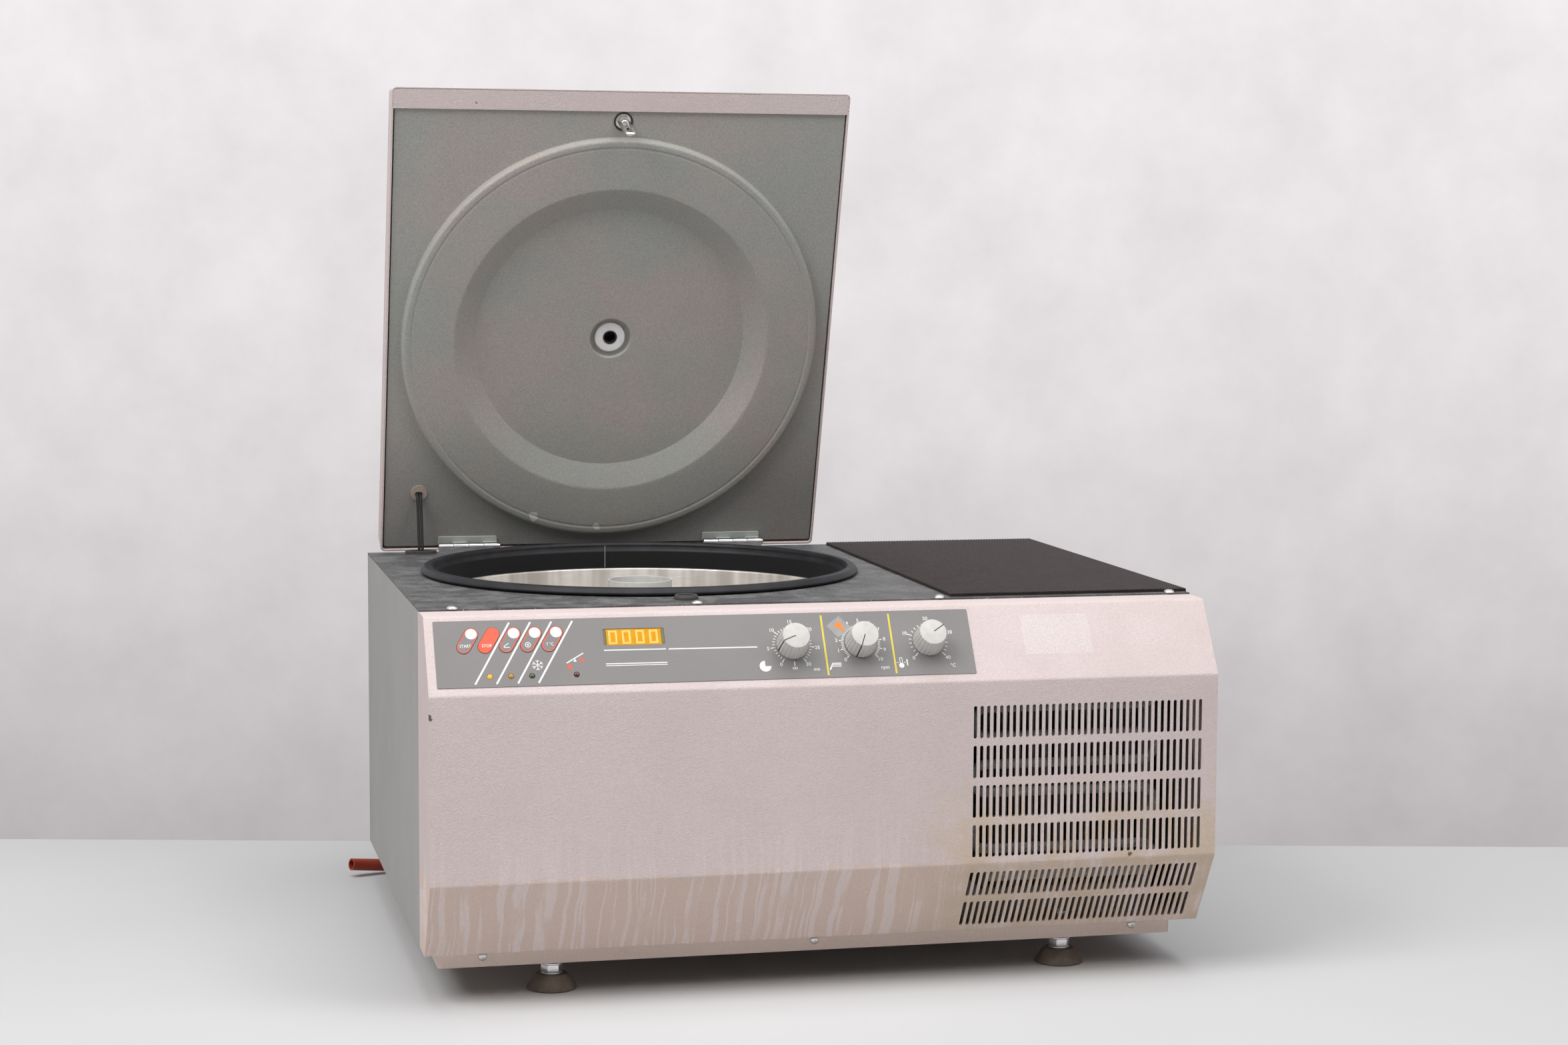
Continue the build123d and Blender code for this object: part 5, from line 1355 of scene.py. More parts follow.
def tube(line: list[Vector], strands: Outline, sides: int, bore: float = 0.0) -> Mesh:
    """Return tubes that follow a line.

    Args:
        line: The points that they follow, in metres.
        strands: Radius and sideways shift of each tube in millimetres.
        sides: Sides of each tube.
        bore: Radius of the hole in millimetres, or 0 for a solid strand with flat ends.

    Returns:
        The closed mesh in metres.
    """
    meshes = []
    for radius, shift in strands:
        work = bmesh.new()
        loops = []
        side = ACROSS
        for index, point in enumerate(line):
            ahead = (line[min(index + 1, len(line) - 1)] - line[max(index - 1, 0)]).normalized()
            side = (side - ahead * side.dot(ahead)).normalized()
            other = ahead.cross(side)
            centre = point + ACROSS * shift * MM
            radii = (radius, bore) if bore else (radius,)
            for kind, size in enumerate(radii):
                turns = [2 * math.pi * step / sides for step in range(sides)]
                ring = [
                    work.verts.new(centre + (side * math.cos(a) + other * math.sin(a)) * size * MM)
                    for a in turns
                ]
                loops.append((kind, ring))
        for kind in range(2 if bore else 1):
            rings = [ring for which, ring in loops if which == kind]
            for low, high in zip(rings, rings[1:]):
                band(work, low, high)
        for place in (0, -1):
            ends = [
                [ring for which, ring in loops if which == kind][place] for kind in range(2 if bore else 1)
            ]
            if bore:
                band(work, *ends)
            else:
                work.faces.new(ends[0])
        meshes.append(from_bmesh(work, outward=True))
    return joined(meshes)


@dataclass
class CheckCord:
    """Twin black cord from the bar in the lid down through the grommet."""

    x: float = -311.0
    lid_reach: float = 57.4
    plate_y: float = 472.5
    strand: float = 1.5
    pitch: float = 3.4
    retractor: float = 110.0

    def route(self) -> list[Vector]:
        """Return the points of the route in metres, from the lid down.

        Returns:
            The points.
        """
        lid = LAYOUT.lid()
        x = self.x - LAYOUT.bowl.x / MM
        y = LAYOUT.front + self.plate_y
        low = LAYOUT.panel_top - 2.0 - self.retractor * 0.7
        return [
            lid.at(x, self.lid_reach, -13.9),
            lid.at(x, self.lid_reach - 3.0, -7.5),
            Vector((self.x, y, LAYOUT.plate_top + 4.0)) * MM,
            Vector((self.x, y, low)) * MM,
        ]

    def build(self) -> None:
        """Make the cord, which curves from the lid down into the cabinet."""
        points = self.route()
        points.insert(2, points[1].lerp(points[2], 0.12))
        points.insert(3, points[1].lerp(points[3], 0.88))
        line = smooth_line(points)
        strands = [(self.strand, -self.pitch / 2), (self.strand, self.pitch / 2)]
        mesh = tube(line, strands, 12)
        made = piece("check_cord_twin", mesh, LOOSE, "cord_braid", Body.CABINET, smooth=50.0)
        made.parent = None
        made.matrix_world = Matrix.Identity(4)
        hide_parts("check_cord")
        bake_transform(made)


@dataclass
class FrontPanel:
    """One folded sheet with soft bends, end cheeks, rounded slots and control cut-outs."""

    sheet: float = 1.5
    bend: float = 5.0
    top_reach: float = 42.0
    knee_reach: float = 85.0
    bottom_reach: float = 39.7
    upper_knee: float = 286.0
    lower_knee: float = 117.0
    columns: int = 36
    pitch: float = 6.2
    slot_width: float = 3.3
    slot_length: float = 30.0
    grille_x: float = 239.8
    upper_rows: int = 4
    row_pitch: float = 36.6
    upper_middle: float = 193.3
    lower_rows: int = 2
    lower_pitch: float = 37.6
    lower_middle: float = 43.8
    shaft_hole: float = 3.6

    def grid_tree(self) -> GeometryTree:
        """Return the tree that repeats one slotted cell over a grid.

        Returns:
            The tree.
        """
        made = GeometryTree("slot_grid", {"Columns": 2, "Rows": 2, "Pitch": 1.0, "Row Pitch": 1.0})
        start = made.start
        wide = made.math("MULTIPLY", made.math("SUBTRACT", start["Columns"], 1.0), start["Pitch"])
        tall = made.math("MULTIPLY", made.math("SUBTRACT", start["Rows"], 1.0), start["Row Pitch"])
        grid = made.node("GeometryNodeMeshGrid", {
            "Size X": wide, "Size Y": tall, "Vertices X": start["Columns"], "Vertices Y": start["Rows"],
        })
        made.scatter(grid.outputs["Mesh"], "front_paint")
        return made

    def slots(self, tree: GeometryTree, rows: int, row_pitch: float) -> Mesh:
        """Return a flat field of slotted cells about the origin.

        Args:
            tree: The tree that repeats the cell.
            rows: Rows of slots.
            row_pitch: Height of one row.

        Returns:
            The mesh, open along its border.
        """
        cell = filled(
            [box_outline(self.pitch, row_pitch), capsule(self.slot_length, self.slot_width, 0.0, 8)]
        )
        return tree.run(cell, {
            "Columns": self.columns, "Rows": rows, "Pitch": self.pitch, "Row Pitch": row_pitch,
        })

    def face_fill(self, lines: list[float], top: float, bottom: float) -> Mesh:
        """Return the control face with its cut-outs, in shared millimetres.

        Args:
            lines: Places across where its neighbours have vertices.
            top: Distance down the face where it starts.
            bottom: Distance down the face where it ends.

        Returns:
            The flat mesh.
        """
        half = LAYOUT.half_width
        outline = [(x + half, -top) for x in lines] + [(x + half, -bottom) for x in reversed(lines)]
        face = ControlFace()
        mesh = filled([outline] + face.cutouts(self.shaft_hole))
        mesh.transform(LAYOUT.face().matrix_mm())
        return mesh

    def profile(self) -> list[tuple[float, float, str]]:
        """Return the side profile as reach, height and the kind of strip that follows.

        Returns:
            The points from top to bottom.
        """
        panel_top, base = LAYOUT.panel_top, LAYOUT.base
        line = rounded([
            (0.0, panel_top, 0.0), (self.top_reach, panel_top, self.bend),
            (self.knee_reach, self.upper_knee, self.bend),
            (self.knee_reach, self.lower_knee, self.bend), (self.bottom_reach, base, self.bend),
            (0.0, base, 0.0),
        ], 6)
        marked = [(d, z, "plain") for d, z in line]
        marked[7] = (*line[7], "face")
        upper = [
            self.upper_middle + self.row_pitch * (self.upper_rows / 2 - index)
            for index in range(self.upper_rows + 1)
        ]
        knee = Vector((self.knee_reach, self.lower_knee))
        down = (Vector((self.bottom_reach, base)) - knee).normalized()
        spans = [
            self.lower_middle + self.lower_pitch * (index - self.lower_rows / 2)
            for index in range(self.lower_rows + 1)
        ]
        lower = [tuple(knee + down * span) for span in spans]
        rows = [(self.knee_reach, z, "slots") for z in upper[:-1]] + [(self.knee_reach, upper[-1], "plain")]
        slant = [(*point, "slots") for point in lower[:-1]] + [(*lower[-1], "plain")]
        return marked[:15] + rows + marked[15:22] + slant + marked[22:]

    def shell(self) -> Mesh:
        """Return the outer skin of the folded sheet in shared millimetres.

        Returns:
            The mesh.
        """
        profile = self.profile()
        first = self.grille_x - self.columns * self.pitch / 2
        lines = [-LAYOUT.half_width] + [first + index * self.pitch for index in range(self.columns + 1)]
        lines.append(LAYOUT.half_width)
        work = bmesh.new()
        rows = [[work.verts.new((x, LAYOUT.front - d, z)) for x in lines] for d, z, _ in profile]
        for index, (_, _, kind) in enumerate(profile[:-1]):
            for column in range(len(lines) - 1):
                if kind == "face" or (kind == "slots" and 0 < column <= self.columns):
                    continue
                a, b = rows[index], rows[index + 1]
                work.faces.new((a[column], a[column + 1], b[column + 1], b[column]))
        work.faces.new([row[0] for row in rows])
        work.faces.new([row[-1] for row in reversed(rows)])
        skin = from_bmesh(work)
        corner = Vector((self.top_reach, LAYOUT.panel_top))
        top, bottom = ((Vector(point[:2]) - corner).length for point in profile[7:9])
        tree = self.grid_tree()
        upper = self.slots(tree, self.upper_rows, self.row_pitch)
        place = LAYOUT.facing(self.grille_x, LAYOUT.front - self.knee_reach, self.upper_middle)
        upper.transform(place.matrix_mm())
        lower = self.slots(tree, self.lower_rows, self.lower_pitch)
        knee = Vector((0.0, LAYOUT.front - self.knee_reach, self.lower_knee))
        foot = Vector((0.0, LAYOUT.front - self.bottom_reach, LAYOUT.base))
        up = (knee - foot).normalized()
        origin = (knee - up * self.lower_middle + ACROSS * self.grille_x) * MM
        lower.transform(Place(origin, ACROSS, up, ACROSS.cross(up)).matrix_mm())
        return joined([skin, self.face_fill(lines, top, bottom), upper, lower], 0.02)

    def build(self) -> None:
        """Make the panel from its skin, thickened inwards."""
        work = bmesh.new()
        work.from_mesh(self.shell())
        bmesh.ops.recalc_face_normals(work, faces=work.faces)
        front = max(work.faces, key=lambda face: face.calc_area() if abs(face.normal.y) > 0.9 else 0.0)
        if front.normal.y > 0:
            bmesh.ops.reverse_faces(work, faces=work.faces)
        source = linked("front_skin", from_bmesh(work))
        thick = source.modifiers.new("sheet", "SOLIDIFY")
        thick.thickness = self.sheet
        thick.offset = -1.0
        thick.use_even_offset = True
        mesh = plain_mesh(source)
        piece("front_panel_sheet", mesh, SHARED, "front_paint", Body.CABINET, ("front_panel",), 0.35)


@dataclass
class ControlFace:
    """Printed overlay with its keys, window, lamps and dial marks."""

    left: float = 8.0
    down: float = 5.5
    width: float = 490.0
    height: float = 65.0
    thick: float = 0.6
    proud: float = 0.6
    key_down: float = 25.2
    key_length: float = 27.0
    key_width: float = 12.4
    key_slant: float = 30.8
    key_depth: float = 1.6
    lamp_down: float = 60.5
    lamp_radius: float = 2.4
    lamp_behind: float = 14.0
    window: tuple[float, float, float, float] = (158.5, 16.7, 55.5, 16.4)
    gap: float = 0.3
    keys: dict[str, float] = field(default_factory=lambda: {
        "start_key": 37.3, "stop_key": 56.2, "lid_key": 75.0, "brake_key": 93.8, "cooling_key": 112.8,
    })
    lamps: dict[str, float] = field(default_factory=lambda: {
        "lamp_amber_lit": 54.7, "lamp_amber": 73.4, "lamp_green": 92.1, "lamp_red": 131.6,
    })
    knobs: tuple[float, ...] = (329.8, 393.5, 457.2)
    knob_down: float = 37.2

    def cutouts(self, shaft: float) -> list[Outline]:
        """Return the outlines of every hole in the face.

        Args:
            shaft: Radius of the holes for the knobs' shafts.

        Returns:
            The outlines, in the face's frame.
        """
        holes = []
        for left in self.keys.values():
            outline = capsule(self.key_length + 2 * self.gap, self.key_width + 2 * self.gap, self.key_slant)
            holes.append([(x + left, y - self.key_down) for x, y in outline])
        holes += [round_outline(shaft, 24, left, -self.knob_down) for left in self.knobs]
        holes += [
            round_outline(self.lamp_radius + self.gap, 24, left, -self.lamp_down)
            for left in self.lamps.values()
        ]
        x, y, wide, tall = self.window
        holes.append([(a + x + wide / 2, b - y - tall / 2) for a, b in box_outline(wide, tall, 1.6)])
        return holes

    def overlay(self, face: Place) -> None:
        """Lay the printed film.

        Args:
            face: Frame of the control face.
        """
        x0, x1, y0, y1 = self.left, self.left + self.width, -self.down - self.height, -self.down
        outline = rounded([(x0, y0, 1.0), (x1, y0, 1.0), (x1, y1, 1.0), (x0, y1, 1.0)])
        mesh = plate([outline] + self.cutouts(3.6), 0.02, self.thick)
        piece("overlay_sheet", mesh, face, "overlay_film", Body.CABINET, ("control_overlay",))

    def key_caps(self, face: Place) -> None:
        """Make the five keys with their rings, dots and marks.

        Args:
            face: Frame of the control face.
        """
        level = self.thick + self.proud
        for name, left in self.keys.items():
            spot = face.moved(left, -self.key_down)
            solid = name == "stop_key"
            cap = prism(
                capsule(self.key_length, self.key_width, self.key_slant), level - self.key_depth, level,
            )
            piece(f"{name}_cap", cap, spot, "print_coral" if solid else "overlay_film", name, (name,), 0.25)
            marks = spot.moved(0.0, 0.0, level + 0.01)
            if solid:
                word = shifted(lettering("STOP", 4.2, width=0.88), -2.1, -5.6)
                piece("stop_word", word, marks, "print_white", name)
                continue
            ring = plate([
                capsule(self.key_length - 0.5, self.key_width - 0.5, self.key_slant),
                capsule(self.key_length - 2.5, self.key_width - 2.5, self.key_slant),
            ], 0.0, 0.06)
            piece(f"{name}_ring", ring, marks, "print_coral", name)
            dot = prism(round_outline(5.1, 40, 3.7, 6.3), 0.0, 0.10)
            piece(f"{name}_dot", dot, marks, "print_white", name)
            piece(f"{name}_mark", self.key_mark(name), marks, "print_white", name)

    def key_mark(self, name: str) -> Mesh:
        """Return the word or plain symbol in the lower half of a key.

        Args:
            name: Name of the key.

        Returns:
            The mesh.
        """
        if name == "start_key":
            return shifted(lettering("START", 4.2, width=0.83), -2.1, -5.4)
        if name == "lid_key":
            return joined([bar((-6.0, -7.4), (-0.6, -7.4), 0.7), bar((-6.0, -6.6), (-1.4, -3.4), 0.7)])
        if name == "brake_key":
            ring = plate([round_outline(2.6, 28, -3.2, -5.4), round_outline(1.9, 28, -3.2, -5.4)], 0.0, 0.05)
            return joined([ring, prism(round_outline(0.9, 20, -3.2, -5.4), 0.0, 0.05)])
        return shifted(lettering("T °C", 4.0, width=0.85), -2.6, -5.4)

    def print_marks(self, face: Place) -> None:
        """Print the lines and symbols on the film.

        Args:
            face: Frame of the control face.
        """
        ink = face.moved(0.0, 0.0, self.thick + 0.01)
        white = [bar((75.5 + i * 18.9, -8.1), (41.3 + i * 18.9, -67.6), 1.7) for i in range(3)]
        white.append(bar((132.1, -7.9), (97.4, -67.6), 1.7))
        white += [bar((158.0, -37.7), (214.0, -37.9), 1.1), bar((216.5, -38.0), (297.5, -38.4), 1.2)]
        white += [bar((158.5, -51.0), (214.0, -51.2), 1.0), bar((158.5, -52.9), (214.0, -53.1), 0.7)]
        white += self.snowflake(97.7, -50.4)
        white += [
            bar((123.6, -49.2), (139.2, -39.8), 1.1),
            prism([(129.6, -48.0), (132.8, -48.0), (131.4, -45.0)], 0, 0.05),
        ]
        white.append(self.pie(302.7, -57.6))
        white += self.ramp(367.4, -59.2)
        white += self.thermometer(428.8, -57.6)
        piece("white_print", joined(white), ink, "print_white", Body.CABINET)
        red = [prism([(123.0, -54.6), (129.0, -54.6), (126.0, -49.4)], 0.0, 0.05)]
        outer, inner = [
            (134.0, -48.3), (140.2, -48.3), (137.1, -43.0),
        ], [(135.6, -47.4), (138.6, -47.4), (137.1, -44.8)]
        red.append(plate([outer, inner], 0.0, 0.05))
        piece("red_print", joined(red), ink, "print_coral", Body.CABINET)
        yellow = [bar((x, -8.4), (x, -68.3), 1.7) for x in (359.7, 423.0)]
        piece("yellow_print", joined(yellow), ink, "print_yellow", Body.CABINET)

    @staticmethod
    def snowflake(x: float, y: float) -> list[Mesh]:
        """Return a six-armed snowflake.

        Args:
            x: Its place across, in millimetres.
            y: Its place upwards, in millimetres.

        Returns:
            The meshes.
        """
        made = []
        for index in range(6):
            angle = math.radians(60 * index)
            ray = Vector((math.sin(angle), math.cos(angle)))
            side = Vector((ray.y, -ray.x))
            centre = Vector((x, y))
            made.append(bar(tuple(centre), tuple(centre + ray * 4.9), 0.65))
            for hand in (-1, 1):
                tip = centre + ray * 4.6 + side * hand * 1.5
                made.append(bar(tuple(centre + ray * 3.0), tuple(tip), 0.6))
        return made

    @staticmethod
    def pie(x: float, y: float) -> Mesh:
        """Return a disc with its upper right quarter left out.

        Args:
            x: Its place across, in millimetres.
            y: Its place upwards, in millimetres.

        Returns:
            The mesh.
        """
        turns = [math.radians(90 + 270 * index / 30) for index in range(31)]
        points = [(x + 5.4 * math.cos(a), y + 5.4 * math.sin(a)) for a in turns]
        return prism([(x, y)] + points, 0.0, 0.05)

    @staticmethod
    def ramp(x: float, y: float) -> list[Mesh]:
        """Return a rising line that levels out, with bars behind it.

        Args:
            x: Its place across, in millimetres.
            y: Its place upwards, in millimetres.

        Returns:
            The meshes.
        """
        made = [
            bar((x - 5.6, y - 3.8), (x - 2.2, y + 2.8), 1.4),
            bar((x - 2.4, y + 2.5), (x + 5.4, y + 2.5), 1.0),
        ]
        made += [
            bar((x - 2.4 - i * 0.9, y + 2.6 - i * 1.5), (x + 5.4, y + 2.6 - i * 1.5), 0.8) for i in (1, 2)
        ]
        return made

    @staticmethod
    def thermometer(x: float, y: float) -> list[Mesh]:
        """Return a thermometer with an arrow beside it.

        Args:
            x: Its place across, in millimetres.
            y: Its place upwards, in millimetres.

        Returns:
            The meshes.
        """
        made = [prism(round_outline(2.5, 24, x, y - 3.0), 0.0, 0.05)]
        made += [
            bar((x - 1.1, y - 0.9), (x - 1.1, y + 4.6), 0.6),
            bar((x + 1.1, y - 0.9), (x + 1.1, y + 4.6), 0.6),
        ]
        made += [bar((x - 1.4, y + 4.7), (x + 1.4, y + 4.7), 0.6), bar((x - 4.4, y), (x - 2.6, y), 0.6)]
        made += [bar((x + 5.6, y - 3.2), (x + 5.6, y + 3.0), 1.1), bar((x + 2.4, y), (x + 4.0, y), 0.6)]
        made.append(prism([(x + 4.4, y + 1.2), (x + 6.8, y + 1.2), (x + 5.6, y + 3.6)], 0.0, 0.05))
        return made

    def display(self, face: Place) -> None:
        """Make the amber window with four lit digits.

        Args:
            face: Frame of the control face.
        """
        x, y, wide, tall = self.window
        spot = face.moved(x + wide / 2, -y - tall / 2, -1.4)
        mesh = prism(box_outline(wide - 0.6, tall - 0.6, 1.4), 0.0, 1.5)
        piece("display_amber", mesh, spot, "amber_window", Body.CABINET, ("display_window",), 0.2)
        lit = spot.moved(0.0, 0.0, 1.51)
        ends = [
            shifted(prism(box_outline(2.6, tall - 1.2, 0.8), 0.0, 0.05), side * (wide / 2 - 1.8), 0.0)
            for side in (-1, 1)
        ]
        piece("display_ends", joined(ends), lit, "window_ends", Body.CABINET)
        strokes = []
        for index in range(4):
            middle = -19.0 + index * 12.3
            outer, inner = box_outline(7.6, 13.0, 0.5), box_outline(5.6, 11.2, 0.3)
            strokes.append(shifted(plate([outer, inner], 0.0, 0.05), middle, 0.0))
            outer, inner = box_outline(5.0, 10.6, 0.3), box_outline(4.2, 9.8, 0.2)
            strokes.append(shifted(plate([outer, inner], 0.0, 0.05), middle, 0.0))
        piece("display_digits", joined(strokes), lit, "amber_digits", Body.CABINET)

    def lamp_domes(self, face: Place) -> None:
        """Make the four indicator lamps.

        Args:
            face: Frame of the control face.
        """
        radius = self.lamp_radius
        for finish, left in self.lamps.items():
            arc = [(
                radius * math.cos(math.radians(a)),
                self.thick + 0.1 + 0.45 * radius * math.sin(math.radians(a)),
            )
                   for a in range(0, 91, 15)]
            profile = [(0.0, -self.lamp_behind), (radius, -self.lamp_behind)] + arc[:-1] + [(0.0, arc[-1][1])]
            piece(f"{finish}_dome", revolved(profile, 32, False),
                                  face.moved(left, -self.lamp_down), finish,
                                  Body.CABINET)
        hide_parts("indicator_lamps")

    def tape(self, face: Place) -> None:
        """Stick the clear tape with its orange pointer beside the middle dial.

        Args:
            face: Frame of the control face.
        """
        spot = face.moved(self.knobs[1] - 18.6, -self.knob_down + 17.0, self.thick + 0.08)
        sheet = shifted(prism(box_outline(16.5, 15.5, 1.0), 0.0, 0.06), 0.0, 0.0, 0.0, -38.0)
        piece("clear_tape", sheet, spot, "tape_film", Body.CABINET)
        pointer = prism([(1.0, 6.4), (-4.6, 0.4), (6.4, -5.4)], 0.07, 0.12)
        piece("orange_pointer", pointer, spot, "print_orange", Body.CABINET)

    def build(self) -> None:
        """Build the film and everything on it."""
        face = LAYOUT.face()
        self.overlay(face)
        self.key_caps(face)
        self.print_marks(face)
        self.display(face)
        self.lamp_domes(face)
        self.tape(face)


@dataclass
class Dial:
    """One fluted knob with its pointer line and the scale printed round it."""

    name: str
    left: float
    pointer: float
    sweep: float
    steps: int
    minor: int
    labels: tuple[str, ...]
    unit: str
    down: float = 37.2
    level: float = 0.9
    radius: float = 15.0
    top_radius: float = 12.6
    height: float = 20.0
    flutes: int = 24
    tick_start: float = 15.9
    shaft: float = 3.0
    shaft_length: float = 7.1

    def tick_tree(self) -> GeometryTree:
        """Return the tree that repeats a tick round a dial.

        Returns:
            The tree.
        """
        made = GeometryTree("dial_ticks", {"Count": 2, "First": 0.0, "Step": 1.0, "Radius": 1.0})
        start = made.start
        line = made.node("GeometryNodeMeshLine", {"Count": start["Count"]})
        index = made.node("GeometryNodeInputIndex").outputs[0]
        turned = made.math("ADD", start["First"], made.math("MULTIPLY", index, start["Step"]))
        angle = made.math("RADIANS", turned)
        across = made.math("MULTIPLY", made.math("SINE", angle), start["Radius"])
        upward = made.math("MULTIPLY", made.math("COSINE", angle), start["Radius"])
        placed = made.node("GeometryNodeSetPosition", {
            "Geometry": line.outputs[0], "Position": made.vector(across, upward),
        })
        turn = made.vector(0.0, 0.0, made.math("MULTIPLY", angle, -1.0))
        made.scatter(placed.outputs[0], "print_white", Rotation=turn)
        return made

    def ticks(self, tree: GeometryTree, count: int, step: float, length: float, width: float) -> Mesh:
        """Return a ring of ticks, from the low end of the scale to its high end.

        Args:
            tree: The tree that repeats them.
            count: Number of ticks.
            step: Angle between two ticks.
            length: Length of a tick.
            width: Width of a tick.

        Returns:
            The mesh.
        """
        return tree.run(bar((0.0, 0.0), (0.0, length), width), {
            "Count": count, "First": -self.sweep / 2, "Step": step, "Radius": self.tick_start,
        })

    def scale(self, face: Place) -> None:
        """Print the ticks, the numbers and the unit.

        Args:
            face: Frame of the control face.
        """
        tree = self.tick_tree()
        ink = face.moved(self.left, -self.down, 0.61)
        marks = [
            self.ticks(tree, self.steps + 1, self.sweep / self.steps, 4.4, 1.0),
            self.ticks(tree, self.steps * self.minor + 1, self.sweep / self.steps / self.minor, 2.4, 0.65),
        ]
        for index, label in enumerate(self.labels):
            angle = math.radians(-self.sweep / 2 + self.sweep * index / self.steps)
            reach = 22.2 + 0.5 * len(label)
            marks.append(
                shifted(lettering(label, 4.9), reach * math.sin(angle), reach * math.cos(angle) - 0.2)
            )
        marks.append(shifted(lettering(self.unit, 4.8), 19.8, -24.8))
        if self.name == "time_knob":
            marks.append(bar((0.0, -16.6), (0.0, -20.8), 0.9))
            for side in (-1, 1):
                ring = plate(
                    [round_outline(1.25, 16, side * 1.1, -23.2), round_outline(0.75, 16, side * 1.1, -23.2)],
                    0, 0.05,
                )
                marks.append(ring)
        piece(f"{self.name}_scale", joined(marks), ink, "print_white", Body.CABINET)

    def body(self, face: Place) -> None:
        """Make the knob, tapered and fluted, with a fine pointer line.

        Args:
            face: Frame of the control face.
        """
        place = face.moved(self.left, -self.down, self.level).turned(self.pointer)
        per = 12
        count = self.flutes * per
        levels = [(0.0, -0.5), (0.5, 0.0), (0.93, 0.0), (0.97, -0.15), (0.99, -0.5), (1.0, -1.2)]
        work = bmesh.new()
        rings = []
        for share, inset in levels:
            radius = self.radius + (self.top_radius - self.radius) * share + inset
            depth = 0.55 if share < 0.96 else 0.30 if share < 0.98 else 0.1
            ring = []
            for index in range(count):
                phase = index % per
                groove = depth if phase == 0 else depth * 0.45 if phase in (1, per - 1) else 0.0
                flat = radius * (1 - 0.0035 * math.sin(math.pi * phase / per))
                angle = 2 * math.pi * index / count
                ring.append(work.verts.new((
                    (flat - groove) * math.sin(angle), (flat - groove) * math.cos(angle), share * self.height,
                )))
            rings.append(ring)
        for low, high in zip(rings, rings[1:]):
            band(work, low, high)
        work.faces.new(rings[-1])
        work.faces.new(list(reversed(rings[0])))
        stem = revolved(
            [(0.0, -self.shaft_length), (self.shaft, -self.shaft_length), (self.shaft, 0.2), (0.0, 0.2)], 24,
            False,
        )
        mesh = joined([from_bmesh(work, outward=True), stem])
        piece(f"{self.name}_cap", mesh, place, "knob_plastic", self.name, (self.name,), smooth=25.0)
        line = [prism(box_outline(0.95, self.top_radius - 0.9), 0.0, 0.06)]
        shifted(line[0], 0.0, self.top_radius / 2 + 0.3, self.height)
        low, high = Vector((self.radius - 0.1, 0.4)), Vector((self.top_radius + 0.08, self.height * 0.955))
        edge = [(-0.55, low.x, low.y), (0.55, low.x, low.y), (0.55, high.x, high.y), (-0.55, high.x, high.y)]
        inner = [(x, y - 0.5, z) for x, y, z in edge]
        line.append(mesh_of(edge + inner, BLOCK_FACES))
        piece(
            f"{self.name}_pointer", joined(line), place, "dark_print_and_painted_shade", self.name,
            smooth=60.0,
        )

    def build(self) -> None:
        """Build the scale and the knob."""
        face = LAYOUT.face()
        self.scale(face)
        self.body(face)


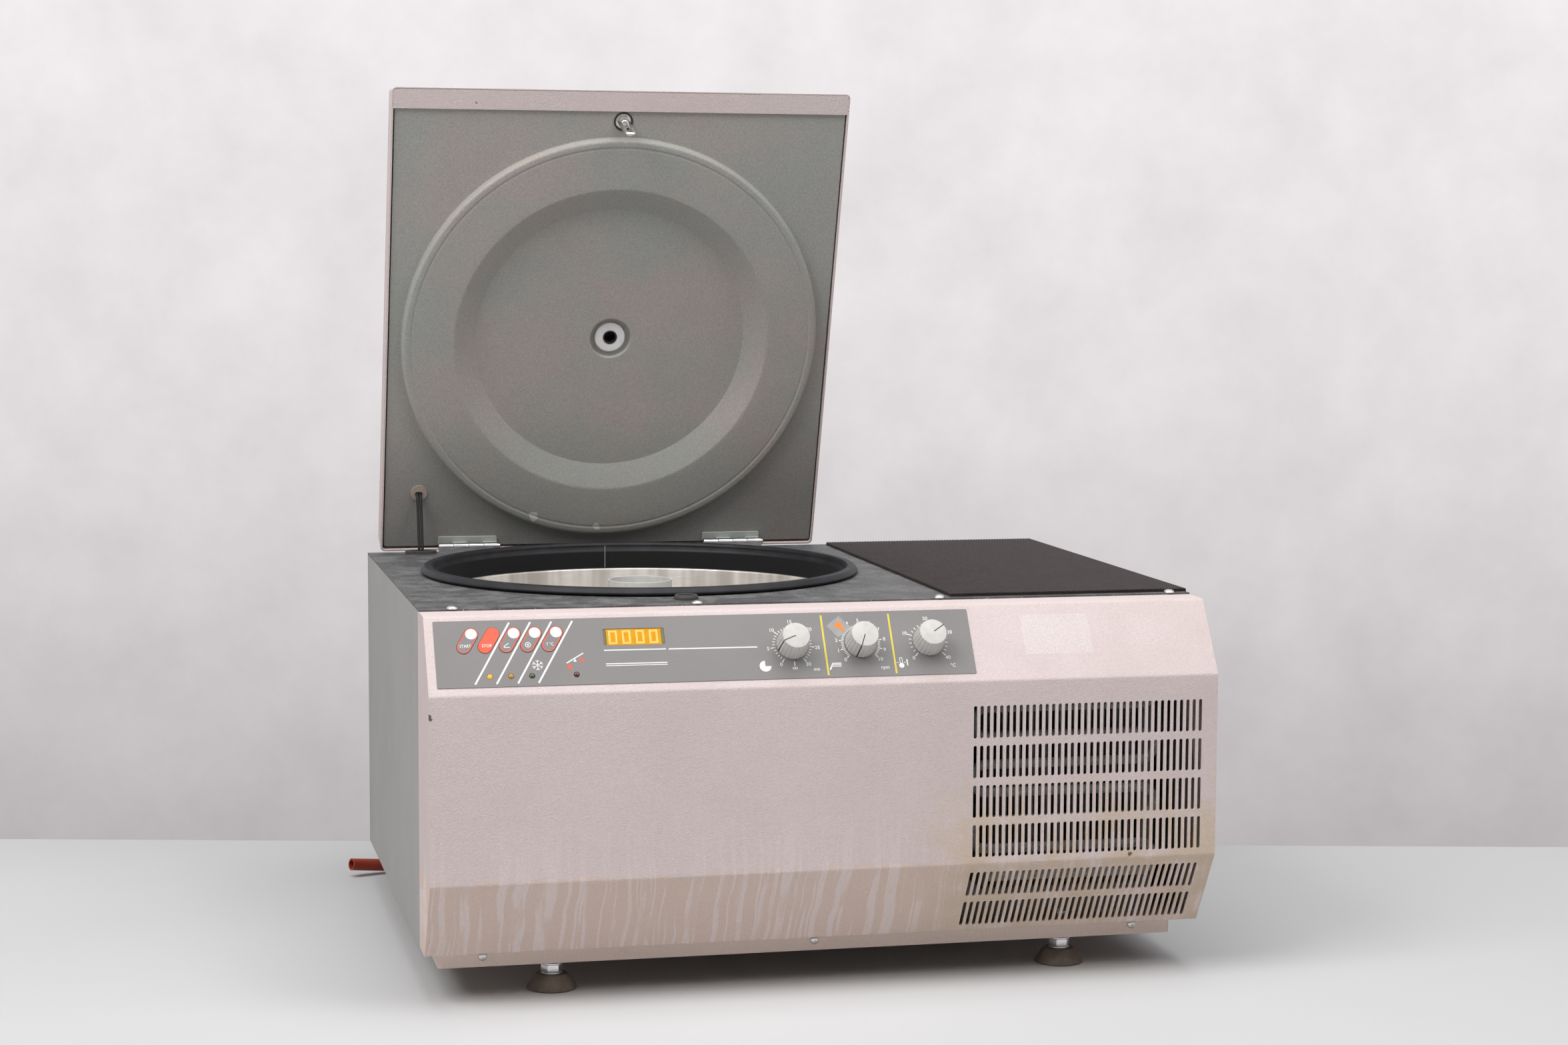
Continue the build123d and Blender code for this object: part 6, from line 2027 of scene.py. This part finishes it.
@dataclass
class BowlSet:
    """Rubber seal, spun bowl and cloudy sleeve on the bowl axis."""

    rim: float = 334.0
    floor: float = 183.0
    radius: float = 200.0
    wall: float = 1.2
    seat: float = 206.0
    collar: float = 203.0
    lip_inner: float = 206.0
    lip_outer: float = 218.0
    lip_height: float = 8.0
    sleeve: float = 32.0
    sleeve_wall: float = 1.6
    sleeve_top: float = 345.0
    boot: float = 27.0
    neck: float = 17.3

    def seal(self, place: Place) -> None:
        """Make the seal: a rolled lip, a ledge and a collar down to the bowl's rim.

        Args:
            place: Frame that it stands in.
        """
        top = LAYOUT.plate_top
        profile = rounded([
            (self.seat, self.rim + 0.1, 0.6), (self.collar, self.rim + 0.1, 0.6),
            (self.collar, top - 1.5, 1.0),
            (self.collar + 1.4, top + 1.2, 1.6), (self.lip_inner + 0.4, top + 2.6, 1.2),
            (self.lip_inner, top + self.lip_height - 2.4, 1.6),
            (self.lip_inner + 1.6, top + self.lip_height, 1.6),
            (self.lip_outer - 3.4, top + self.lip_height, 3.4),
            (self.lip_outer, top + self.lip_height - 4.4, 3.0), (self.lip_outer, top + 2.0, 1.6),
            (self.lip_outer - 3.0, top, 0.5), (self.seat, top, 0.3),
        ], 5)
        piece(
            "seal_ring", revolved(profile, 200), place, "ring_rubber", Body.CABINET, ("bowl_seal",),
            smooth=60.0,
        )
        joint = prism(box_outline(0.6, 0.3), self.rim + 1.0, top + self.lip_height - 3.0)
        spot = place.moved(-1.0, self.collar - 0.2)
        piece("seal_joint", joint, spot, "seal_bloom", Body.CABINET)

    def bowl(self, place: Place) -> None:
        """Make the spun bowl with a rolled rim.

        Args:
            place: Frame that it stands in.
        """
        inner, outer = self.radius, self.radius + self.wall
        hole = 24.0
        profile = rounded([
            (hole, self.floor - self.wall, 0.0), (outer, self.floor - self.wall, 9.0),
            (outer, self.rim - self.wall, 0.6),
            (self.seat, self.rim - self.wall, 0.0), (self.seat, self.rim, 0.0), (inner, self.rim, 1.4),
            (inner, self.floor, 7.8),
            (hole, self.floor, 0.0),
        ], 8)
        piece("spun_bowl", revolved(profile, 200), place, "bowl_steel", Body.CABINET, ("bowl",), smooth=50.0)

    def middle(self, place: Place) -> None:
        """Make the sleeve, the rubber boot and the spindle.

        Args:
            place: Frame that it stands in.
        """
        inner = self.sleeve - self.sleeve_wall
        profile = rounded([
            (inner, self.floor + 0.05, 0.0), (self.sleeve, self.floor + 0.05, 0.0),
            (self.sleeve, self.sleeve_top, 0.5),
            (inner, self.sleeve_top, 0.5),
        ], 3)
        piece(
            "sleeve_tube", revolved(profile, 96), place, "frosted_plastic", Body.CABINET, ("spindle_sleeve",),
        )
        profile = [(self.neck, self.floor + 0.05), (self.boot, self.floor + 0.05),
                   (self.boot, self.floor + 3.0),
                   (self.neck + 6.5, self.floor + 5.0), (self.neck + 3.7, self.floor + 12.0),
                   (self.neck, self.floor + 12.0)]
        piece("boot_ring", revolved(profile, 64), place, "seal_rubber", Body.CABINET, ("spindle_boot",))
        low = 200.0
        profile = rounded([
            (0.0, 68.0, 0.0), (9.0, 68.0, 0.0), (9.0, low, 0.0), (15.0, low, 0.5), (15.0, low + 8.0, 1.0),
            (10.0, 282.0, 1.0),
            (7.0, 282.0, 0.0), (7.0, 307.0, 0.8), (6.0, 308.0, 0.4), (0.0, 308.0, 0.0),
        ], 3)
        piece(
            "spindle_shaft", revolved(profile, 64, False), place, "bright_steel", Body.SPINDLE,
            ("drive_spindle",),
        )

    def build(self) -> None:
        """Build the pieces of the bowl."""
        place = LAYOUT.bowl_place()
        self.seal(place)
        self.bowl(place)
        self.middle(place)


@dataclass
class Lid:
    """Pan lid with its formed liner, port, striker and hinge leaves."""

    width: float = 472.0
    tail: float = 9.0
    reach: float = 498.4
    rim: float = -10.5
    skin: float = -40.5
    wall: float = 2.0
    corner: float = 5.0
    edge: float = 3.6
    lean: float = 8.5
    lip: float = 22.0
    liner_width: float = 465.0
    liner_tail: float = 4.0
    liner_reach: float = 490.4
    liner: float = -12.5
    middle: float = 229.0
    disc_radius: float = 219.4
    disc: float = -3.9
    recess_radius: float = 166.3
    recess_floor: float = 142.3
    recess: float = -16.9
    well_radius: float = 21.5
    well: float = -22.9
    ring_radius: float = 16.2
    neck_radius: float = 11.0
    bore: float = 6.6
    striker: float = 465.5
    cord_shift: float = -197.0
    cord_reach: float = 57.4
    hinge_shift: float = 143.7
    hinge_length: float = 64.0

    def ring(self, inset: float, level: float) -> list[Vector]:
        """Return one outline of the pan, inset from its outside.

        Args:
            inset: Distance inside the outer faces.
            level: Its level.

        Returns:
            The points.
        """
        lean = self.lean * (self.rim - level) / (self.rim - self.skin)
        wide, tall = self.width - 2 * inset, self.reach + self.tail - 2 * inset - lean
        shift = (self.reach - self.tail - lean) / 2
        outline = box_outline(wide, tall, max(self.corner - inset, 0.8))
        return [Vector((x, y + shift, level)) for x, y in outline]

    def pan(self, place: Place) -> None:
        """Make the pan with soft outer edges and a wide lip across its front.

        Args:
            place: Frame that it stands in.
        """
        rings = [
            self.ring(self.wall, self.skin + self.wall), self.ring(self.wall, self.rim),
            self.ring(0.0, self.rim),
        ]
        for step in range(7):
            angle = math.radians(15 * step)
            rings.append(
                self.ring(self.edge * (1 - math.cos(angle)), self.skin + self.edge * (1 - math.sin(angle)))
            )
        work = bmesh.new()
        loops = [[work.verts.new(point) for point in ring] for ring in rings]
        for low, high in zip(loops, loops[1:]):
            band(work, low, high)
        hole = round_outline(self.neck_radius + 0.3, 48, 0.0, self.middle)
        levels = (self.skin + self.wall, self.skin)
        band(work, *([work.verts.new((x, y, level)) for x, y in hole] for level in levels))
        sides = [from_bmesh(work)]
        for ring, level in ((rings[0], levels[0]), (rings[-1], levels[1])):
            fill = filled([[(point.x, point.y) for point in ring], hole])
            sides.append(shifted(fill, 0.0, 0.0, level))
        mesh = joined(sides, 0.01, outward=True)
        front = self.reach - self.wall / 2
        lip = prism(rounded([
            (-self.width / 2 + 1.2, front - self.lip + 1.0, 0.0),
            (self.width / 2 - 1.2, front - self.lip + 1.0, 0.0),
            (self.width / 2 - 1.2, front, 3.5), (-self.width / 2 + 1.2, front, 3.5),
        ]), self.rim - self.wall, self.rim)
        piece("lid_pan", joined([mesh, lip]), place, "lid_paint", Body.LID, ("lid_shell",), 0.5, 40.0)

    def liner_sheet(self, place: Place) -> None:
        """Make the liner with its beaded disc, sloping recess and port well.

        Args:
            place: Frame that it stands in.
        """
        shift = (self.liner_reach - self.liner_tail) / 2
        outline = [
            (x, y + shift) for x, y in box_outline(self.liner_width, self.liner_reach + self.liner_tail, 3.0)
        ]
        holes = [
            round_outline(self.disc_radius - 0.6, 200, 0.0, self.middle),
            round_outline(8.6, 40, 0.0, self.striker),
            round_outline(8.2, 40, self.cord_shift, self.cord_reach),
        ]
        sheet = plate([outline] + holes, self.liner - 2.0, self.liner)
        piece("liner_sheet", sheet, place, "liner_paint", Body.LID, ("lid_liner",))
        face, low, wall = self.disc, self.recess, 2.0
        bead = self.disc_radius

        def slope(share: float) -> tuple[float, float, float]:
            """Return the point a share of the way down the sloping wall of the recess.

            Args:
                share: Share of the way down.

            Returns:
                The point, with the radius of its corner.
            """
            return (
                self.recess_radius + share * (self.recess_floor - self.recess_radius),
                face + share * (low - face), 0.0,
            )

        front = rounded([
            (bead - 0.6, self.liner - 2.0, 0.0), (bead + 2.4, self.liner + 0.02, 0.0),
            (bead, self.liner + 0.02, 1.6), (bead, face + 0.3, 4.5),
            (bead - 7.0, face + 0.3, 3.0), (bead - 8.8, face - 0.35, 1.5), (bead - 10.8, face, 1.5),
            (bead - 15.0, face, 0.0),
            (self.recess_radius + 9.0, face, 0.0), (self.recess_radius, face, 7.0), slope(0.35), slope(0.94),
            (self.recess_floor, low, 0.7), (self.recess_floor - 2.5, low, 0.0),
            (self.well_radius + 3.0, low, 0.0),
            (self.well_radius, low, 0.8), (self.well_radius, self.well, 0.8),
            (self.neck_radius + 0.3, self.well, 0.0), (self.neck_radius + 0.3, self.well - wall, 0.0),
            (self.well_radius + wall, self.well - wall, 0.0), (self.well_radius + wall, low - wall, 0.0),
            (self.recess_floor - 1.0, low - wall, 1.0), (self.recess_radius - 1.0, face - wall, 1.0),
            (bead - 4.0, face - wall, 1.0), (bead - 4.0, self.liner - 2.0, 0.0),
        ], 5)
        spot = place.moved(0.0, self.middle)
        piece(
            "liner_disc", revolved(front, 200), spot, "liner_paint", Body.LID, smooth=45.0,
        )

    def port(self, place: Place) -> None:
        """Make the white bush with painted shade in its bore, and its window, painted near black as shade.

        Args:
            place: Frame that it stands in.
        """
        spot = place.moved(0.0, self.middle)
        top = self.well + 2.5
        profile = rounded([
            (self.bore, self.skin + 3.0, 0.0), (self.bore, top, 0.8), (self.ring_radius, top, 1.6),
            (self.ring_radius, self.well + 0.05, 0.0),
            (self.neck_radius, self.well + 0.05, 0.0), (self.neck_radius, self.skin, 0.4),
            (self.bore + 2.6, self.skin, 0.0),
            (self.bore + 2.6, self.skin + 3.0, 0.0),
        ], 4)
        piece("port_bush_ring", revolved(profile, 72), spot, "white_moulding", Body.LID, ("port_bush",))
        # Painted shade: a thin dark sleeve over the bush's bore, where the bore lies in shade.
        bore_shade = [(self.bore - 0.5, self.skin + 3.1), (self.bore - 0.5, top + 0.35),
                  (self.bore + 0.9, top + 0.35),
                  (self.bore + 0.9, top + 0.02), (self.bore - 0.05, top + 0.02),
                  (self.bore - 0.05, self.skin + 3.1)]
        piece("port_lining", revolved(bore_shade, 64), spot, "dark_print_and_painted_shade", Body.LID)
        # Painted shade: the pane is near black for the dark chamber seen through it.
        pane = prism(round_outline(self.bore + 2.5, 48), self.skin + 0.05, self.skin + 2.9)
        piece("port_pane", pane, spot, "painted_shade_glass", Body.LID, ("port_window",))

    def striker_loop(self, place: Place) -> None:
        """Make the loop with its washer and nut.

        Args:
            place: Frame that it stands in.
        """
        spot = place.moved(0.0, self.striker)
        wire, half, tip = 2.3, 3.9, 30.0
        start = self.liner + 4.5
        line = [Vector((half, 0.0, start)), Vector((half, 0.0, tip))]
        line += [
            Vector((half * math.cos(math.radians(a)), 0.0, tip + half * math.sin(math.radians(a))))
            for a in range(15, 180, 15)
        ]
        line += [Vector((-half, 0.0, tip)), Vector((-half, 0.0, start))]
        loop = tube([point * MM for point in line], [(wire, 0.0)], 16)
        loop.transform(Matrix.Scale(1000.0, 4))
        collar = revolved(rounded([
            (0.0, -26.0, 0.0), (3.0, -26.0, 0.4), (3.0, -9.0, 0.0), (4.1, -9.0, 0.4), (4.1, -3.4, 1.2),
            (0.0, -2.6, 0.0),
        ], 3), 40, False)
        piece(
            "striker_loop", joined([loop, collar]), spot, "bright_steel", Body.LID, ("striker_eye",),
            smooth=50.0,
        )
        back = self.liner - 2.0
        washer = plate([round_outline(7.5, 48), round_outline(3.1, 24)], back + 0.05, back + 1.2)
        nut = plate([hexagon(11.5), round_outline(3.1, 24)], back + 1.25, back + 6.2)
        rear = plate([hexagon(10.0), round_outline(3.1, 24)], back - 7.0, back - 3.05)
        piece(
            "striker_washers", joined([washer, nut, rear]), spot, "bright_steel", Body.LID,
            ("striker_nuts",), 0.3,
        )
        # Painted shade: a flat dark ring round the hole stands for the shaded wall of its counterbore.
        rim = plate([round_outline(9.9, 48), round_outline(8.1, 48)], self.liner + 0.02, self.liner + 0.9)
        piece("striker_hole_edge", rim, spot, "dark_print_and_painted_shade", Body.LID)

    def hinge_leaves(self, place: Place) -> None:
        """Make the painted leaves and the chromed knuckles of both hinges.

        Args:
            place: Frame that it stands in.
        """
        pitch = self.hinge_length / 4
        knuckles = {Body.LID: [], Body.CABINET: []}
        leaves = []
        for side in (-1, 1):
            start = side * self.hinge_shift - self.hinge_length / 2
            leaf = prism(rounded([
                (start + 0.5, -2.4, 0.0), (start + self.hinge_length - 0.5, -2.4, 0.0),
                (start + self.hinge_length - 0.5, 6.6, 1.5), (start + 0.5, 6.6, 1.5),
            ]), self.liner + 0.05, self.liner + 1.5)
            leaves.append(leaf)
            for index in range(4):
                profile = rounded([
                    (2.05, 0.2, 0.0), (4.0, 0.2, 0.35), (4.0, pitch - 0.2, 0.35), (2.05, pitch - 0.2, 0.0),
                ], 3)
                roll = revolved(profile, 40)
                roll.transform(Matrix.Translation(
                    (start + index * pitch, 0.0, 0.0)
                ) @ Matrix.Rotation(math.pi / 2, 4, "Y"))
                knuckles[Body.LID if index % 2 else Body.CABINET].append(roll)
                if index % 2:
                    tab = prism([(start + index * pitch + 0.4, -1.2),
                                 (start + (index + 1) * pitch - 0.4, -1.2),
                                 (start + (index + 1) * pitch - 0.4, 0.4),
                                 (start + index * pitch + 0.4, 0.4)], self.liner + 1.0, -3.4)
                    leaves.append(tab)
        piece("lid_leaves", joined(leaves), place, "leaf_paint", Body.LID, ("lid_hinge_leaves",), 0.3)
        level = Place(place.origin, ACROSS, UPWARD, -INWARD)
        piece(
            "lid_knuckles", joined(knuckles[Body.LID]), place, "hinge_chrome", Body.LID,
        )
        rear = LAYOUT.backing(0.0, LAYOUT.rear + 0.05, LAYOUT.hinge.z / MM)
        for side in (-1, 1):
            middle = -(LAYOUT.bowl.x / MM + side * self.hinge_shift)
            plate_leaf = shifted(prism(box_outline(self.hinge_length, 17.6, 1.5), 0.0, 1.45), middle, -9.0)
            plate_leaf.transform(rear.matrix())
            plate_leaf.transform(level.matrix().inverted())
            knuckles[Body.CABINET].append(plate_leaf)
        piece(
            "cabinet_knuckles", joined(knuckles[Body.CABINET]), level, "hinge_chrome", Body.CABINET,
            ("cabinet_hinge_leaves",),
        )

    def plug(self, place: Place) -> None:
        """Make the flanged plug that the check cord leaves the liner through.

        Args:
            place: Frame that it stands in.
        """
        spot = place.moved(self.cord_shift, self.cord_reach)
        slot = [(y, x - 0.9) for x, y in capsule(8.2, 4.6, 0.0)]
        parts = [plate([round_outline(radius, 48), list(reversed(slot))], low,
            high) for radius, low, high in (
            (7.9, self.liner - 2.6, self.liner), (8.7, self.liner + 0.02, self.liner + 1.3),
        )]
        piece("cord_plug", joined(parts), spot, "plug_beige", Body.LID, bevel=0.4)

    def foam(self, place: Place) -> None:
        """Make the foam, cut back where the pan's front wall leans in.

        Args:
            place: Frame that it stands in.
        """
        half, margin = self.width / 2, self.wall + 4.0
        tail, front = margin - self.tail, self.reach - margin - self.lean
        outline = [
            (margin - half, tail), (half - margin, tail), (half - margin, front), (margin - half, front),
        ]
        holes = [
            round_outline(self.well_radius + self.wall + 0.2, 64, 0.0, self.middle),
            round_outline(10.0, 40, 0.0, self.striker),
        ]
        block = plate([outline] + holes, self.skin + self.wall + 0.05, self.recess - self.wall - 0.25)
        piece("lid_foam", block, place, "foam_buff", Body.LID, ("lid_insulation",))

    def build(self) -> None:
        """Build the lid's pieces."""
        place = LAYOUT.lid()
        self.foam(place)
        self.pan(place)
        self.liner_sheet(place)
        self.port(place)
        self.striker_loop(place)
        self.hinge_leaves(place)
        self.plug(place)


@dataclass
class TopFittings:
    """Ribbed mat, grommets and dome screws on the top plate and the plinth."""

    mat_left: float = 132.0
    mat_front: float = 1.5
    mat_depth: float = 482.0
    mat_base: float = 2.2
    rib_height: float = 1.0
    rib_pitch: float = 3.026
    ribs: int = 77
    latch_reach: float = 30.5
    cord_x: float = -311.0
    cord_back: float = 472.5
    screw_radius: float = 5.2
    screw_height: float = 3.2
    top_screws: tuple[float, ...] = (-334.6, -111.0, 119.0, 345.7)
    plinth_screws: tuple[float, ...] = (-309.5, 0.0, 311.0)

    def rib_tree(self) -> GeometryTree:
        """Return the tree that lays ribs side by side.

        Returns:
            The tree.
        """
        made = GeometryTree("mat_ribs", {"Count": 2, "Pitch": 1.0})
        step = made.vector(made.start["Pitch"], 0.0)
        line = made.node("GeometryNodeMeshLine", {"Count": made.start["Count"], "Offset": step})
        made.scatter(line.outputs[0], "mat_rubber")
        return made

    def mat(self) -> None:
        """Make the mat with its rounded ribs from front to back."""
        width = LAYOUT.half_width - self.mat_left
        place = LAYOUT.upright(self.mat_left, LAYOUT.front + self.mat_front, LAYOUT.plate_top + 0.05)
        base = prism(
            [(0.0, 0.0), (width, 0.0), (width, self.mat_depth), (0.0, self.mat_depth)], 0.0, self.mat_base,
        )
        half = self.rib_pitch * 0.36
        section = [
            (-half, -0.2), (half, -0.2), (half * 0.85, 0.62), (half * 0.45, 0.95), (0.0, 1.02),
            (-half * 0.45, 0.95), (-half * 0.85, 0.62),
        ]
        ends = (-0.5, self.mat_depth + 0.5)
        points = [(x, y, self.mat_base + z * self.rib_height) for y in ends for x, z in section]
        count = len(section)
        faces = [tuple(reversed(range(count))), tuple(range(count, 2 * count))]
        faces += [(i, (i + 1) % count, (i + 1) % count + count, i + count) for i in range(count)]
        rib = joined([mesh_of(points, faces)], outward=True)
        laid = self.rib_tree().run(rib, {"Count": self.ribs, "Pitch": self.rib_pitch})
        shifted(laid, self.rib_pitch / 2, 0.0)
        piece("ribbed_mat", joined([base, laid]), place, "mat_rubber", Body.CABINET, ("rubber_mat",))

    def grommets(self) -> None:
        """Make the two rubber grommets."""
        top = LAYOUT.plate_top
        place = LAYOUT.upright(LAYOUT.bowl.x / MM, LAYOUT.front + self.latch_reach, top)
        profile = rounded([
            (8.0, -2.5, 0.4), (9.2, -2.5, 0.4), (9.2, 0.05, 0.0), (11.6, 0.05, 0.3), (11.3, 2.0, 0.8),
            (10.2, 4.4, 1.3),
            (8.0, 4.4, 0.7),
        ], 4)
        piece(
            "latch_hole_grommet", revolved(profile, 64), place, "grommet_rubber", Body.CABINET,
            ("latch_grommet",),
        )
        place = LAYOUT.upright(self.cord_x, LAYOUT.front + self.cord_back, top)
        outer = [(y, -x) for x, y in capsule(33.0, 20.0, 0.0, 14)]
        inner = [(y, -x) for x, y in capsule(22.0, 9.0, 0.0, 14)]
        neck = [(y, -x) for x, y in capsule(26.4, 13.4, 0.0, 14)]
        mesh = joined([plate([outer, inner], 0.05, 3.4), plate([neck, inner], -1.5, 0.05)])
        piece("cord_hole_grommet", mesh, place, "grommet_rubber", Body.CABINET, ("cord_grommet",), 1.1)

    def screw(self, share: float = 1.0) -> Mesh:
        """Return one dome-headed screw with a recess, on its own axis, its head a share of full size.

        Args:
            share: Share of the full size.

        Returns:
            The mesh.
        """
        radius, height = self.screw_radius * share, self.screw_height * share
        dome = [
            (radius * math.cos(math.radians(a)), 0.35 + (height - 0.35) * math.sin(math.radians(a)))
            for a in range(0, 71, 10)
        ]
        inner = [(1.6, height - 0.15), (1.45, height - 1.8), (0.0, height - 2.0)]
        profile = [(0.0, -5.0), (2.0, -5.0), (2.0, 0.05), (radius, 0.05)] + dome + inner
        return revolved(profile, 36, False)

    def screws(self) -> None:
        """Set the screws of the top joint and the plinth."""
        made = []
        for x in self.top_screws:
            made.append(shifted(self.screw(), x, LAYOUT.front - 4.0, LAYOUT.plate_top))
        for x in self.plinth_screws:
            screw = self.screw(0.78)
            screw.transform(
                Matrix.Translation((x, LAYOUT.front - 10.4, 36.0)) @ Matrix.Rotation(math.pi / 2, 4, "X")
            )
            made.append(screw)
        piece("dome_screws", joined(made), SHARED, "bright_steel", Body.CABINET, ("case_screws",))

    def build(self) -> None:
        """Build the mat, the grommets and the screws."""
        self.mat()
        self.grommets()
        self.screws()


@dataclass
class Feet:
    """Four rubber cones on studs with nuts and washers."""

    radius: float = 23.0
    top: float = 14.5
    height: float = 14.0
    stud: float = 5.0
    nut: float = 17.5
    nut_height: float = 7.2
    flange: float = 9.7
    washer: float = 10.4
    stud_top: float = 52.0
    jam_nut: tuple[float, float] = (36.5, 4.9)
    tray_washer: tuple[float, float, float] = (41.5, 13.0, 1.95)
    places: tuple[tuple[float, float], ...] = ((-244.0, 5.0), (244.0, 5.0), (-244.0, 430.0), (244.0, 430.0))

    def build(self) -> None:
        """Build every foot."""
        pads, metal = [], []
        for x, y in self.places:
            cone = revolved(rounded([
                (0.0, 0.0, 0.0), (self.radius - 0.6, 0.0, 0.6), (self.radius, 1.2, 0.8),
                (self.radius - 1.0, 3.6, 1.0),
                (self.top, self.height, 1.4), (0.0, self.height, 0.0),
            ], 4), 72, False)
            pads.append(shifted(cone, x, LAYOUT.front + y))
            low = self.height + 0.3
            line = [(0.0, 14.05), (self.stud, 14.05), (self.stud, self.stud_top), (0.0, self.stud_top)]
            parts = [revolved(line, 32, False)]
            parts += [self.hex_nut(low + 1.3, self.nut_height), self.hex_nut(*self.jam_nut)]
            for start, radius, thick in (
                (low, self.flange, 1.2), (low + self.nut_height + 1.4, self.washer, 1.8), self.tray_washer,
            ):
                parts.append(revolved(rounded([
                    (self.stud, start, 0.0), (radius, start, 0.4), (radius, start + thick, 0.4),
                    (self.stud, start + thick, 0.0),
                ], 3), 48))
            parts.append(self.hex_nut(45.05, 5.0))
            metal += [shifted(part, x, LAYOUT.front + y) for part in parts]
        piece("rubber_feet", joined(pads), SHARED, "foot_rubber", Body.CABINET, ("foot_pads",))
        piece("foot_metal", joined(metal), SHARED, "zinc_plate", Body.CABINET, ("foot_studs",), smooth=30.0)

    def hex_nut(self, start: float, height: float = 5.0) -> Mesh:
        """Return a nut round the stud from a height upwards.

        Args:
            start: Its lower face.
            height: Its height.

        Returns:
            The mesh.
        """
        mesh = plate([hexagon(self.nut), round_outline(self.stud, 24)], start, start + height)
        work = bmesh.new()
        work.from_mesh(mesh)
        edges = [edge for edge in work.edges if edge.is_manifold and abs(edge.calc_face_angle(0.0)) > 0.6
                 and min(vertex.co.xy.length for vertex in edge.verts) > self.stud + 1.0]
        bmesh.ops.bevel(work, geom=edges, offset=0.5, segments=2, profile=0.5, affect="EDGES")
        return from_bmesh(work)


@dataclass
class RearDetails:
    """Louvre hoods over the slots of the rear panel."""

    x: float = 239.8
    z: float = 242.12
    rows: int = 9
    pitch: float = 14.0
    length: float = 80.0
    depth: float = 4.0

    def hood_tree(self) -> GeometryTree:
        """Return the tree that repeats a hood up a column.

        Returns:
            The tree.
        """
        made = GeometryTree("louvre_hoods", {"Count": 2, "Pitch": 1.0})
        step = made.vector(0.0, made.start["Pitch"])
        line = made.node("GeometryNodeMeshLine", {"Count": made.start["Count"], "Offset": step})
        made.scatter(line.outputs[0], "side_paint")
        return made

    def build(self) -> None:
        """Build the hoods."""
        half, depth, tall = self.length / 2, self.depth, self.pitch / 2
        points = [(-half, tall, 0.05), (half, tall, 0.05), (half, -tall / 2, depth),
                  (-half, -tall / 2, depth),
                  (-half, tall - 1.2, 0.05), (half, tall - 1.2, 0.05), (half, -tall / 2, depth - 1.0),
                  (-half, -tall / 2, depth - 1.0)]
        hood = joined([mesh_of(points, BLOCK_FACES)], outward=True)
        tree = self.hood_tree()
        columns = []
        for side in (-1, 1):
            mesh = tree.run(hood.copy(), {"Count": self.rows, "Pitch": self.pitch})
            left = -side * (self.length + self.pitch) / 2
            columns.append(shifted(mesh, left, -self.pitch * (self.rows - 1) / 2))
        piece("louvre_hoods", joined(columns), LAYOUT.backing(self.x, LAYOUT.rear, self.z), "side_paint",
              Body.CABINET,
              bevel=0.3)


@dataclass
class Workings:
    """Finishes of the solids that stay as packed."""

    finishes: dict[str, tuple[str, ...]] = field(default_factory=lambda: {
        "side_paint": ("left_side_panel", "right_side_panel", "rear_panel"),
        "plate_paint": ("top_plate",),
        "plinth_paint": ("base_tray",),
        "board_green": ("control_board",),
        "foam_buff": ("chamber_insulation",),
        "zinc_plate": (
            "chamber_shelf", "partition", "latch_bracket", "latch_pawl", "striker_plate", "cord_anchor",
        ),
        "fin_metal": ("fan_shroud",),
        "black_enamel": ("motor_housing", "compressor", "fan_motor", "latch_solenoid", "fan", "mains_inlet",
                         "cord_retractor", "drain_elbow"),
        "seal_rubber": ("motor_mounts",),
        "condenser_black": ("condenser_fins",),
        "tube_black": ("condenser_tube",),
        "hinge_chrome": ("hinge_pins",),
    })

    def build(self) -> None:
        """Dress the solids."""
        for finish, names in self.finishes.items():
            dress(list(names), finish)


def main() -> None:
    """Build every sub-assembly in order."""
    logging.basicConfig(level=logging.INFO, format="%(message)s")
    dials = (
        Dial("time_knob", 329.8, -112.0, 294.0, 6, 5, ("0", "5", "10", "15", "20", "25", "30"), "mn"),
        Dial("speed_knob", 393.5, -158.0, 270.0, 10, 5, tuple(str(index) for index in range(11)), "rpm"),
        Dial("temperature_knob", 457.2, 57.0, 271.0, 4, 5, ("0", "10", "20", "30", "40"), "°C"),
    )
    builders = (
        Studio(), DrainHose(), CheckCord(), FrontPanel(), ControlFace(), *dials, BowlSet(), Lid(),
        TopFittings(), Feet(),
        RearDetails(), Workings(),
    )
    for builder in builders:
        builder.build()
        LOG.info("%s finished", type(builder).__name__)


if __name__ == "__main__":
    main()
